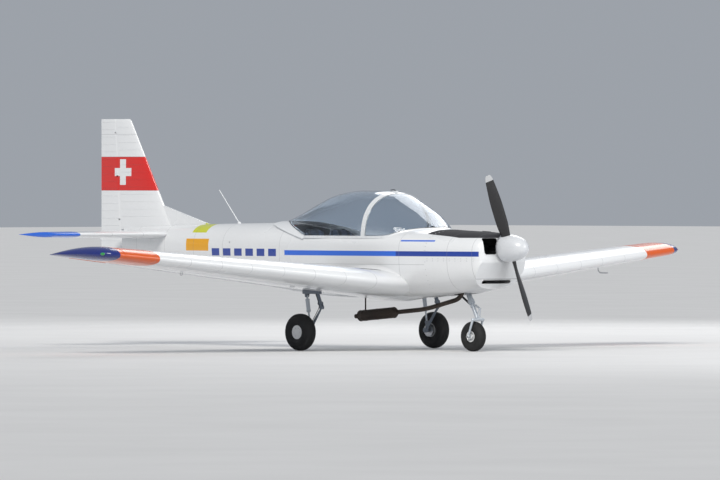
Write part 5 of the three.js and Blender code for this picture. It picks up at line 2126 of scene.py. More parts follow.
    def cone(self) -> None:
        """Makes the tail cone, open for the elevator's tube."""
        made = cut(
            self.hull.skin(TAIL_JOINT_X - SEAT_GAP, HULL_END_X),
            self.hull.skin(TAIL_JOINT_X + OVERRUN, HULL_END_X + 60, self.cone_wall),
            crossbar((ELEVATOR_X, 0, ELEVATOR_Z), 300, self.tube_hole),
        )
        self.fixed(made, "tail_cone_skin", "skin_paint", "fuselage_paint", "tail_cone")


# Cowling and engine


@dataclass(frozen=True)
class Opening:
    """An opening in the nose, as a rectangle with round corners seen from the front."""

    y: float
    z: float
    size: tuple[float, float, float]

    def outline(self) -> Outline:
        """Returns its outline."""
        return moved(rounded(*self.size), self.y, self.z)

    def cutter(self, from_x: float) -> bpy.types.Object:
        """Makes the block that cuts it."""
        return slab(self.size, (self.y, self.z), ((from_x, 0), (NOSE_X + 100, 0)), Axis.FORWARD)


@dataclass
class Cowling(Assembly):
    """The engine cowls, with rounded lips on their openings, and the engine inside."""

    NOSE_FROM = 3150.0
    HALVINGS = 24

    wall: float = 12.0
    split_z: float = 1100.0
    inlets: tuple[Opening, ...] = (Opening(224, 1262, (226, 208, 46)), Opening(-224, 1262, (226, 208, 46)))
    chin: Opening = Opening(0, 836, (490, 54, 24))
    shaft_hole: float = 84.0
    screw_pitch: float = 84.0
    screw_edge: float = 13.0
    door: tuple[float, float] = (2960.0, 190.0)
    cylinders: tuple[float, float] = (3085.0, 1205.0)
    barrel: float = 46.0
    fin: float = 66.0
    fin_count: int = 20
    fin_pitch: float = 10.6
    fin_starts: tuple[float, float] = (118.0, -322.0)
    baffle: tuple[float, float] = (3020.0, 1281.0)

    def build(self) -> None:
        """Makes the cowls and the engine."""
        self.cowls()
        self.engine()
        self.lips()
        self.fasteners()
        self.behind_inlets()

    def front(self, y: float, z: float) -> float:
        """Returns the station of the nose's surface, seen from the front.

        Args:
            y: The distance from the middle.
            z: The height.

        Returns:
            The station.
        """
        low, high = self.NOSE_FROM, NOSE_X
        if self.hull.side(high, z) > abs(y):
            low = high
        for _ in range(self.HALVINGS):
            middle = (low + high) / 2
            low, high = (middle, high) if self.hull.side(middle, z) > abs(y) else (low, middle)
        line = sorted((height, x) for x, height in self.wedge_line())
        heights, stations = zip(*line)
        return min(low, float(np.interp(z, heights, stations)))

    def lips(self) -> None:
        """Rounds the edges of the nose's openings."""
        lines = []
        for opening in (*self.inlets, self.chin):
            lines.append([Vector((self.front(y, z) - 2, y, z)) for y, z in opening.outline()])
        made = self.repeater.beads(lines, 7.0, "cowl_paint", True)
        self.fixed(made, "inlet_lips", "body_paint", "cowl_paint")

    def fasteners(self) -> None:
        """Puts screws along the cowls' edges, and the oil door on top."""
        hull = self.hull
        rows = [self.split_z + side * self.screw_edge for side in (1, -1)]
        spots = [hull.spot_at(float(x), z) for x in np.arange(2600, 3330, self.screw_pitch) for z in rows]
        spots += [(hull.spot(2566, a), hull.facing(2566, a)) for a in np.linspace(0.2, 2.85, 19)]
        screws = with_twin(self.repeater.studs(spots, 5.5, 1.3, "bare_alloy", 0.8))
        self.fixed(screws, "cowl_screws", "stick_steel", "bare_alloy")
        x, y = self.door
        block = slab((170, 150, 22), self.door, ((1250, 0), (1500, 0)), Axis.UP)
        door = common(block, hull.shell(x + 120, x - 120, 2.0))
        edge = y - 77
        line = [Vector((u, edge, hull.deck(u, edge) + 2)) for u in np.linspace(x - 70, x + 70, 8)]
        hinge = self.repeater.beads([line], 4.0, "cowl_paint")
        self.fixed(gather(door, hinge), "oil_door", "body_paint", "cowl_paint")

    def behind_inlets(self) -> None:
        """Makes what shows inside the inlets: finned cylinders and the baffle over them, whose near-black
        finish is painted shade.
        """
        x, z = self.cylinders
        fins = []
        for start in self.fin_starts:
            disc = rod((x, start, z), (x, start + 3.2, z), self.fin, sides=32)
            fins.append(self.repeater.row(disc, self.fin_count, (0, self.fin_pitch, 0), "engine_case"))
        made = gather(*fins, crossbar((x, 0, z), 330, self.barrel, 32))
        self.fixed(made, "cylinder_fins", "engine_case", "engine_case")
        inside = self.hull.skin(3300, FIREWALL_X - OVERRUN, self.wall + 1.5)
        x, z = self.baffle
        # Baffle plate over the cylinders, near-black as painted shade for the dark depth behind the inlets.
        baffle = common(box((x, -600, z), (x + 4, 600, 1500)), inside)
        self.fixed(baffle, "engine_baffle", "dark_trim", "baffle_shade_black")

    def wedge_line(self) -> Outline:
        """Returns the side view of what is cut away in front of the chin."""
        line = [(NOSE_X + 1, 1150.0), (NOSE_X + 1, 1085.0), (3205.0, 780.0), (3180.0, 640.0)]
        return eased(line, 48.0)

    def wedge(self, back: float) -> bpy.types.Object:
        """Makes the block that is cut away in front of the chin, moved back for the inner wall."""
        line = [(x - back, z) for x, z in self.wedge_line()]
        return side_profile([(3460.0, 1150.0), *line, (3460.0, 640.0)], -700, 700)

    def cowls(self) -> None:
        """Makes the upper and lower cowl."""
        shell = cut(
            cut(self.hull.skin(NOSE_X, FIREWALL_X + SEAT_GAP), self.wedge(0.0)),
            cut(self.hull.skin(NOSE_X - self.wall, FIREWALL_X - OVERRUN, self.wall), self.wedge(self.wall)),
            *(inlet.cutter(3200) for inlet in self.inlets),
            self.chin.cutter(3120),
            rod((3300, 0, SHAFT_Z), (3460, 0, SHAFT_Z), self.shaft_hole, sides=48),
            box((FIREWALL_X - OVERRUN, -165, 600), (2860, 165, 800)),
        )
        upper = common(copied(shell), box((2000, -SIDE_Y, self.split_z + SEAT_GAP), (4000, SIDE_Y, 2000)))
        lower = common(shell, box((2000, -SIDE_Y, 0), (4000, SIDE_Y, self.split_z)))
        self.fixed(upper, "upper_cowl_skin", "body_paint", "cowl_paint", "cowl_upper")
        self.fixed(lower, "lower_cowl_skin", "body_paint", "cowl_paint", "cowl_lower")

    def engine(self) -> None:
        """Makes the engine block with its shaft and mounts."""
        levels = ((2660, 16), (2668, 0), (3117, 0), (3125, 16))
        block = slab((740, 350, 30), (0, 1105), levels, Axis.FORWARD)
        mounts = [
            rod((FIREWALL_X + SEAT_GAP, y, z), (2700, y, z), 16)
            for y in (-300, 300) for z in (1000, 1230)
        ]
        made = join(block, rod((3105, 0, SHAFT_Z), (3413.7, 0, SHAFT_Z), 34), *mounts)
        self.fixed(made, "engine_casing", "engine_case", "engine_case", "engine_block")


# Canopy and windscreen


@dataclass
class Glazing(Assembly):
    """The sliding canopy and the fixed windscreen, each a frame around one clear shell."""

    rows: tuple[tuple[float, ...], ...] = (
        (2430, 70, 1420), (2330, 190, 1468), (2200, 325, 1530), (2050, 452, 1615), (1890, 542, 1712),
        (1690, 565, 1824), (1540, 574, 1896), (1400, 573, 1919), (1000, 564, 1925), (700, 551, 1892),
        (560, 541, 1846), (460, 526, 1807), (330, 488, 1757), (200, 442, 1709), (70, 391, 1664),
        (-60, 329, 1624), (-180, 268, 1590), (-290, 205, 1558), (-335, 170, 1540),
    )
    square: float = 2.3
    pairs: int = 28
    step: float = 50.0
    glass: float = 6.0
    bow_x: float = 1540.0
    bow_width: float = 34.0
    bow_gap: float = 5.0
    screen_bow: float = 26.0
    screw_inset: float = 13.0
    screw_lift: float = 16.0
    screw_step: float = 78.0
    proud: float = 4.0
    depth: float = 14.0
    rail: float = 30.0
    clearance: float = 6.0
    rim: float = 20.0
    overlap: float = 12.3
    latch: tuple[float, float, float, float] = (60.0, 44.0, 1890.0, 31.0)

    def build(self) -> None:
        """Makes the canopy and the windscreen."""
        self.table = Table(self.rows)
        self.shells()
        self.screws()
        self.handle()

    def spot(self, x: float, angle: float) -> tuple[Vector, Vector]:
        """Returns place and facing on the frame's outer face, by the angle from the top.

        Args:
            x: The station.
            angle: The angle from the top.

        Returns:
            Place and facing.
        """

        def place(station: float, turn: float) -> Vector:
            """Returns one point of the outer face.

            Args:
                station: The station.
                turn: The angle from the top.

            Returns:
                The point.
            """
            half, top = self.table.at(station)
            share = 2 / self.square
            across, up = math.sin(turn) ** share, max(0.0, math.cos(turn)) ** share
            return Vector((station, (half + self.proud) * across, SILL_Z + (top + self.proud - SILL_Z) * up))

        along = place(x + 5, angle) - place(x - 5, angle)
        around = place(x, angle + 0.01) - place(x, angle - 0.01)
        return place(x, angle), around.cross(along).normalized()

    def rail_angle(self, x: float, height: float) -> float:
        """Returns the angle at which the outer face has a height over the sill."""
        rise = self.table.at(x)[1] + self.proud - SILL_Z
        return math.acos(min(1.0, height / rise) ** (self.square / 2))

    def rail_spots(self, start: float, end: float) -> list[tuple[Vector, Vector]]:
        """Returns place and facing of a side rail's screws, between two stations."""
        stations = [float(x) for x in np.arange(start, end, self.screw_step)]
        return [self.spot(x, self.rail_angle(x, self.screw_lift)) for x in stations]

    def screws(self) -> None:
        """Puts screws along the bows and the side rails."""
        behind = [self.spot(self.bow_x - self.bow_width / 2, a) for a in np.linspace(0.12, 1.42, 20)]
        behind += self.rail_spots(500, 1500)
        edge = self.bow_x + self.bow_gap + self.screw_inset
        ahead = [self.spot(edge, a) for a in np.linspace(0.06, 1.42, 21)]
        ahead += self.rail_spots(1600, 1880)
        rows = ((behind, "canopy_screws", "canopy"), (ahead, "windscreen_screws", AIRFRAME))
        for spots, name, body in rows:
            made = with_twin(self.repeater.studs(spots, 4.2, 1.2, "bare_alloy", 0.7))
            self.workshop.piece(made, name, body, "stick_steel", "bare_alloy")

    def handle(self) -> None:
        """Makes the lever on the canopy's latch."""
        x, z = self.bow_x - 30, self.latch[2] + self.latch[3]
        lever = tube(
            curved([(x, 0, z - 4), (x - 4, 0, z + 9), (x - 30, 0, z + 13), (x - 78, 0, z + 10)]), 5, 16
        )
        boss = rod((x, 0, z - 2), (x, 0, z + 4), 15, sides=32, edge=1.5)
        self.workshop.piece(join(boss, lever), "canopy_latch_lever", "canopy", "stick_steel", "dark_steel")

    def ring(self, x: float, inset: float) -> Ring:
        """Returns one section of the bubble, closed by a foot under the sill.

        Args:
            x: The station.
            inset: How far the shell is moved inwards.

        Returns:
            The points around it.
        """
        half, top = self.table.at(x)
        wide, rise = half - inset, top - inset - SILL_Z
        port = []
        for k in range(1, self.pairs + 1):
            angle = math.pi / 2 * k / self.pairs
            y = wide * math.sin(angle) ** (2 / self.square)
            port.append(Vector((x, y, SILL_Z + rise * max(0.0, math.cos(angle)) ** (2 / self.square))))
        port.append(Vector((x, wide, SILL_Z - 60 - 2 * inset)))
        return [Vector((x, 0, SILL_Z + rise)), *port, *(Vector((p.x, -p.y, p.z)) for p in reversed(port))]

    def bubble(self, inset: float) -> bpy.types.Object:
        """Makes the bubble, moved inwards by an inset.

        Args:
            inset: How far it is moved inwards.

        Returns:
            The closed form.
        """
        front, back = self.rows[0][0], self.rows[-1][0]
        middle = (front + back) / 2
        shrink = 1 - 2 * max(0.0, inset) / (front - back)
        stations = np.linspace(front, back, round((front - back) / self.step) + 1)
        rings = []
        for x in stations:
            rings.append(
                [Vector((middle + (p.x - middle) * shrink, p.y, p.z)) for p in self.ring(float(x), inset)]
            )
        return loft(rings)

    def skirted(self, inset: float, skirt: float) -> bpy.types.Object:
        """Makes the bubble with the skirt that passes outside the rear deck.

        Args:
            inset: How far the bubble is moved inwards.
            skirt: How far the skirt is from the deck.

        Returns:
            The closed form.
        """
        back = REAR_RIM[0]
        over = common(
            self.hull.skin(REAR_SILL_X - self.clearance, back, -skirt),
            box((back - 1, -SIDE_Y, SILL_Z - 50), (REAR_SILL_X + 140, SIDE_Y, TOP_Z)),
        )
        return join(self.bubble(inset), over)

    def canopy_line(self, lift: float) -> Outline:
        """Returns the canopy's lower edge, which rests on the sill and then overlaps the rear deck.

        Args:
            lift: How far the line is raised.

        Returns:
            The side view of the line.
        """
        corner, back = sill_line(FRONT_RIM[0], REAR_RIM[0] - 300, SEAT_GAP + lift)[-2:]
        step_x = corner[0] - self.clearance
        return [
            (FRONT_RIM[0], corner[1]), (step_x, corner[1]), (step_x, corner[1] - self.overlap),
            (back[0], back[1] - self.overlap),
        ]

    def latch_box(self, spare: float) -> bpy.types.Object:
        """Makes the latch on the bow, or the room it needs in the glass.

        Args:
            spare: How much room there is around it.

        Returns:
            The box.
        """
        length, width, z, height = self.latch
        return box(
            (self.bow_x - length - spare, -width / 2 - spare, z - spare),
            (self.bow_x + spare, width / 2 + spare, z + height + spare),
        )

    def shells(self) -> None:
        """Cuts the frames and the glass out of the bubble."""
        back = REAR_RIM[0]
        inner_skirt = self.hull.skin(REAR_SILL_X + 20, back - 60, -self.clearance)
        frame = cut(self.skirted(-self.proud, self.rim), self.bubble(self.depth), copied(inner_skirt))
        glass = cut(self.skirted(0.0, self.rim - self.proud), self.bubble(self.glass), inner_skirt)

        def span(from_x: float, to_x: float) -> bpy.types.Object:
            """Makes a block between two stations."""
            return box((from_x, -SIDE_Y, 1000), (to_x, SIDE_Y, TOP_Z))

        def screen_line(lift: float) -> bpy.types.Object:
            """Makes the block over the windscreen's lower edge."""
            return above(sill_line(FRONT_RIM[0] + 60, back, lift))

        def rear_form(lift: float) -> bpy.types.Object:
            """Makes the rear deck's form, for what lies over it."""
            return self.hull.skin(REAR_SILL_X, back - 60, -self.rim - lift)

        def front_form(lift: float) -> bpy.types.Object:
            """Makes the front deck's form, for what lies over it."""
            return self.hull.skin(FIREWALL_X + 10, FRONT_SILL_X, -self.overlap - lift)

        behind, ahead = back - 60, FRONT_RIM[0] + 170
        screen_x = self.bow_x + self.bow_gap
        band = common(copied(frame), span(behind, self.bow_x), above(self.canopy_line(0.0)))
        hole = cut(
            common(span(behind, self.bow_x - self.bow_width), above(self.canopy_line(self.rail))),
            rear_form(self.proud),
        )
        latch = cut(self.latch_box(0.0), self.bubble(self.depth))
        canopy_frame = join(cut(band, hole), latch)
        canopy_glass = cut(
            common(
                copied(glass), span(behind, self.bow_x - self.bow_width - SEAT_GAP),
                above(self.canopy_line(self.rail + SEAT_GAP)),
            ),
            self.latch_box(SEAT_GAP),
            rear_form(self.proud + SEAT_GAP),
        )
        screen_frame = cut(
            common(frame, span(screen_x, ahead), screen_line(SEAT_GAP)),
            cut(common(span(screen_x + self.screen_bow, ahead), screen_line(self.rail)), front_form(0.0)),
        )
        screen_glass = cut(
            common(
                glass, span(screen_x + self.screen_bow + SEAT_GAP, ahead), screen_line(self.rail + SEAT_GAP)
            ),
            front_form(SEAT_GAP),
        )
        deck = cut(
            common(
                cut(
                    self.hull.skin(FIREWALL_X, FRONT_SILL_X + 5),
                    self.hull.skin(FIREWALL_X + 10, FRONT_SILL_X, 12.0),
                ),
                screen_line(SEAT_GAP),
            ),
            self.bubble(-self.proud - SEAT_GAP),
        )
        self.fixed(deck, "windscreen_deck", "body_paint", "fuselage_paint")
        for made, name, body, slot, finish, node in (
            (canopy_frame, "canopy_rim", "canopy", "frame_paint", "frame_paint", "canopy_frame"),
            (canopy_glass, "canopy_pane", "canopy", "clear_glazing", "glazing", "canopy_glass"),
            (screen_frame, "windscreen_rim", AIRFRAME, "frame_paint", "frame_paint", "windscreen_frame"),
            (screen_glass, "windscreen_pane", AIRFRAME, "clear_glazing", "glazing", "windscreen_glass"),
        ):
            self.workshop.piece(made, name, body, slot, finish, (node,))


# Wing


DIHEDRAL = math.radians(5.0)
WING_Z = 767.0
WING_PLACE = Matrix.Translation((0, 0, WING_Z)) @ Matrix.Rotation(DIHEDRAL, 4, "X")


@dataclass
class Wing(Assembly):
    """Both wings with their tips, flaps, ailerons and fittings."""

    root_y: float = 300.0
    tip_y: float = 4680.0
    half_span: float = 4875.0
    flap: Hinge = Hinge(760, 2750, (860, 1755, 2650), 0.76)
    aileron: Hinge = Hinge(2790, 4600, (2890, 3695, 4500), 0.77)
    jack_pad: tuple[float, float, float, float] = (1500.0, 1700.0, 28.0, 14.0)
    spars: tuple[float, ...] = (0.165, 0.42, 0.69)
    riveted_ribs: tuple[float, ...] = (950.0, 1400.0, 1850.0, 2300.0, 3200.0, 3650.0, 4160.0)
    pitch: float = 72.0
    tip_rows: tuple[tuple[float, float, float], ...] = (
        (0, 1, 1), (0.45, 0.95, 0.9), (0.75, 0.84, 0.68), (0.93, 0.68, 0.38), (1, 0.5, 0.1),
    )

    def __post_init__(self) -> None:
        """Prepares the wing's sections."""
        self.panel = Panel(
            [self.section(self.root_y), self.section(self.tip_y)], lambda s, x, w: Vector((x, s, w))
        )

    def section(self, span: float) -> Section:
        """Returns the wing's own section at a span.

        Args:
            span: The distance along the span.

        Returns:
            The section.
        """
        share = (span - 550.0) / (self.tip_y - 550.0)
        return Section(
            span, mix(2220, 1690, share), mix(420, 580, share), mix(0.175, 0.15, share), 0.02,
            math.radians(mix(3, 1, share)),
        )

    def build(self) -> None:
        """Makes the wings."""
        skin = self.panel.foil(np.linspace(self.root_y, self.tip_y, 12))
        skin = self.panel.with_bay(self.panel.with_bay(skin, self.flap), self.aileron)
        x, y, radius, drop = self.jack_pad
        under = self.panel.flat(y, 0.38, -1)[1]
        skin = join(skin, rod((x, y, under - drop), (x, y, under + 40), radius, sides=32))
        skin = cut(laid(skin, WING_PLACE), self.hull.seat(FIREWALL_X, TAIL_JOINT_X))
        self.workshop.pair(skin, "wing", FIXED, "body_paint", "wing_paint", "wing")
        for made, name, bodies, slot, finish in (
            (self.tip(), "wing_tip", FIXED, "tip_paint", "tip_paint"),
            (self.panel.control(self.flap), "flap", FLAPS, "skin_paint", "wing_paint"),
            (self.panel.control(self.aileron), "aileron", AILERONS, "skin_paint", "wing_paint"),
        ):
            self.workshop.pair(laid(made, WING_PLACE), name, bodies, slot, finish, name)
        self.skin_details()
        self.control_ribs()
        self.fittings()

    def surface(self, x: float, y: float, side: float) -> Vector:
        """Returns the point of the port wing's surface at a station and a distance from the middle.

        Args:
            x: The station.
            y: The distance from the middle.
            side: One or minus one.

        Returns:
            The point.
        """
        span = y
        place = Vector()
        for _ in range(3):
            lead, trail = self.panel.flat(span, 0.0, 1)[0], self.panel.flat(span, 1.0, 1)[0]
            place = WING_PLACE @ self.panel.at(span, (lead - x) / (lead - trail), side)
            span += y - place.y
        return place

    def fillet(self, side: float, size: float) -> bpy.types.Object:
        """Makes the curved fairing between the fuselage and the port wing, above or below it.

        Args:
            side: One above the wing, minus one below it.
            size: How far it reaches.

        Returns:
            The fairing.
        """
        rings = []
        for x in np.linspace(2150, 432, 36):
            ease = min(1.0, (2155 - x) / 380, (x - 420) / 160)
            reach = mix(6.0, size, max(0.0, ease) ** 0.6)
            y = self.hull.side(x, self.surface(x, 560, side).z)
            corner = self.surface(x, y, side)
            foot = self.surface(x, y + reach, side) - Vector((0, 0, side * 1.5))
            head_z = corner.z + side * reach
            head = Vector((x, self.hull.side(x, head_z) - 1.5, head_z))
            curve = [bent(head, corner, foot, k / 8) for k in range(9)]
            rings.append([*curve, corner + Vector((0, -14, -side * 14))])
        return loft(rings)

    def skin_details(self) -> None:
        """Adds the slats, the rivets, the root fairings and the walkway."""
        panel = self.panel
        around = [(f, 1) for f in (0.135, 0.10, 0.07, 0.045, 0.025, 0.012, 0.004, 0.0006)]
        around += [(f, -1) for f in (0.0006, 0.004, 0.012, 0.025, 0.035)]
        slat = panel.patch(panel.spans(690, 4610), around, 3.0)
        spots = panel.rivets(690, self.spars, self.riveted_ribs, self.pitch)
        rivets = self.repeater.studs(spots, *RIVET, "wing_paint")
        walk = panel.patch(
            np.linspace(640, 930, 4), [(float(f), 1) for f in np.linspace(0.17, 0.68, 16)], 1.3
        )
        for made, name, slot, finish in (
            (gather(slat, rivets), "wing_slat", "body_paint", "wing_paint"),
            (walk, "wing_walk", "dark_trim", "wing_walk"),
        ):
            self.fixed(with_twin(laid(made, WING_PLACE)), name, slot, finish)
        fillets = with_twin(gather(self.fillet(1, 78), self.fillet(-1, 40)))
        self.fixed(fillets, "wing_root_fairings", "body_paint", "fuselage_paint")

    def control_ribs(self) -> None:
        """Presses ribs in the skins of the flaps and ailerons."""
        for hinge, name, margin, bodies in (
            (self.flap, "flap", 0.055, FLAPS), (self.aileron, "aileron", 0.004, AILERONS),
        ):
            spans = np.arange(hinge.inner + RIB_STEP / 2, hinge.outer - 40, RIB_STEP)
            lines = self.panel.ribs(spans, lambda _, edge=hinge.fraction + margin: edge, lambda _: RIB_END)
            made = laid(self.repeater.beads(lines, 3.2, "wing_paint"), WING_PLACE)
            self.workshop.pair(made, f"{name}_ribs", bodies, "skin_paint", "wing_paint")

    def fittings(self) -> None:
        """Adds the fuel caps, tie-down rings, pitot head and navigation lights."""
        panel = self.panel
        spot = (1900, 0.30, 1)
        cap = spun(
            [(0, -3), (42, -3), (42, 2), (37, 4.5), (0, 4.5)], panel.at(*spot), panel.facing(*spot), 40
        )
        under = panel.at(3300, 0.45, -1)
        circle = [(20 + 4 * math.cos(a), 4 * math.sin(a)) for a in turns(12)]
        ring = ringed(circle, under - Vector((0, 0, 16)), PORT, 32)
        alloy = laid(gather(cap, ring), WING_PLACE)
        self.fixed(with_twin(alloy), "wing_caps_and_rings", "stick_steel", "bare_alloy")
        x, y, z = WING_PLACE @ panel.at(3480, 0.24, -1)
        path = [(x + u, y, z + v) for u, v in ((0, 20), (0, -35), (25, -64), (80, -70), (160, -70))]
        self.fixed(tube(curved(path), 8, 20), "pitot_head", "stick_steel", "bare_alloy")
        lens = [(0, -42), (10, -36), (17, -18), (18, 0), (15, 16), (9, 27), (0, 31)]
        lamp = spun(lens, WING_PLACE @ Vector((1560, 4842, -2)), FORWARD, 32)
        green = mirrored(lamp)
        self.fixed(lamp, "navigation_light_left", "clear_glazing", "lamp_red")
        self.fixed(green, "navigation_light_right", "clear_glazing", "lamp_green")

    def tip(self) -> bpy.types.Object:
        """Makes the rounded tip cap."""
        table = Table(self.tip_rows)
        base = self.section(self.tip_y)
        chord = base.lead - base.trail
        rings = []
        for step in range(15):
            share = math.sin(math.pi / 2 * step / 14)
            chord_share, thick_share = table.at(share)
            trimmed = chord * (1 - chord_share)
            span = mix(self.tip_y + SEAT_GAP, self.half_span / math.cos(DIHEDRAL), share)
            lift = trimmed * 0.7 * math.tan(base.incidence)
            shape = Section(
                span, base.lead - trimmed * 0.7, base.trail + trimmed * 0.3,
                base.thickness * thick_share / chord_share, base.camber, base.incidence,
            )
            outline = [shape.point(0.0, 1), *(shape.point(s, 1) for s in chord_shares())]
            outline += [shape.point(s, -1) for s in reversed(chord_shares())]
            rings.append([Vector((x, span, w - lift)) for x, w in outline])
        return loft(rings)


# Tail


@dataclass
class Tail(Assembly):
    """The tailplane, elevator, fin and rudder."""

    elevator: Hinge = Hinge(200, 1785, (330, 1000, 1680), axis=((0, ELEVATOR_X), (2000, ELEVATOR_X)))
    rudder: Hinge = Hinge(1150, 2810, (1560, 2100, 2640), axis=((1150, -3352), (2810, -3482)), overrun=60.0)
    tube: float = 18.0
    tail_x: float = -3750.0

    def __post_init__(self) -> None:
        """Prepares the sections."""
        tips = ((0, 1.0), (1805, 1.0), (1822, 0.9), (1831, 0.7), (1835, 0.45))
        self.plane = Panel(
            [
                Section(s, mix(-2280, -2600, s / 1835), mix(-3345, -3250, s / 1835), 0.1 * t, edge=5 * t)
                for s, t in tips
            ],
            lambda s, x, w: Vector((x, s, w + ELEVATOR_Z)),
        )
        fin_rows = (
            (1150, -2257, 0.084), (1440, -2423, 0.084), (2300, -2918, 0.083), (2770, -3188, 0.080),
            (2790, -3202, 0.072), (2803, -3214, 0.058), (2810, -3228, 0.036),
        )
        self.fin = Panel(
            [Section(z, lead, self.tail_x, t) for z, lead, t in fin_rows], lambda s, x, w: Vector((x, w, s))
        )

    def build(self) -> None:
        """Makes the tail."""
        self.horizontal()
        self.vertical()
        self.details()

    def details(self) -> None:
        """Adds the pressed ribs, the rivets and the tail light."""

        def bay_edge(panel: Panel, hinge: Hinge) -> Callable[[float], float]:
            """Returns the rule for where the fixed skin ends, as a share of the chord.

            Args:
                panel: The surface.
                hinge: The measures of its moving surface.

            Returns:
                The rule.
            """

            def share(span: float) -> float:
                """Returns the share at a span.

                Args:
                    span: The distance along the span.

                Returns:
                    The share.
                """
                pivot = panel.pivot(hinge, span)
                chord = panel.flat(span, 0.0, 1)[0] - pivot.trail
                return pivot.fraction - (pivot.radius + 22) / chord

            return share

        def after(panel: Panel, hinge: Hinge) -> Callable[[float], float]:
            """Returns the rule for where the moving skin's flat part starts."""
            return lambda span: panel.pivot(hinge, span).fraction + 0.004

        spans = [np.arange(*ends, RIB_STEP) for ends in ((1600, 2760), (1210, 2780), (260, 1750))]
        fin = self.fin.ribs(spans[0], lambda _: 0.035, bay_edge(self.fin, self.rudder))
        rudder = self.fin.ribs(spans[1], after(self.fin, self.rudder), lambda _: 0.988)
        elevator = self.plane.ribs(spans[2], after(self.plane, self.elevator), lambda _: RIB_END)
        for lines, name, body, finish in (
            (fin, "fin", AIRFRAME, "fin_paint"), (rudder, "rudder", "rudder_panel", "fin_paint"),
            (elevator, "elevator", "elevator_panel", "tail_paint"),
        ):
            made = self.repeater.beads(lines, 3.0, finish)
            made = with_twin(made) if name == "elevator" else made
            self.workshop.piece(made, f"{name}_ribs", body, "skin_paint", finish)
        rivets = self.repeater.studs(
            self.plane.rivets(250, (0.06, 0.30, 0.52), (550, 1000, 1460), 60.0), 3.2, 0.8, "tail_paint"
        )
        self.fixed(with_twin(rivets), "tailplane_rivets", "skin_paint", "tail_paint")
        lens = spun([(0, -6), (15, -6), (16, 6), (12, 16), (0, 21)], (-3752, 0, 1320), -FORWARD, 32)
        self.workshop.piece(lens, "tail_light", "rudder_panel", "clear_glazing", "lamp_clear")

    def horizontal(self) -> None:
        """Makes both halves of the tailplane, and the elevator on its tube."""
        half = cut(
            self.plane.foil(self.plane.spans(40, 1835)),
            self.hull.seat(TAIL_JOINT_X, HULL_END_X),
            rod((ELEVATOR_X, 40, ELEVATOR_Z), (ELEVATOR_X, 300, ELEVATOR_Z), self.tube + MOVING_GAP),
            box((-3445, 0, 1000), (HULL_END_X + 30, self.elevator.inner - 40, 1800)),
        )
        half = self.plane.with_bay(half, self.elevator)
        self.workshop.pair(half, "tailplane", FIXED, "skin_paint", "tail_paint", "tailplane")
        port = self.plane.control(self.elevator)
        reach = self.elevator.inner + 30
        made = join(port, mirrored(port), crossbar((ELEVATOR_X, 0, ELEVATOR_Z), reach, self.tube, 32))
        self.workshop.piece(
            made, "elevator_skin", "elevator_panel", "skin_paint", "tail_paint", ("elevator",)
        )

    def vertical(self) -> None:
        """Makes the fin with its fillet, and the rudder."""
        top, bottom = self.rudder.outer, 1440.0
        line = ((-1750, 1500), (-2600, 1734), (-2760, 1734), (-2760, bottom), (-1750, bottom))
        fillet = side_profile(line, -15, 15)
        proper = self.fin.foil(self.fin.spans(bottom, top))
        made = cut(join(proper, fillet), self.hull.seat(TAIL_JOINT_X, HULL_END_X))
        made = self.fin.with_bay(made, self.rudder)
        self.fixed(made, "fin_skin", "skin_paint", "fin_paint", "fin")
        rudder = self.fin.control(self.rudder)
        self.workshop.piece(rudder, "rudder_skin", "rudder_panel", "skin_paint", "fin_paint", ("rudder",))


# Propeller


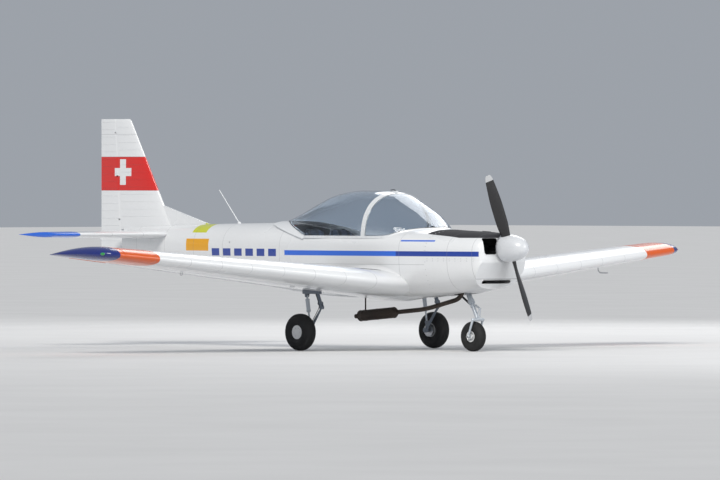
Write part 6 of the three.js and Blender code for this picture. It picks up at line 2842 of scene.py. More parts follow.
@dataclass
class Propeller(Assembly):
    """The spinner and the two blades."""

    OUTLINE_STEPS = 32
    NOSE_STEPS = 28

    base_x: float = 3400.0
    tip_x: float = 3750.0
    radius: float = 165.0
    blade_x: float = 3462.0
    rest: float = math.radians(23.0)
    hub: float = 62.0
    hub_length: float = 96.0
    skirt: float = 20.0
    tip_from: float = 868.0
    rows: tuple[tuple[float, ...], ...] = (
        (40, 96, 62, 52), (170, 112, 46, 46), (330, 142, 28, 34), (560, 148, 19, 25), (780, 124, 13, 19),
        (880, 102, 10, 17.4), (920, 80, 7.5, 16.6), (936, 54, 5.5, 16.1), (940, 34, 4, 16),
    )

    def ring(self, radius: float, grow: float) -> Ring:
        """Returns a blade's section at a radius.

        Args:
            radius: The distance from the shaft.
            grow: How much larger the section is made.

        Returns:
            The points around it.
        """
        chord, thick, pitch = Table(self.rows).at(radius)
        half, turn = (chord + grow) / 2, math.radians(pitch)
        outline = []
        for k in range(self.OUTLINE_STEPS):
            angle = 2 * math.pi * k / self.OUTLINE_STEPS
            share = math.cos(angle)
            along = half * share
            belly = (1 - share**2) ** 0.5 * (1.0 + 0.28 * share)
            side = 0.62 if math.sin(angle) > 0 else -0.38
            outline.append((along, (thick + grow) * side * belly))
        return [
            Vector((
                self.blade_x + off * math.cos(turn) + along * math.sin(turn),
                along * math.cos(turn) - off * math.sin(turn),
                radius,
            ))
            for along, off in outline
        ]

    def blades(self, grow: float, end: float = 940.0) -> bpy.types.Object:
        """Makes both blades with their hub.

        Args:
            grow: How much larger they are made.
            end: The radius where they end.

        Returns:
            Both blades and the hub as one solid.
        """
        stations = [*np.linspace(40, min(end, 900), 26), *np.linspace(906, 940, 9)]
        blade = loft([self.ring(float(r), grow) for r in stations if r <= end])
        about = Matrix.Translation((self.blade_x, 0, 0))
        other = copied(blade, about @ Matrix.Rotation(math.pi, 4, "X") @ about.inverted())
        half = self.hub_length / 2
        hub = rod(
            (self.blade_x - half, 0, 0), (self.blade_x + half + grow, 0, 0), self.hub + grow / 2, sides=48
        )
        return join(blade, other, hub)

    def build(self) -> None:
        """Makes the spinner and the blades in their resting place."""
        length = self.tip_x - self.base_x - self.skirt
        nose = []
        for k in range(self.NOSE_STEPS):
            angle = math.pi / 2 * k / self.NOSE_STEPS
            nose.append((self.radius * math.cos(angle), self.skirt + length * math.sin(angle) ** 0.9))
        outline = [(0, 0), (self.radius - 6, 0), *nose, (0, self.skirt + length)]
        cone = spun(outline, (self.base_x, 0, 0), FORWARD, 96)
        bore = rod((self.base_x - 20, 0, 0), (self.blade_x, 0, 0), self.hub + SEAT_GAP, sides=48)
        spinner = cut(cone, self.blades(2 * SEAT_GAP, 400.0), bore)
        blades = self.blades(0.0)
        place = Matrix.Translation((0, 0, SHAFT_Z)) @ Matrix.Rotation(self.rest, 4, "X")
        tips = cut(self.blades(0.8), box((3000, -400, -self.tip_from), (4000, 400, self.tip_from)))
        for made, name, slot, finish, nodes in (
            (spinner, "spinner_cone", "spinner_alloy", "spinner_paint", ("spinner",)),
            (blades, "blades_and_hub", "blade_alloy", "blade_paint", ("propeller_blades",)),
            (tips, "blade_tips", "blade_alloy", "blade_tip", ()),
        ):
            self.workshop.piece(laid(made, place), name, "propeller", slot, finish, nodes)
        circle = [Vector((0, math.cos(a), math.sin(a))) for a in turns(24)]
        middle = Vector((self.base_x + 10, 0, SHAFT_Z))
        screws = self.repeater.studs(
            [(middle + way * (self.radius - 0.4), way) for way in circle], 4.5, 1.2, "bare_alloy", 0.8
        )
        back = spun(
            [(0, 0), (140, 0), (140, 11), (self.radius + 1.5, 12), (self.radius + 1.5, 21), (0, 21)],
            (self.base_x - 22, 0, SHAFT_Z), FORWARD, 96,
        )
        hollow = rod((self.base_x - 40, 0, SHAFT_Z), (self.base_x + 40, 0, SHAFT_Z), 36, sides=32)
        made = gather(cut(back, hollow), screws)
        self.workshop.piece(made, "spinner_back_plate", "propeller", "spinner_alloy", "bare_alloy")


# Landing gear


def eye(centre: Sequence[float], radius: float, width: float) -> bpy.types.Object:
    """Makes the ring end of a link, across the aircraft, before its hole is cut."""
    return crossbar(centre, width / 2, radius, 32, 1.5)


def eye_hole(centre: Sequence[float], radius: float, width: float) -> bpy.types.Object:
    """Makes the hole of a ring end."""
    return crossbar(centre, width, radius)


def cheeks(
    outline: Outline, centre: Sequence[float], radius: float, plate: float, pin: float, gap: float = 24.0
) -> bpy.types.Object:
    """Makes two side plates around a ring end, and the pin between them.

    Args:
        outline: Side view of a plate, apart from its round end.
        centre: The pin's middle.
        radius: The round end's radius.
        plate: The plate's thickness.
        pin: The pin's radius.
        gap: The width between the plates.

    Returns:
        The plates and the pin as one solid.
    """
    x, y, z = centre
    inner = gap / 2 + SEAT_GAP
    made = crossbar(centre, inner + plate + 4, pin, edge=1.0)
    for side in (-1, 1):
        low, high = sorted((y + side * inner, y + side * (inner + plate)))
        flat = side_profile(outline, low, high)
        join(made, join(flat, rod((x, low, z), (x, high, z), radius, sides=32)))
    return made


@dataclass(frozen=True)
class Tyre:
    """The sizes of a tyre and its rim."""

    WALL = (
        (0.08, 0.84), (0.20, 0.93), (0.30, 0.975), (0.32, 0.99), (0.35, 0.99), (0.37, 0.99), (0.48, 1.0),
        (0.58, 0.99), (0.60, 1.0), (0.63, 0.995), (0.65, 0.97), (0.74, 0.92), (0.80, 0.87), (0.86, 0.78),
        (0.91, 0.67), (0.945, 0.55),
    )

    radius: float
    width: float
    bead: float
    seat: float

    def rubber(self) -> bpy.types.Object:
        """Makes the tyre with its tread grooves and moulded sidewall rings, about the origin."""
        deep = self.radius - self.bead
        half = self.width / 2
        side = [
            (0.0, self.seat), (0.05, self.seat + 3), *((share, half * width) for share, width in self.WALL),
        ]
        tread = []
        for centre in (0.42, 0.14):
            crown = 1 - 0.055 * (centre / 0.6) ** 2
            tread += [(crown, half * (centre + 0.035)), (crown - 0.045, half * (centre + 0.025))]
            tread += [(crown - 0.045, half * (centre - 0.025)), (crown, half * (centre - 0.035))]
        port = [(self.bead + deep * share, off) for share, off in (*side, *tread)]
        profile = [*port, (self.radius, 0.0), *((r, -off) for r, off in reversed(port))]
        return ringed(profile, (0, 0, 0), PORT, 72)


MAIN_TYRE = Tyre(222.5, 160, 84, 60)
NOSE_TYRE = Tyre(180.5, 127, 68, 50)


@dataclass
class MainGear(Assembly):
    """A main leg with its trailing arm, shock strut, brake and wheel, on both sides."""

    y: float = 985.0
    wheel_y: float = 1125.0
    axle_x: float = 1030.0
    knee: tuple[float, float] = (1253, 520)
    leg_top: tuple[float, float] = (1172, 700)
    strut_top: tuple[float, float] = (998, 656)
    strut_foot: tuple[float, float] = (1050, 322)
    strut_bars: tuple[tuple[float, float, float, int, float], ...] = (
        (0.02, 0.12, 11, 32, 0), (0.1, 0.58, 25, 48, 3), (0.55, 0.97, 11, 32, 0), (0.50, 0.56, 27, 48, 2),
        (0.12, 0.15, 27, 48, 2),
    )
    axle: float = 16.0

    def build(self) -> None:
        """Makes both main gears."""
        self.leg()
        self.arm()
        self.strut()
        self.wheel()
        self.brake()
        self.hub_details()

    def brake(self) -> None:
        """Makes the brake disc on the wheel, and its caliper and pipe on the leg."""
        x, z = self.axle_x, MAIN_TYRE.radius
        profile = [(24, 0), (78, 0), (78, 6), (36, 6), (31, 12), (31, 35), (24, 35)]
        disc = ringed(profile, (x, 1030, z), PORT, 64)
        self.workshop.pair(disc, "brake_disc", MAIN_WHEELS, "rim_alloy", "bare_alloy")
        block = slab((66, 46, 12), (x, z + 60), ((1010, 0), (1024, 0)), Axis.ACROSS)
        plate = slab((34, 60, 12), (x, z + 46), ((1003, 0), (1012, 0)), Axis.ACROSS)
        bolts = [
            rod((x + side * 22, 1002, z + 60), (x + side * 22, 1027, z + 60), 5, sides=12) for side in (-1, 1)
        ]
        path = [
            (x + 12, 1017, z + 78), (1070, 1014, 309), (1108, 1013, 342), (1180, 1013, 438),
            (1236, 1018, 512), (1241, 1019, 548), (1216, 1014, 606), (1184, 1012, 672), (1176, 1012, 700),
        ]
        pipe = tube(curved(path, 5), 4, 12)
        made = join(block, plate, *bolts, pipe)
        self.workshop.pair(made, "brake_caliper", FIXED, "stick_steel", "dark_steel")

    def hub_details(self) -> None:
        """Puts bolts and a valve on the outer face of the wheel."""
        x, y, z = self.axle_x, self.wheel_y + MAIN_TYRE.seat, MAIN_TYRE.radius
        places = [
            Vector((x + 53 * math.cos(a), y - 1.5, z + 53 * math.sin(a))) for a in np.arange(6) * math.pi / 3
        ]
        bolts = self.repeater.studs([(place, PORT) for place in places], 5.5, 3.5, "bare_alloy", 0.85)
        valve = rod((x + 59, y - 6, z + 33), (x + 57, y + 9, z + 32), 3.4, sides=12, edge=1)
        self.workshop.pair(gather(bolts, valve), "wheel_bolts", MAIN_WHEELS, "rim_alloy", "bare_alloy")

    def leg(self) -> None:
        """Makes the fixed leg with its bracket under the wing."""
        y, (knee_x, knee_z), (top_x, top_z) = self.y, self.knee, self.leg_top
        stop = (mix(top_x, knee_x, 0.72), mix(top_z, knee_z, 0.72))
        bracket = box((955, y - 36, 682), (1215, y + 36, 800))
        made = cut(
            join(bracket, rod((top_x, y, top_z), (stop[0], y, stop[1]), 24, sides=40)),
            self.wing_block(),
        )
        knee = cheeks(
            [
                (stop[0] - 20, stop[1] + 4), (stop[0] + 20, stop[1] + 10), (knee_x + 20, knee_z),
                (knee_x - 20, knee_z),
            ],
            (knee_x, y, knee_z), 22, 10, 10,
        )
        head_x, head_z = self.strut_top
        head = cheeks(
            [(head_x - 24, 686), (head_x + 24, 686), (head_x + 16, head_z), (head_x - 16, head_z)],
            (head_x, y, head_z), 17, 9, 8,
        )
        collar = crossbar((stop[0], y, stop[1]), 30, 22, 32, 3)
        made = join(made, collar, knee, head)
        self.workshop.pair(made, "main_leg", FIXED, "leg_steel", "gear_paint", "main_leg")

    def wing_block(self) -> bpy.types.Object:
        """Makes the room of the wing above the bracket."""
        wing = Wing(self.workshop, self.repeater, self.hull)
        block = wing.panel.foil([880.0, 1000.0, 1100.0])
        block.data.transform(Matrix.Translation((0, 0, -0.6)) @ WING_PLACE)
        return join(block, box((700, 880, 780), (1500, 1100, 900)))

    def arm(self) -> None:
        """Makes the trailing arm with the axle."""
        y, (knee_x, knee_z), z = self.y, self.knee, MAIN_TYRE.radius
        along = Vector((self.axle_x - knee_x, 0, z - knee_z)).normalized()
        start = Vector((knee_x, y, knee_z)) + along * 14
        centre = (knee_x, y, knee_z)
        foot_x, foot_z = self.strut_foot
        made = join(rod(start, (self.axle_x, y, z), 11, 22, sides=32), eye(centre, 20, 24))
        made = cut(made, eye_hole(centre, 10.4, 24), crossbar((foot_x, y, foot_z), 12.3, 20.5))
        lugs = cheeks(
            [
                (foot_x + 70, foot_z + 10), (foot_x + 8, foot_z - 72), (foot_x - 16, foot_z - 4),
                (foot_x + 10, foot_z + 16),
            ],
            (foot_x, y, foot_z), 17, 9, 8,
        )
        made = join(
            made, lugs, crossbar((self.axle_x, y, z), 24, 30, 40, 3),
            rod(
                (self.axle_x, y, z), (self.axle_x, self.wheel_y + MAIN_TYRE.seat - 8, z), self.axle, sides=32
            ),
        )
        self.workshop.pair(made, "trailing_arm", FIXED, "leg_steel", "gear_paint", "trailing_arm")

    def strut(self) -> None:
        """Makes the shock strut with its sleeve and bright piston."""
        top = Vector((self.strut_top[0], self.y, self.strut_top[1]))
        foot = Vector((self.strut_foot[0], self.y, self.strut_foot[1]))
        bars = [
            rod(top.lerp(foot, start), top.lerp(foot, end), radius, sides=sides, edge=edge)
            for start, end, radius, sides, edge in self.strut_bars
        ]
        made = join(eye(top, 16, 24), eye(foot, 16, 24), *bars)
        made = cut(made, eye_hole(top, 8.4, 24), eye_hole(foot, 8.4, 24))
        self.workshop.pair(made, "shock_strut", FIXED, "strut_steel", "strut_steel", "shock_strut")

    def wheel(self) -> None:
        """Makes the tyre, and the rim with its hub cap outside and the bore for the axle inside."""
        place = Matrix.Translation((self.axle_x, self.wheel_y, MAIN_TYRE.radius))
        edge, face, bore = MAIN_TYRE.bead - SEAT_GAP, MAIN_TYRE.seat + 2, self.axle + SEAT_GAP
        outline = [
            (0, face + 6), (edge * 0.30, face + 5.6), (edge * 0.42, face + 4), (edge * 0.50, face + 0.5),
            (edge * 0.60, face - 3), (edge * 0.78, face - 5), (edge * 0.86, face - 2), (edge * 0.92, face),
            (edge - 1, face), (edge, face - 1), (edge, -face + 1), (edge - 1, -face), (edge - 11, -face),
            (edge - 13, -face + 3), (edge - 16, face - 20), (bore + 22, face - 16), (bore + 17, face - 22),
            (bore + 16, -face), (bore, -face), (bore, face - 8), (0, face - 8),
        ]
        rim = spun(outline, (0, 0, 0), PORT, 72)
        for made, name, slot, finish in (
            (rim, "main_rim", "rim_alloy", "rim_paint"),
            (MAIN_TYRE.rubber(), "main_tyre", "tyre_rubber", "tyre_rubber"),
        ):
            self.workshop.pair(laid(made, place), name, MAIN_WHEELS, slot, finish, name)


@dataclass
class NoseGear(Assembly):
    """The nose leg, its steered fork, its brace and its wheel."""

    top: tuple[float, float] = (2672, 874)
    foot: tuple[float, float] = (2925, 382)
    radius: float = 32.0
    collar: float = 0.62
    axle_x: float = 2850.0
    fork_y: float = 86.0
    axle: float = 12.0

    def along(self, share: float) -> Vector:
        """Returns a point on the leg's axis."""
        return Vector((self.top[0], 0, self.top[1])).lerp(Vector((self.foot[0], 0, self.foot[1])), share)

    def build(self) -> None:
        """Makes the nose gear."""
        self.leg()
        self.fork()
        self.wheel()
        self.links()

    def links(self) -> None:
        """Makes the folding link ahead of the piston, and the nuts on the axle."""
        axis = (self.along(1) - self.along(0)).normalized()
        ahead = Vector((-axis.z, 0, axis.x))
        ends = ((0.675, 34), (0.815, 92), (0.955, 30))
        high, apex, low = (self.along(share) + ahead * reach for share, reach in ends)
        parts = [
            rod(self.along(0.655), self.along(0.695), 31, sides=48, edge=2),
            rod(self.along(0.94), self.along(0.97), 29, sides=48, edge=2),
        ]
        parts += [crossbar(spot, half, 6.5, 20, 1) for spot, half in ((high, 26), (apex, 17), (low, 26))]
        for side in (-1, 1):
            parts += [
                rod(end + PORT * side * 19, apex + PORT * side * 10, 6, sides=16) for end in (high, low)
            ]
        made = join(parts[0], *parts[1:])
        self.workshop.piece(made, "nose_scissor_link", "nose_steering", "leg_steel", "strut_steel")
        edge = self.fork_y + 13.3
        z = NOSE_TYRE.radius
        nut = rod((self.axle_x, edge, z), (self.axle_x, edge + 9, z), 19, sides=6, edge=1.5)
        self.workshop.piece(with_twin(nut), "nose_axle_nuts", "nose_steering", "stick_steel", "bare_alloy")

    def leg(self) -> None:
        """Makes the fixed leg and its brace."""
        made = join(
            rod(self.along(0), self.along(self.collar), self.radius, sides=48),
            rod(self.along(self.collar - 0.1), self.along(self.collar), self.radius + 8, sides=48, edge=3),
            rod(self.along(0.30), self.along(0.33), self.radius + 4, sides=48, edge=1.5),
            box((FIREWALL_X + SEAT_GAP, -60, 800), (self.top[0] + 10, 60, 884)),
        )
        self.fixed(made, "nose_leg_tube", "leg_steel", "strut_steel", "nose_leg")
        low = self.along(self.collar - 0.05) + Vector((-38, 0, -16))
        brace = join(
            rod((2590.3, 0, 700), low, 13, sides=32), box((FIREWALL_X + SEAT_GAP, -30, 675), (2610, 30, 725)),
        )
        brace = cut(brace, rod(self.along(0), self.along(1), self.radius + 8.3, sides=48))
        self.fixed(brace, "nose_brace_tube", "leg_steel", "dark_steel", "nose_brace")

    def fork(self) -> None:
        """Makes the fork with its bright piston and the axle."""
        x, z = self.foot
        gap = SEAT_GAP / (self.along(1) - self.along(0)).length
        legs = []
        for side in (-1, 1):
            shoulder, end = (x, side * self.fork_y, z), (self.axle_x, side * self.fork_y, NOSE_TYRE.radius)
            legs += [rod(shoulder, end, 15, 13, sides=32), eye(end, 21, 26), ball(shoulder, 20, 32)]
        made = join(
            rod(self.along(self.collar + gap), self.along(1), 24, sides=48),
            crossbar((x, 0, z), self.fork_y, 20, 32), *legs,
            crossbar((self.axle_x, 0, NOSE_TYRE.radius), self.fork_y + 22, self.axle),
        )
        self.workshop.piece(
            made, "nose_fork_frame", "nose_steering", "leg_steel", "strut_steel", ("nose_fork",)
        )

    def wheel(self) -> None:
        """Makes the nose wheel."""
        place = Matrix.Translation((self.axle_x, 0, NOSE_TYRE.radius))
        edge, face, bore = NOSE_TYRE.bead - SEAT_GAP, NOSE_TYRE.seat, self.axle + SEAT_GAP
        half = [
            (bore, face), (bore + 13, face), (bore + 15, face - 2), (bore + 17, 12), (edge - 16, 8),
            (edge - 13, face - 3), (edge - 10, face), (edge - 1, face), (edge, face - 1),
        ]
        profile = [*half, *((r, -h) for r, h in reversed(half))]
        rim = ringed(profile, (0, 0, 0), PORT, 64)
        for made, name, slot, finish, node in (
            (rim, "nose_rim_disc", "rim_alloy", "rim_paint", "nose_rim"),
            (NOSE_TYRE.rubber(), "nose_tyre_ring", "tyre_rubber", "tyre_rubber", "nose_tyre"),
        ):
            self.workshop.piece(laid(made, place), name, "nose_wheel", slot, finish, (node,))


# Exhaust and antenna


@dataclass
class Exhaust(Assembly):
    """The exhaust pipe and its silencer under the belly."""

    y: float = -110.0
    front: tuple[float, float] = (1610, 455)
    back: tuple[float, float] = (1017, 408)
    radius: float = 66.0
    pipe: float = 27.0

    def build(self) -> None:
        """Makes the exhaust."""
        y, (front_x, front_z), (back_x, back_z) = self.y, self.front, self.back
        route = [(2780, y, 929.7), (2780, y, 640), (2150, y, 500), (front_x + 20, y, front_z + 2)]
        flat = eased([(x, z) for x, _, z in route], 150.0, 12)
        pipe = tube([(x, y, z) for x, z in flat], self.pipe, 32)
        start, end = Vector((front_x, y, front_z)), Vector((back_x, y, back_z))
        along = (end - start).normalized()
        length = (end - start).length
        outline = [
            (0, -52), (self.pipe, -52), (self.pipe + 6, -44), (self.radius - 12, -10),
            (self.radius - 3, -2), (self.radius, 5), (self.radius, length - 8),
            (self.radius - 3, length - 2), (self.radius - 16, length + 3), (self.pipe + 4, length + 8),
            (self.pipe, length + 12), (self.pipe, length + 80), (self.pipe - 3, length + 81),
            (self.pipe - 3, length + 20), (0, length + 20),
        ]
        drum = spun(outline, start, along, 64)
        strap_x = back_x + 90
        strap = cut(
            rod((strap_x, y, back_z + 40), (strap_x, y, 720), 9, sides=24),
            self.hull.seat(FIREWALL_X, TAIL_JOINT_X),
        )
        made = join(pipe, drum, strap)
        self.fixed(made, "exhaust_pipe", "exhaust_steel", "exhaust_steel", "exhaust")
        turn = axes_to(along)
        welds = []
        for height, radius in (
            (8, self.radius), (length - 9, self.radius), (-46, self.pipe + 4), (length * 0.5, self.radius),
        ):
            circle = [Vector((radius * math.cos(a), radius * math.sin(a), height)) for a in turns(48)]
            welds.append([start + turn @ spot for spot in circle])
        rings = self.repeater.beads(welds, 2.6, "exhaust_steel", True)
        band = ringed(
            [(66.4, -11), (69, -11), (69, 11), (66.4, 11)], start + along * (length - 92), along, 64
        )
        self.fixed(gather(band, rings), "exhaust_bands", "exhaust_steel", "exhaust_steel")


@dataclass
class Antenna(Assembly):
    """The whip aerial on the rear deck."""

    x: float = -1240.0
    z: float = 1518.0
    lean: float = -360.0
    height: float = 410.0

    def build(self) -> None:
        """Makes the aerial with its tapered foot."""
        outline = [(0, -40), (22, -40), (22, 6), (16, 12), (9, 22), (0, 24)]
        foot = spun(outline, (self.x, 0, self.z), UPWARD, 32)
        tip = (self.x + self.lean, 0, self.z + self.height)
        mast = rod((self.x, 0, self.z + 4), tip, 6, 4, sides=16)
        made = cut(join(foot, mast), self.hull.seat(TAIL_JOINT_X, HULL_END_X))
        self.fixed(made, "antenna_whip", "antenna_shell", "frame_paint", "antenna")


# Cabin


@dataclass(frozen=True)
class Dial:
    """A round instrument: where it sits, how big it is and where its needle points."""

    y: float
    z: float
    radius: float
    needle: float

    def bezel(self, x: float) -> bpy.types.Object:
        """Makes the ring around the face.

        Args:
            x: The station of the panel's face.

        Returns:
            The ring.
        """
        r = self.radius
        profile = [(r - 4, 0), (r + 3, 0), (r + 3, 4), (r + 1, 7), (r - 3, 7)]
        return ringed(profile, (x, self.y, self.z), -FORWARD, 40)

    def face(self, x: float) -> bpy.types.Object:
        """Makes the dark disc."""
        return rod((x, self.y, self.z), (x - 3, self.y, self.z), self.radius - 2, sides=40)

    def marks(self, x: float) -> bpy.types.Object:
        """Makes the strokes around the face and the needle.

        Args:
            x: The station of the panel's face.

        Returns:
            The strokes and the needle as one object.
        """
        place = Matrix.Translation((x - 3.2, self.y, self.z))
        strokes = []
        for hour in range(12):
            length = 9 if hour % 3 == 0 else 6
            stroke = box((-0.4, -0.8, self.radius - 7 - length), (0.4, 0.8, self.radius - 7))
            strokes.append(laid(stroke, place @ Matrix.Rotation(hour * math.pi / 6, 4, "X")))
        line = [(-0.6, -8), (0.4, -8), (0.4, self.radius - 14), (-0.6, self.radius - 14)]
        needle = laid(side_profile(line, -1.3, 1.3), place @ Matrix.Rotation(self.needle, 4, "X"))
        return gather(needle, *strokes)


def dense(points: Sequence[Vector], step: float = 9.0) -> list[Vector]:
    """Adds points to a closed line until none is further than a step from the next.

    Args:
        points: The corners of the line.
        step: The furthest that two points may be apart.

    Returns:
        The points of the line.
    """
    line = []
    for here, after in zip(points, [*points[1:], points[0]]):
        count = max(1, round((after - here).length / step))
        line += [here.lerp(after, k / count) for k in range(count)]
    return line


@dataclass(frozen=True)
class Padding:
    """How plain forms are swollen into stuffed covers with sewn channels."""

    voxel: float = 0.011
    pressure: float = 4.0
    frames: int = 20
    reach: float = 12.0
    depth: float = 8.0
    width: float = 11.0

    def places(self, made: bpy.types.Object) -> np.ndarray:
        """Returns the corners of a mesh as rows of numbers.

        Args:
            made: The mesh's object.

        Returns:
            A row for each corner.
        """
        rows = np.empty(len(made.data.vertices) * 3)
        made.data.vertices.foreach_get("co", rows)
        return rows.reshape(-1, 3)

    def place(self, made: bpy.types.Object, rows: np.ndarray) -> None:
        """Moves the corners of a mesh to rows of numbers."""
        made.data.vertices.foreach_set("co", rows.ravel())
        made.data.update()

    def swell(self, form: bpy.types.Object) -> None:
        """Lets a cover in millimetres give way to the pressure of its stuffing, up to the reach.

        Args:
            form: The plain form, which stays in millimetres.
        """
        form.data.transform(Matrix.Scale(METRES, 4))
        remesh = form.modifiers.new("remesh", "REMESH")
        remesh.mode = "VOXEL"
        remesh.voxel_size = self.voxel
        applied(form)
        start = self.places(form)
        settings = form.modifiers.new("cloth", "CLOTH").settings
        settings.quality = 5
        settings.use_pressure = True
        settings.uniform_pressure_force = self.pressure
        settings.effector_weights.gravity = 0
        scene = bpy.context.scene
        for frame in range(1, self.frames + 1):
            scene.frame_set(frame)
        applied(form)
        scene.frame_set(1)
        moves = (self.places(form) - start) / METRES
        lengths = np.linalg.norm(moves, axis=1, keepdims=True)
        moves *= np.minimum(1.0, self.reach / np.maximum(lengths, 1e-9))
        self.place(form, start / METRES + moves)

    def stuffed(
        self, form: bpy.types.Object, floor: float, facing: Vector, lines: Sequence[tuple[Vector, float]]
    ) -> bpy.types.Object:
        """Makes a pad from a plain form in millimetres.

        Args:
            form: The form, a little smaller than the pad.
            floor: The height that it rests on, where it stays flat.
            facing: The way that its quilted face looks.
            lines: Each channel, as a direction across it and its distance along that.

        Returns:
            The pad.
        """
        self.swell(form)
        form.modifiers.new("smooth", "SUBSURF").levels = 1
        applied(form)
        rows = self.places(form)
        normals = np.array([tuple(vertex.normal) for vertex in form.data.vertices])
        groove = np.zeros(len(rows))
        for across, distance in lines:
            away = (rows @ np.array(across) - distance) / self.width
            groove = np.maximum(groove, np.exp(-away * away))
        turned = np.clip((normals @ np.array(facing) - 0.35) / 0.4, 0.0, 1.0)
        rows -= normals * (groove * turned * self.depth)[:, None]
        rows[:, 2] = np.maximum(rows[:, 2], floor)
        self.place(form, rows)
        return form


class Surface:
    """The skin of some pads, for what lies on them."""

    def __init__(self, *pads: bpy.types.Object) -> None:
        """Keeps a search tree of the pads' faces.

        Args:
            pads: The pads.
        """
        points: list[Vector] = []
        faces: list[tuple[int, ...]] = []
        for pad in pads:
            first = len(points)
            points += [vertex.co.copy() for vertex in pad.data.vertices]
            faces += [tuple(first + corner for corner in face.vertices) for face in pad.data.polygons]
        self.tree = BVHTree.FromPolygons(points, faces)

    def on(self, guide: Sequence[Vector], lift: float, closed: bool = False) -> list[tuple[Vector, Vector]]:
        """Lays a line of points on the skin.

        Args:
            guide: The points, somewhat outside it.
            lift: How far over the skin they end.
            closed: Whether the line ends where it starts.

        Returns:
            Place and facing of each point, evened out along the line.
        """
        spots = [self.tree.find_nearest(point)[:2] for point in guide]
        spots = [(place + normal * lift, normal) for place, normal in spots]
        for _ in range(3):
            last = len(spots) - 1
            around = []
            for index, (place, normal) in enumerate(spots):
                if not closed and index in (0, last):
                    around.append((place, normal))
                    continue
                before, after = spots[index - 1], spots[(index + 1) % len(spots)]
                middle = (before[0] + after[0]) * 0.25 + place * 0.5
                around.append((middle, (before[1] + after[1] + normal * 2).normalized()))
            spots = around
        return spots

    def strap(self, guide: Sequence[Vector], width: float, lift: float = 2.5) -> bpy.types.Object:
        """Makes a flat strap that lies along a line on the skin.

        Args:
            guide: The line, somewhat outside the skin.
            width: The strap's width.
            lift: How far over the skin its middle lies.

        Returns:
            The strap.
        """
        spots = self.on(guide, lift)
        rings = []
        for index, (place, normal) in enumerate(spots):
            ahead = spots[min(index + 1, len(spots) - 1)][0] - spots[max(index - 1, 0)][0]
            across = normal.cross(ahead).normalized() * width / 2
            up = normal * 1.1
            rings.append([place + across - up, place + across + up, place - across + up, place - across - up])
        return loft(rings)


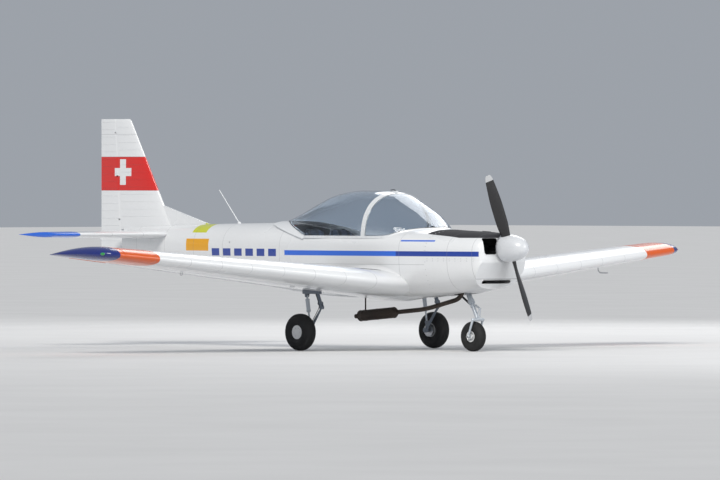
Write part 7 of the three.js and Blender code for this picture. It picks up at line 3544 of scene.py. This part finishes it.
@dataclass
class Cabin(Assembly):
    """What is inside the cabin: panel, console, seats and sticks."""

    panel_x: float = 1850.0
    shelf_back: float = 1790.0
    panel_bottom: float = 1040.0
    seat_back_x: float = 520.0
    seat_front_x: float = 1080.0
    stick: tuple[float, float, float, float] = (1280.0, 265.0, 720.0, 1110.0)
    seat_y: float = 260.0
    pan_z: float = 851.3
    dials: tuple[tuple[float, float, float, float], ...] = (
        (390, 1258, 37, 0.6), (300, 1258, 37, 0.0), (210, 1258, 37, -1.2), (390, 1165, 37, 2.2),
        (300, 1165, 37, 1.1), (210, 1165, 37, -0.4), (-160, 1265, 26, -2.0), (-225, 1265, 26, -1.2),
        (-290, 1265, 26, 0.3), (-160, 1198, 26, 0.8), (-225, 1198, 26, 1.6), (-290, 1198, 26, -0.6),
        (-360, 1232, 26, 2.4), (122, 1268, 26, 1.4), (122, 1205, 26, -1.5),
    )
    radio_z: float = 1292.0
    radio_step: float = 46.0
    radio_count: int = 5
    switch_spot: tuple[float, float] = (150.0, 1078.0)
    lever_spot: tuple[float, float] = (1600.0, 928.0)
    trim_wheel: tuple[float, float, float] = (1450.0, 0.0, 915.0)
    pedal_ys: tuple[float, float] = (165.0, 345.0)
    pedal_foot: tuple[float, float] = (1792.0, 716.0)
    pedal_top: tuple[float, float] = (1762.0, 862.0)
    cushion: tuple[float, float, float] = (480.0, 424.0, 52.0)
    cushion_x: float = 830.0
    shoulder_belt: tuple[tuple[float, float, float], ...] = (
        (240, 75, 1400), (250, 75, 1490), (330, 72, 1500), (430, 66, 1300), (530, 56, 1100), (610, 46, 985),
        (690, 34, 985), (766, 22, 985),
    )

    def build(self) -> None:
        """Makes the cabin's furniture."""
        self.panel()
        self.instruments()
        self.console()
        self.controls()
        self.sticks()
        self.seats()

    def panel(self) -> None:
        """Makes the instrument panel with its shelf."""
        line = [*sill_line(FRONT_RIM[0], REAR_RIM[0], -3.0)[:-2], (self.shelf_back, SILL_Z - 3)]
        under = [(x, z - 14) for x, z in reversed(line)]
        shelf = side_profile([*line, *under], -600, 600)
        board = box((self.panel_x, -600, self.panel_bottom), (self.panel_x + 14, 600, SILL_Z - 15))
        made = common(join(shelf, board), self.hull.room())
        self.fixed(made, "panel_board", "dark_trim", "black_trim", "instrument_panel")

    def instruments(self) -> None:
        """Puts the dials, the radios, the switches and the padded edge on the panel."""
        x, z = self.panel_x, self.radio_z
        dials = [Dial(*sizes) for sizes in self.dials]
        for make, name, finish in (
            (Dial.bezel, "dial_bezels", "panel_grey"), (Dial.face, "dial_faces", "dial_black"),
            (Dial.marks, "dial_marks", "dial_white"),
        ):
            self.fixed(gather(*(make(dial, x) for dial in dials)), name, "dark_trim", finish)
        unit = slab((158, 40, 4), (0, z), ((x, 0), (x - 7, 0), (x - 9, 4)), Axis.FORWARD)
        screen = slab((96, 20, 3), (18, z), ((x - 8, 0), (x - 10, 0)), Axis.FORWARD)
        profile = [(0, 0), (8, 0), (7, 12), (5, 14), (0, 14)]
        knobs = [spun(profile, (x - 8, y, z), -FORWARD, 24) for y in (-64, -44)]
        for made, name, finish in (
            (unit, "radio_units", "panel_grey"), (screen, "radio_screens", "dial_black"),
            (gather(*knobs), "radio_knobs", "black_trim"),
        ):
            stack = self.repeater.row(made, self.radio_count, (0, 0, -self.radio_step), finish)
            self.fixed(stack, name, "dark_trim", finish)
        y, z = self.switch_spot
        base = spun([(0, 0), (8, 0), (8, 3), (0, 3)], (x, y, z), -FORWARD, 16)
        lever = rod((x - 2, y, z), (x - 20, y, z + 8), 2.6, 3.6, sides=12, edge=1)
        switches = self.repeater.row(gather(base, lever), 10, (0, 30, 0), "bare_alloy")
        self.fixed(switches, "panel_switches", "stick_steel", "bare_alloy")
        edge = tube(
            curved([(self.shelf_back + 6, y, SILL_Z - 10) for y in (-520, -260, 0, 260, 520)]), 11, 20
        )
        self.fixed(edge, "glare_shield_edge", "dark_trim", "black_trim")

    def controls(self) -> None:
        """Puts the engine levers and the trim wheel on the console, and the pedals on the floor."""
        x, z = self.lever_spot
        block = slab((130, 84, 10), (x, 0), ((z, 0), (z + 12, 0), (z + 18, 8)), Axis.UP)
        self.fixed(block, "lever_block", "dark_trim", "panel_grey")
        for y, lean, name, finish in (
            (26, -46, "throttle_lever", "dial_black"), (0, -34, "propeller_lever", "panel_grey"),
            (-26, -30, "mixture_lever", "knob_red"),
        ):
            top = Vector((x + lean, y, z + 94))
            made = join(rod((x, y, z + 10), top, 3.5, sides=12), ball(top, 13, 24))
            self.fixed(made, name, "dark_trim", finish)
        wheel = ringed([(40, -9), (46, -10), (48, 0), (46, 10), (40, 9)], self.trim_wheel, PORT, 40)
        self.fixed(wheel, "trim_wheel", "dark_trim", "black_trim")
        parts = []
        (foot_x, foot_z), (top_x, top_z) = self.pedal_foot, self.pedal_top
        for y in self.pedal_ys:
            for side in (-38, 38):
                parts.append(rod((foot_x, y + side, foot_z), (top_x, y + side, top_z), 6, sides=16))
            parts.append(crossbar((top_x, y, top_z), 50, 13, 24, 3))
            parts.append(crossbar((top_x + 10, y, top_z - 47), 44, 6, 16))
        bar = rod((foot_x, 105, foot_z), (foot_x, 400, foot_z), 9, sides=24, edge=2)
        self.fixed(with_twin(join(bar, *parts)), "rudder_pedals", "stick_steel", "dark_steel")

    def console(self) -> None:
        """Makes the centre console."""
        outline = [(1340.0, 640.0), (1340.0, 905.0), (1365.0, 930.0), (1849.7, 930.0), (1849.7, 640.0)]
        made = common(side_profile(outline, -60, 60), self.hull.room())
        self.fixed(made, "console_box", "dark_trim", "black_trim", "centre_console")

    def sticks(self) -> None:
        """Makes both control sticks on their common tube."""
        x, y, z, top = self.stick
        parts = []
        for side in (-1, 1):
            path = [(x, side * y, z), (x - 4, side * y, z + 120), (x - 40, side * y, top - 40)]
            parts.append(tube(curved(path), 11, 20))
            grip = [(0, -2), (15, 0), (19, 12), (17, 40), (19, 70), (21, 92), (17, 104), (0, 108)]
            parts.append(spun(grip, (x - 34, side * y, top - 96), Vector((-0.06, 0, 1)).normalized(), 24))
        parts += [box((x - 20, side - 15, 640), (x + 20, side + 15, z)) for side in (-120, 120)]
        made = common(join(crossbar((x, 0, z), y, 18, 32), *parts), self.hull.room())
        self.fixed(made, "stick_frame", "stick_steel", "dark_steel", "control_sticks")

    def seats(self) -> None:
        """Makes the seat base and the four padded seats."""
        base = common(box((self.seat_back_x, -480, 600), (self.seat_front_x, 480, 850)), self.hull.room())
        self.fixed(base, "seat_frame", "lining", "lining", "seat_base")
        padding = Padding()
        facing, along = Vector((0.927, 0.0, 0.375)), Vector((-0.375, 0, 0.927))
        ribs = [(PORT, self.seat_y - 92), (PORT, self.seat_y + 92)]
        cushion = padding.stuffed(self.cushion_form(), self.pan_z, UPWARD, [*ribs, (FORWARD, 955.0)])
        rest = padding.stuffed(self.rest_form(), self.pan_z, facing, [*ribs, (along, 1040.0)])
        self.trim(Surface(cushion, rest), Surface(cushion), Surface(rest))
        for made, name in ((cushion, "seat_cushion"), (rest, "seat_back")):
            twin = mirrored(made)
            for side, pad in (("left", made), ("right", twin)):
                piece = self.workshop.piece(
                    pad, f"{name}_{side}_pad", AIRFRAME, "seat_cloth", "seat_cloth", (f"{name}_{side}",), 60.0
                )

    def cushion_form(self) -> bpy.types.Object:
        """Makes the plain form inside the port seat cushion."""
        outline = [(590, 853), (1068, 853), (1070, 934), (1034, 954), (604, 928)]
        block = slab(self.cushion, (self.cushion_x, self.seat_y), ((800, 0), (1000, 0)), Axis.UP)
        return common(side_profile(outline, 40, 480), block, self.hull.room(13.0))

    def rest_form(self) -> bpy.types.Object:
        """Makes the plain form inside the port seat back."""
        outline = [(492, 853), (567, 853), (320, 1460), (264, 1460)]
        block = slab((404, 800, 80), (self.seat_y - 8, 1060), ((100, 0), (700, 0)), Axis.FORWARD)
        return common(side_profile(outline, 40, 460), block, self.hull.room(13.0))

    def trim(self, seat: Surface, cushion: Surface, rest: Surface) -> None:
        """Adds the piping, the belts and the buckle to both seats.

        Args:
            seat: The skin of the whole port seat.
            cushion: The skin of its cushion.
            rest: The skin of its back.
        """
        x, y = self.cushion_x, self.seat_y
        ring = []
        for u, v in rounded(*self.cushion, 14):
            height = float(np.interp(x + u, (604, 1034, 1070), (938, 966, 950)))
            ring.append(Vector((x + 1.06 * u, y + 1.06 * v, height)))
        up = Vector((-0.377, 0, 0.926))
        foot = Vector((590, y - 8, 853))
        edge = [foot + Vector((0, 1.05 * v, 0)) + up * (345 + 1.03 * w) for v, w in rounded(404, 620, 70, 14)]
        loops = (cushion.on(dense(ring), 1.5, True), rest.on(dense(edge), 1.5, True))
        lines = [[place for place, _ in loop] for loop in loops]
        piping = with_twin(self.repeater.beads(lines, 4.0, "black_trim", True))
        self.fixed(piping, "seat_piping", "dark_trim", "black_trim")
        straps = []
        for side in (-1, 1):
            lap = curved(
                [(630, y + side * 196, 960), (700, y + side * 120, 990), (770, y + side * 30, 990)], 10
            )
            over = curved([(x, y + side * away, z) for x, away, z in self.shoulder_belt], 8)
            straps += [seat.strap(lap, 44.0), seat.strap(over, 44.0)]
        belts = with_twin(gather(*straps))
        self.fixed(belts, "seat_belts", "seat_cloth", "webbing")
        place, normal = cushion.on([Vector((785, y, 1000))], 0.0)[0]
        buckle = spun([(0, -2), (30, -2), (33, 3), (31, 13), (26, 17), (0, 18)], place, normal, 32)
        button = spun([(0, 0), (13, 0), (12, 5), (0, 6)], place + normal * 16, normal, 24)
        self.fixed(with_twin(buckle), "belt_buckles", "stick_steel", "bare_alloy")
        self.fixed(with_twin(button), "belt_buttons", "dark_trim", "knob_red")


# Stage


class LampKind(Enum):
    """The kinds of lamp."""

    SUN = "SUN"
    DISK = "AREA"


@dataclass(frozen=True)
class Lamp:
    """A lamp that shines on the cabin, with its angle or width as its size."""

    name: str
    kind: LampKind
    place: tuple[float, float, float]
    size: float
    power: float


@dataclass
class Stage:
    """The floor, the lights and the camera."""

    SUN_COLOUR = (1.0, 0.965, 0.91)
    SKY_COLOUR = (0.80, 0.86, 0.95, 1.0)

    azimuth: float = 46.0
    elevation: float = 0.4
    distance: float = 110.0
    lens: float = 451.0
    aim: tuple[float, float, float] = (0.43, 0.45, 1.32)
    floor: float = 400.0
    sky_strength: float = 0.42
    lamps: tuple[Lamp, ...] = (
        Lamp("key", LampKind.SUN, (9.0, -13.0, 15.0), 0.45, 2.2),
        Lamp("side", LampKind.DISK, (16.0, 4.0, 7.0), 9.0, 700.0),
        Lamp("back", LampKind.DISK, (-8.0, 14.0, 12.0), 12.0, 900.0),
    )

    def build(self) -> None:
        """Makes the studio."""
        self.ground()
        self.sky()
        self.camera()

    def ground(self) -> None:
        """Makes the pale floor."""
        half = self.floor / 2
        mesh = bpy.data.meshes.new("floor")
        mesh.from_pydata(
            [(-half, -half, 0), (half, -half, 0), (half, half, 0), (-half, half, 0)], [], [(0, 1, 2, 3)]
        )
        shader = Shader("floor_paint", Roughness=0.85)
        noise = shader.node("ShaderNodeTexNoise", shader.place, None, 0.6, 4.0)
        tone = shader.node("ShaderNodeMapRange", noise.outputs[0], 0.3, 0.7, 0.70, 0.74)
        colour = shader.node("ShaderNodeCombineColor", *[tone.outputs[0]] * 3)
        shader.fed(shader.main, Base_Color=colour.outputs[0])
        mesh.materials.append(shader.material)
        placed("floor", mesh)

    def sky(self) -> None:
        """Lights the scene with a pale world, a broad high key light and soft side lights."""
        world = bpy.data.worlds.new("pale_sky")
        world.use_nodes = True
        tree = Nodes(world.node_tree)
        tree.fed(world.node_tree.nodes["Background"], Color=self.SKY_COLOUR, Strength=self.sky_strength)
        scene = bpy.context.scene
        scene.world = world
        scene.view_settings.view_transform = "Standard"
        for lamp in self.lamps:
            data = bpy.data.lights.new(lamp.name, lamp.kind.value)
            if lamp.kind is LampKind.SUN:
                data.angle = lamp.size
                data.color = self.SUN_COLOUR
            else:
                data.shape = "DISK"
                data.size = lamp.size
            data.energy = lamp.power
            made = placed(lamp.name, data)
            made.location = lamp.place
            made.rotation_euler = (UPWARD - Vector(lamp.place)).to_track_quat("-Z", "Y").to_euler()

    def camera(self) -> None:
        """Puts the camera at the photograph's viewing angle."""
        turn, lift = math.radians(self.azimuth), math.radians(self.elevation)
        away = Vector((math.sin(turn) * math.cos(lift), -math.cos(turn) * math.cos(lift), math.sin(lift)))
        data = bpy.data.cameras.new("camera")
        data.lens = self.lens
        data.sensor_width = 36.0
        data.clip_end = 1000.0
        made = placed("camera", data)
        made.location = Vector(self.aim) + away * self.distance
        made.rotation_euler = (-away).to_track_quat("-Z", "Y").to_euler()
        bpy.context.scene.camera = made


def main() -> None:
    """Builds the aircraft and the studio around it."""
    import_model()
    finishes = Finishes()
    workshop = Workshop(finishes)
    repeater = Repeater(finishes)
    hull = Hull()
    for kind in (
        Fuselage, Cowling, Glazing, Wing, Tail, Propeller, MainGear, NoseGear, Exhaust, Antenna, Cabin,
    ):
        kind(workshop, repeater, hull).build()
        LOG.info("%s is built", kind.__name__)
    Stage().build()


if __name__ == "__main__":
    logging.basicConfig(level=logging.INFO, format="%(message)s")
    main()
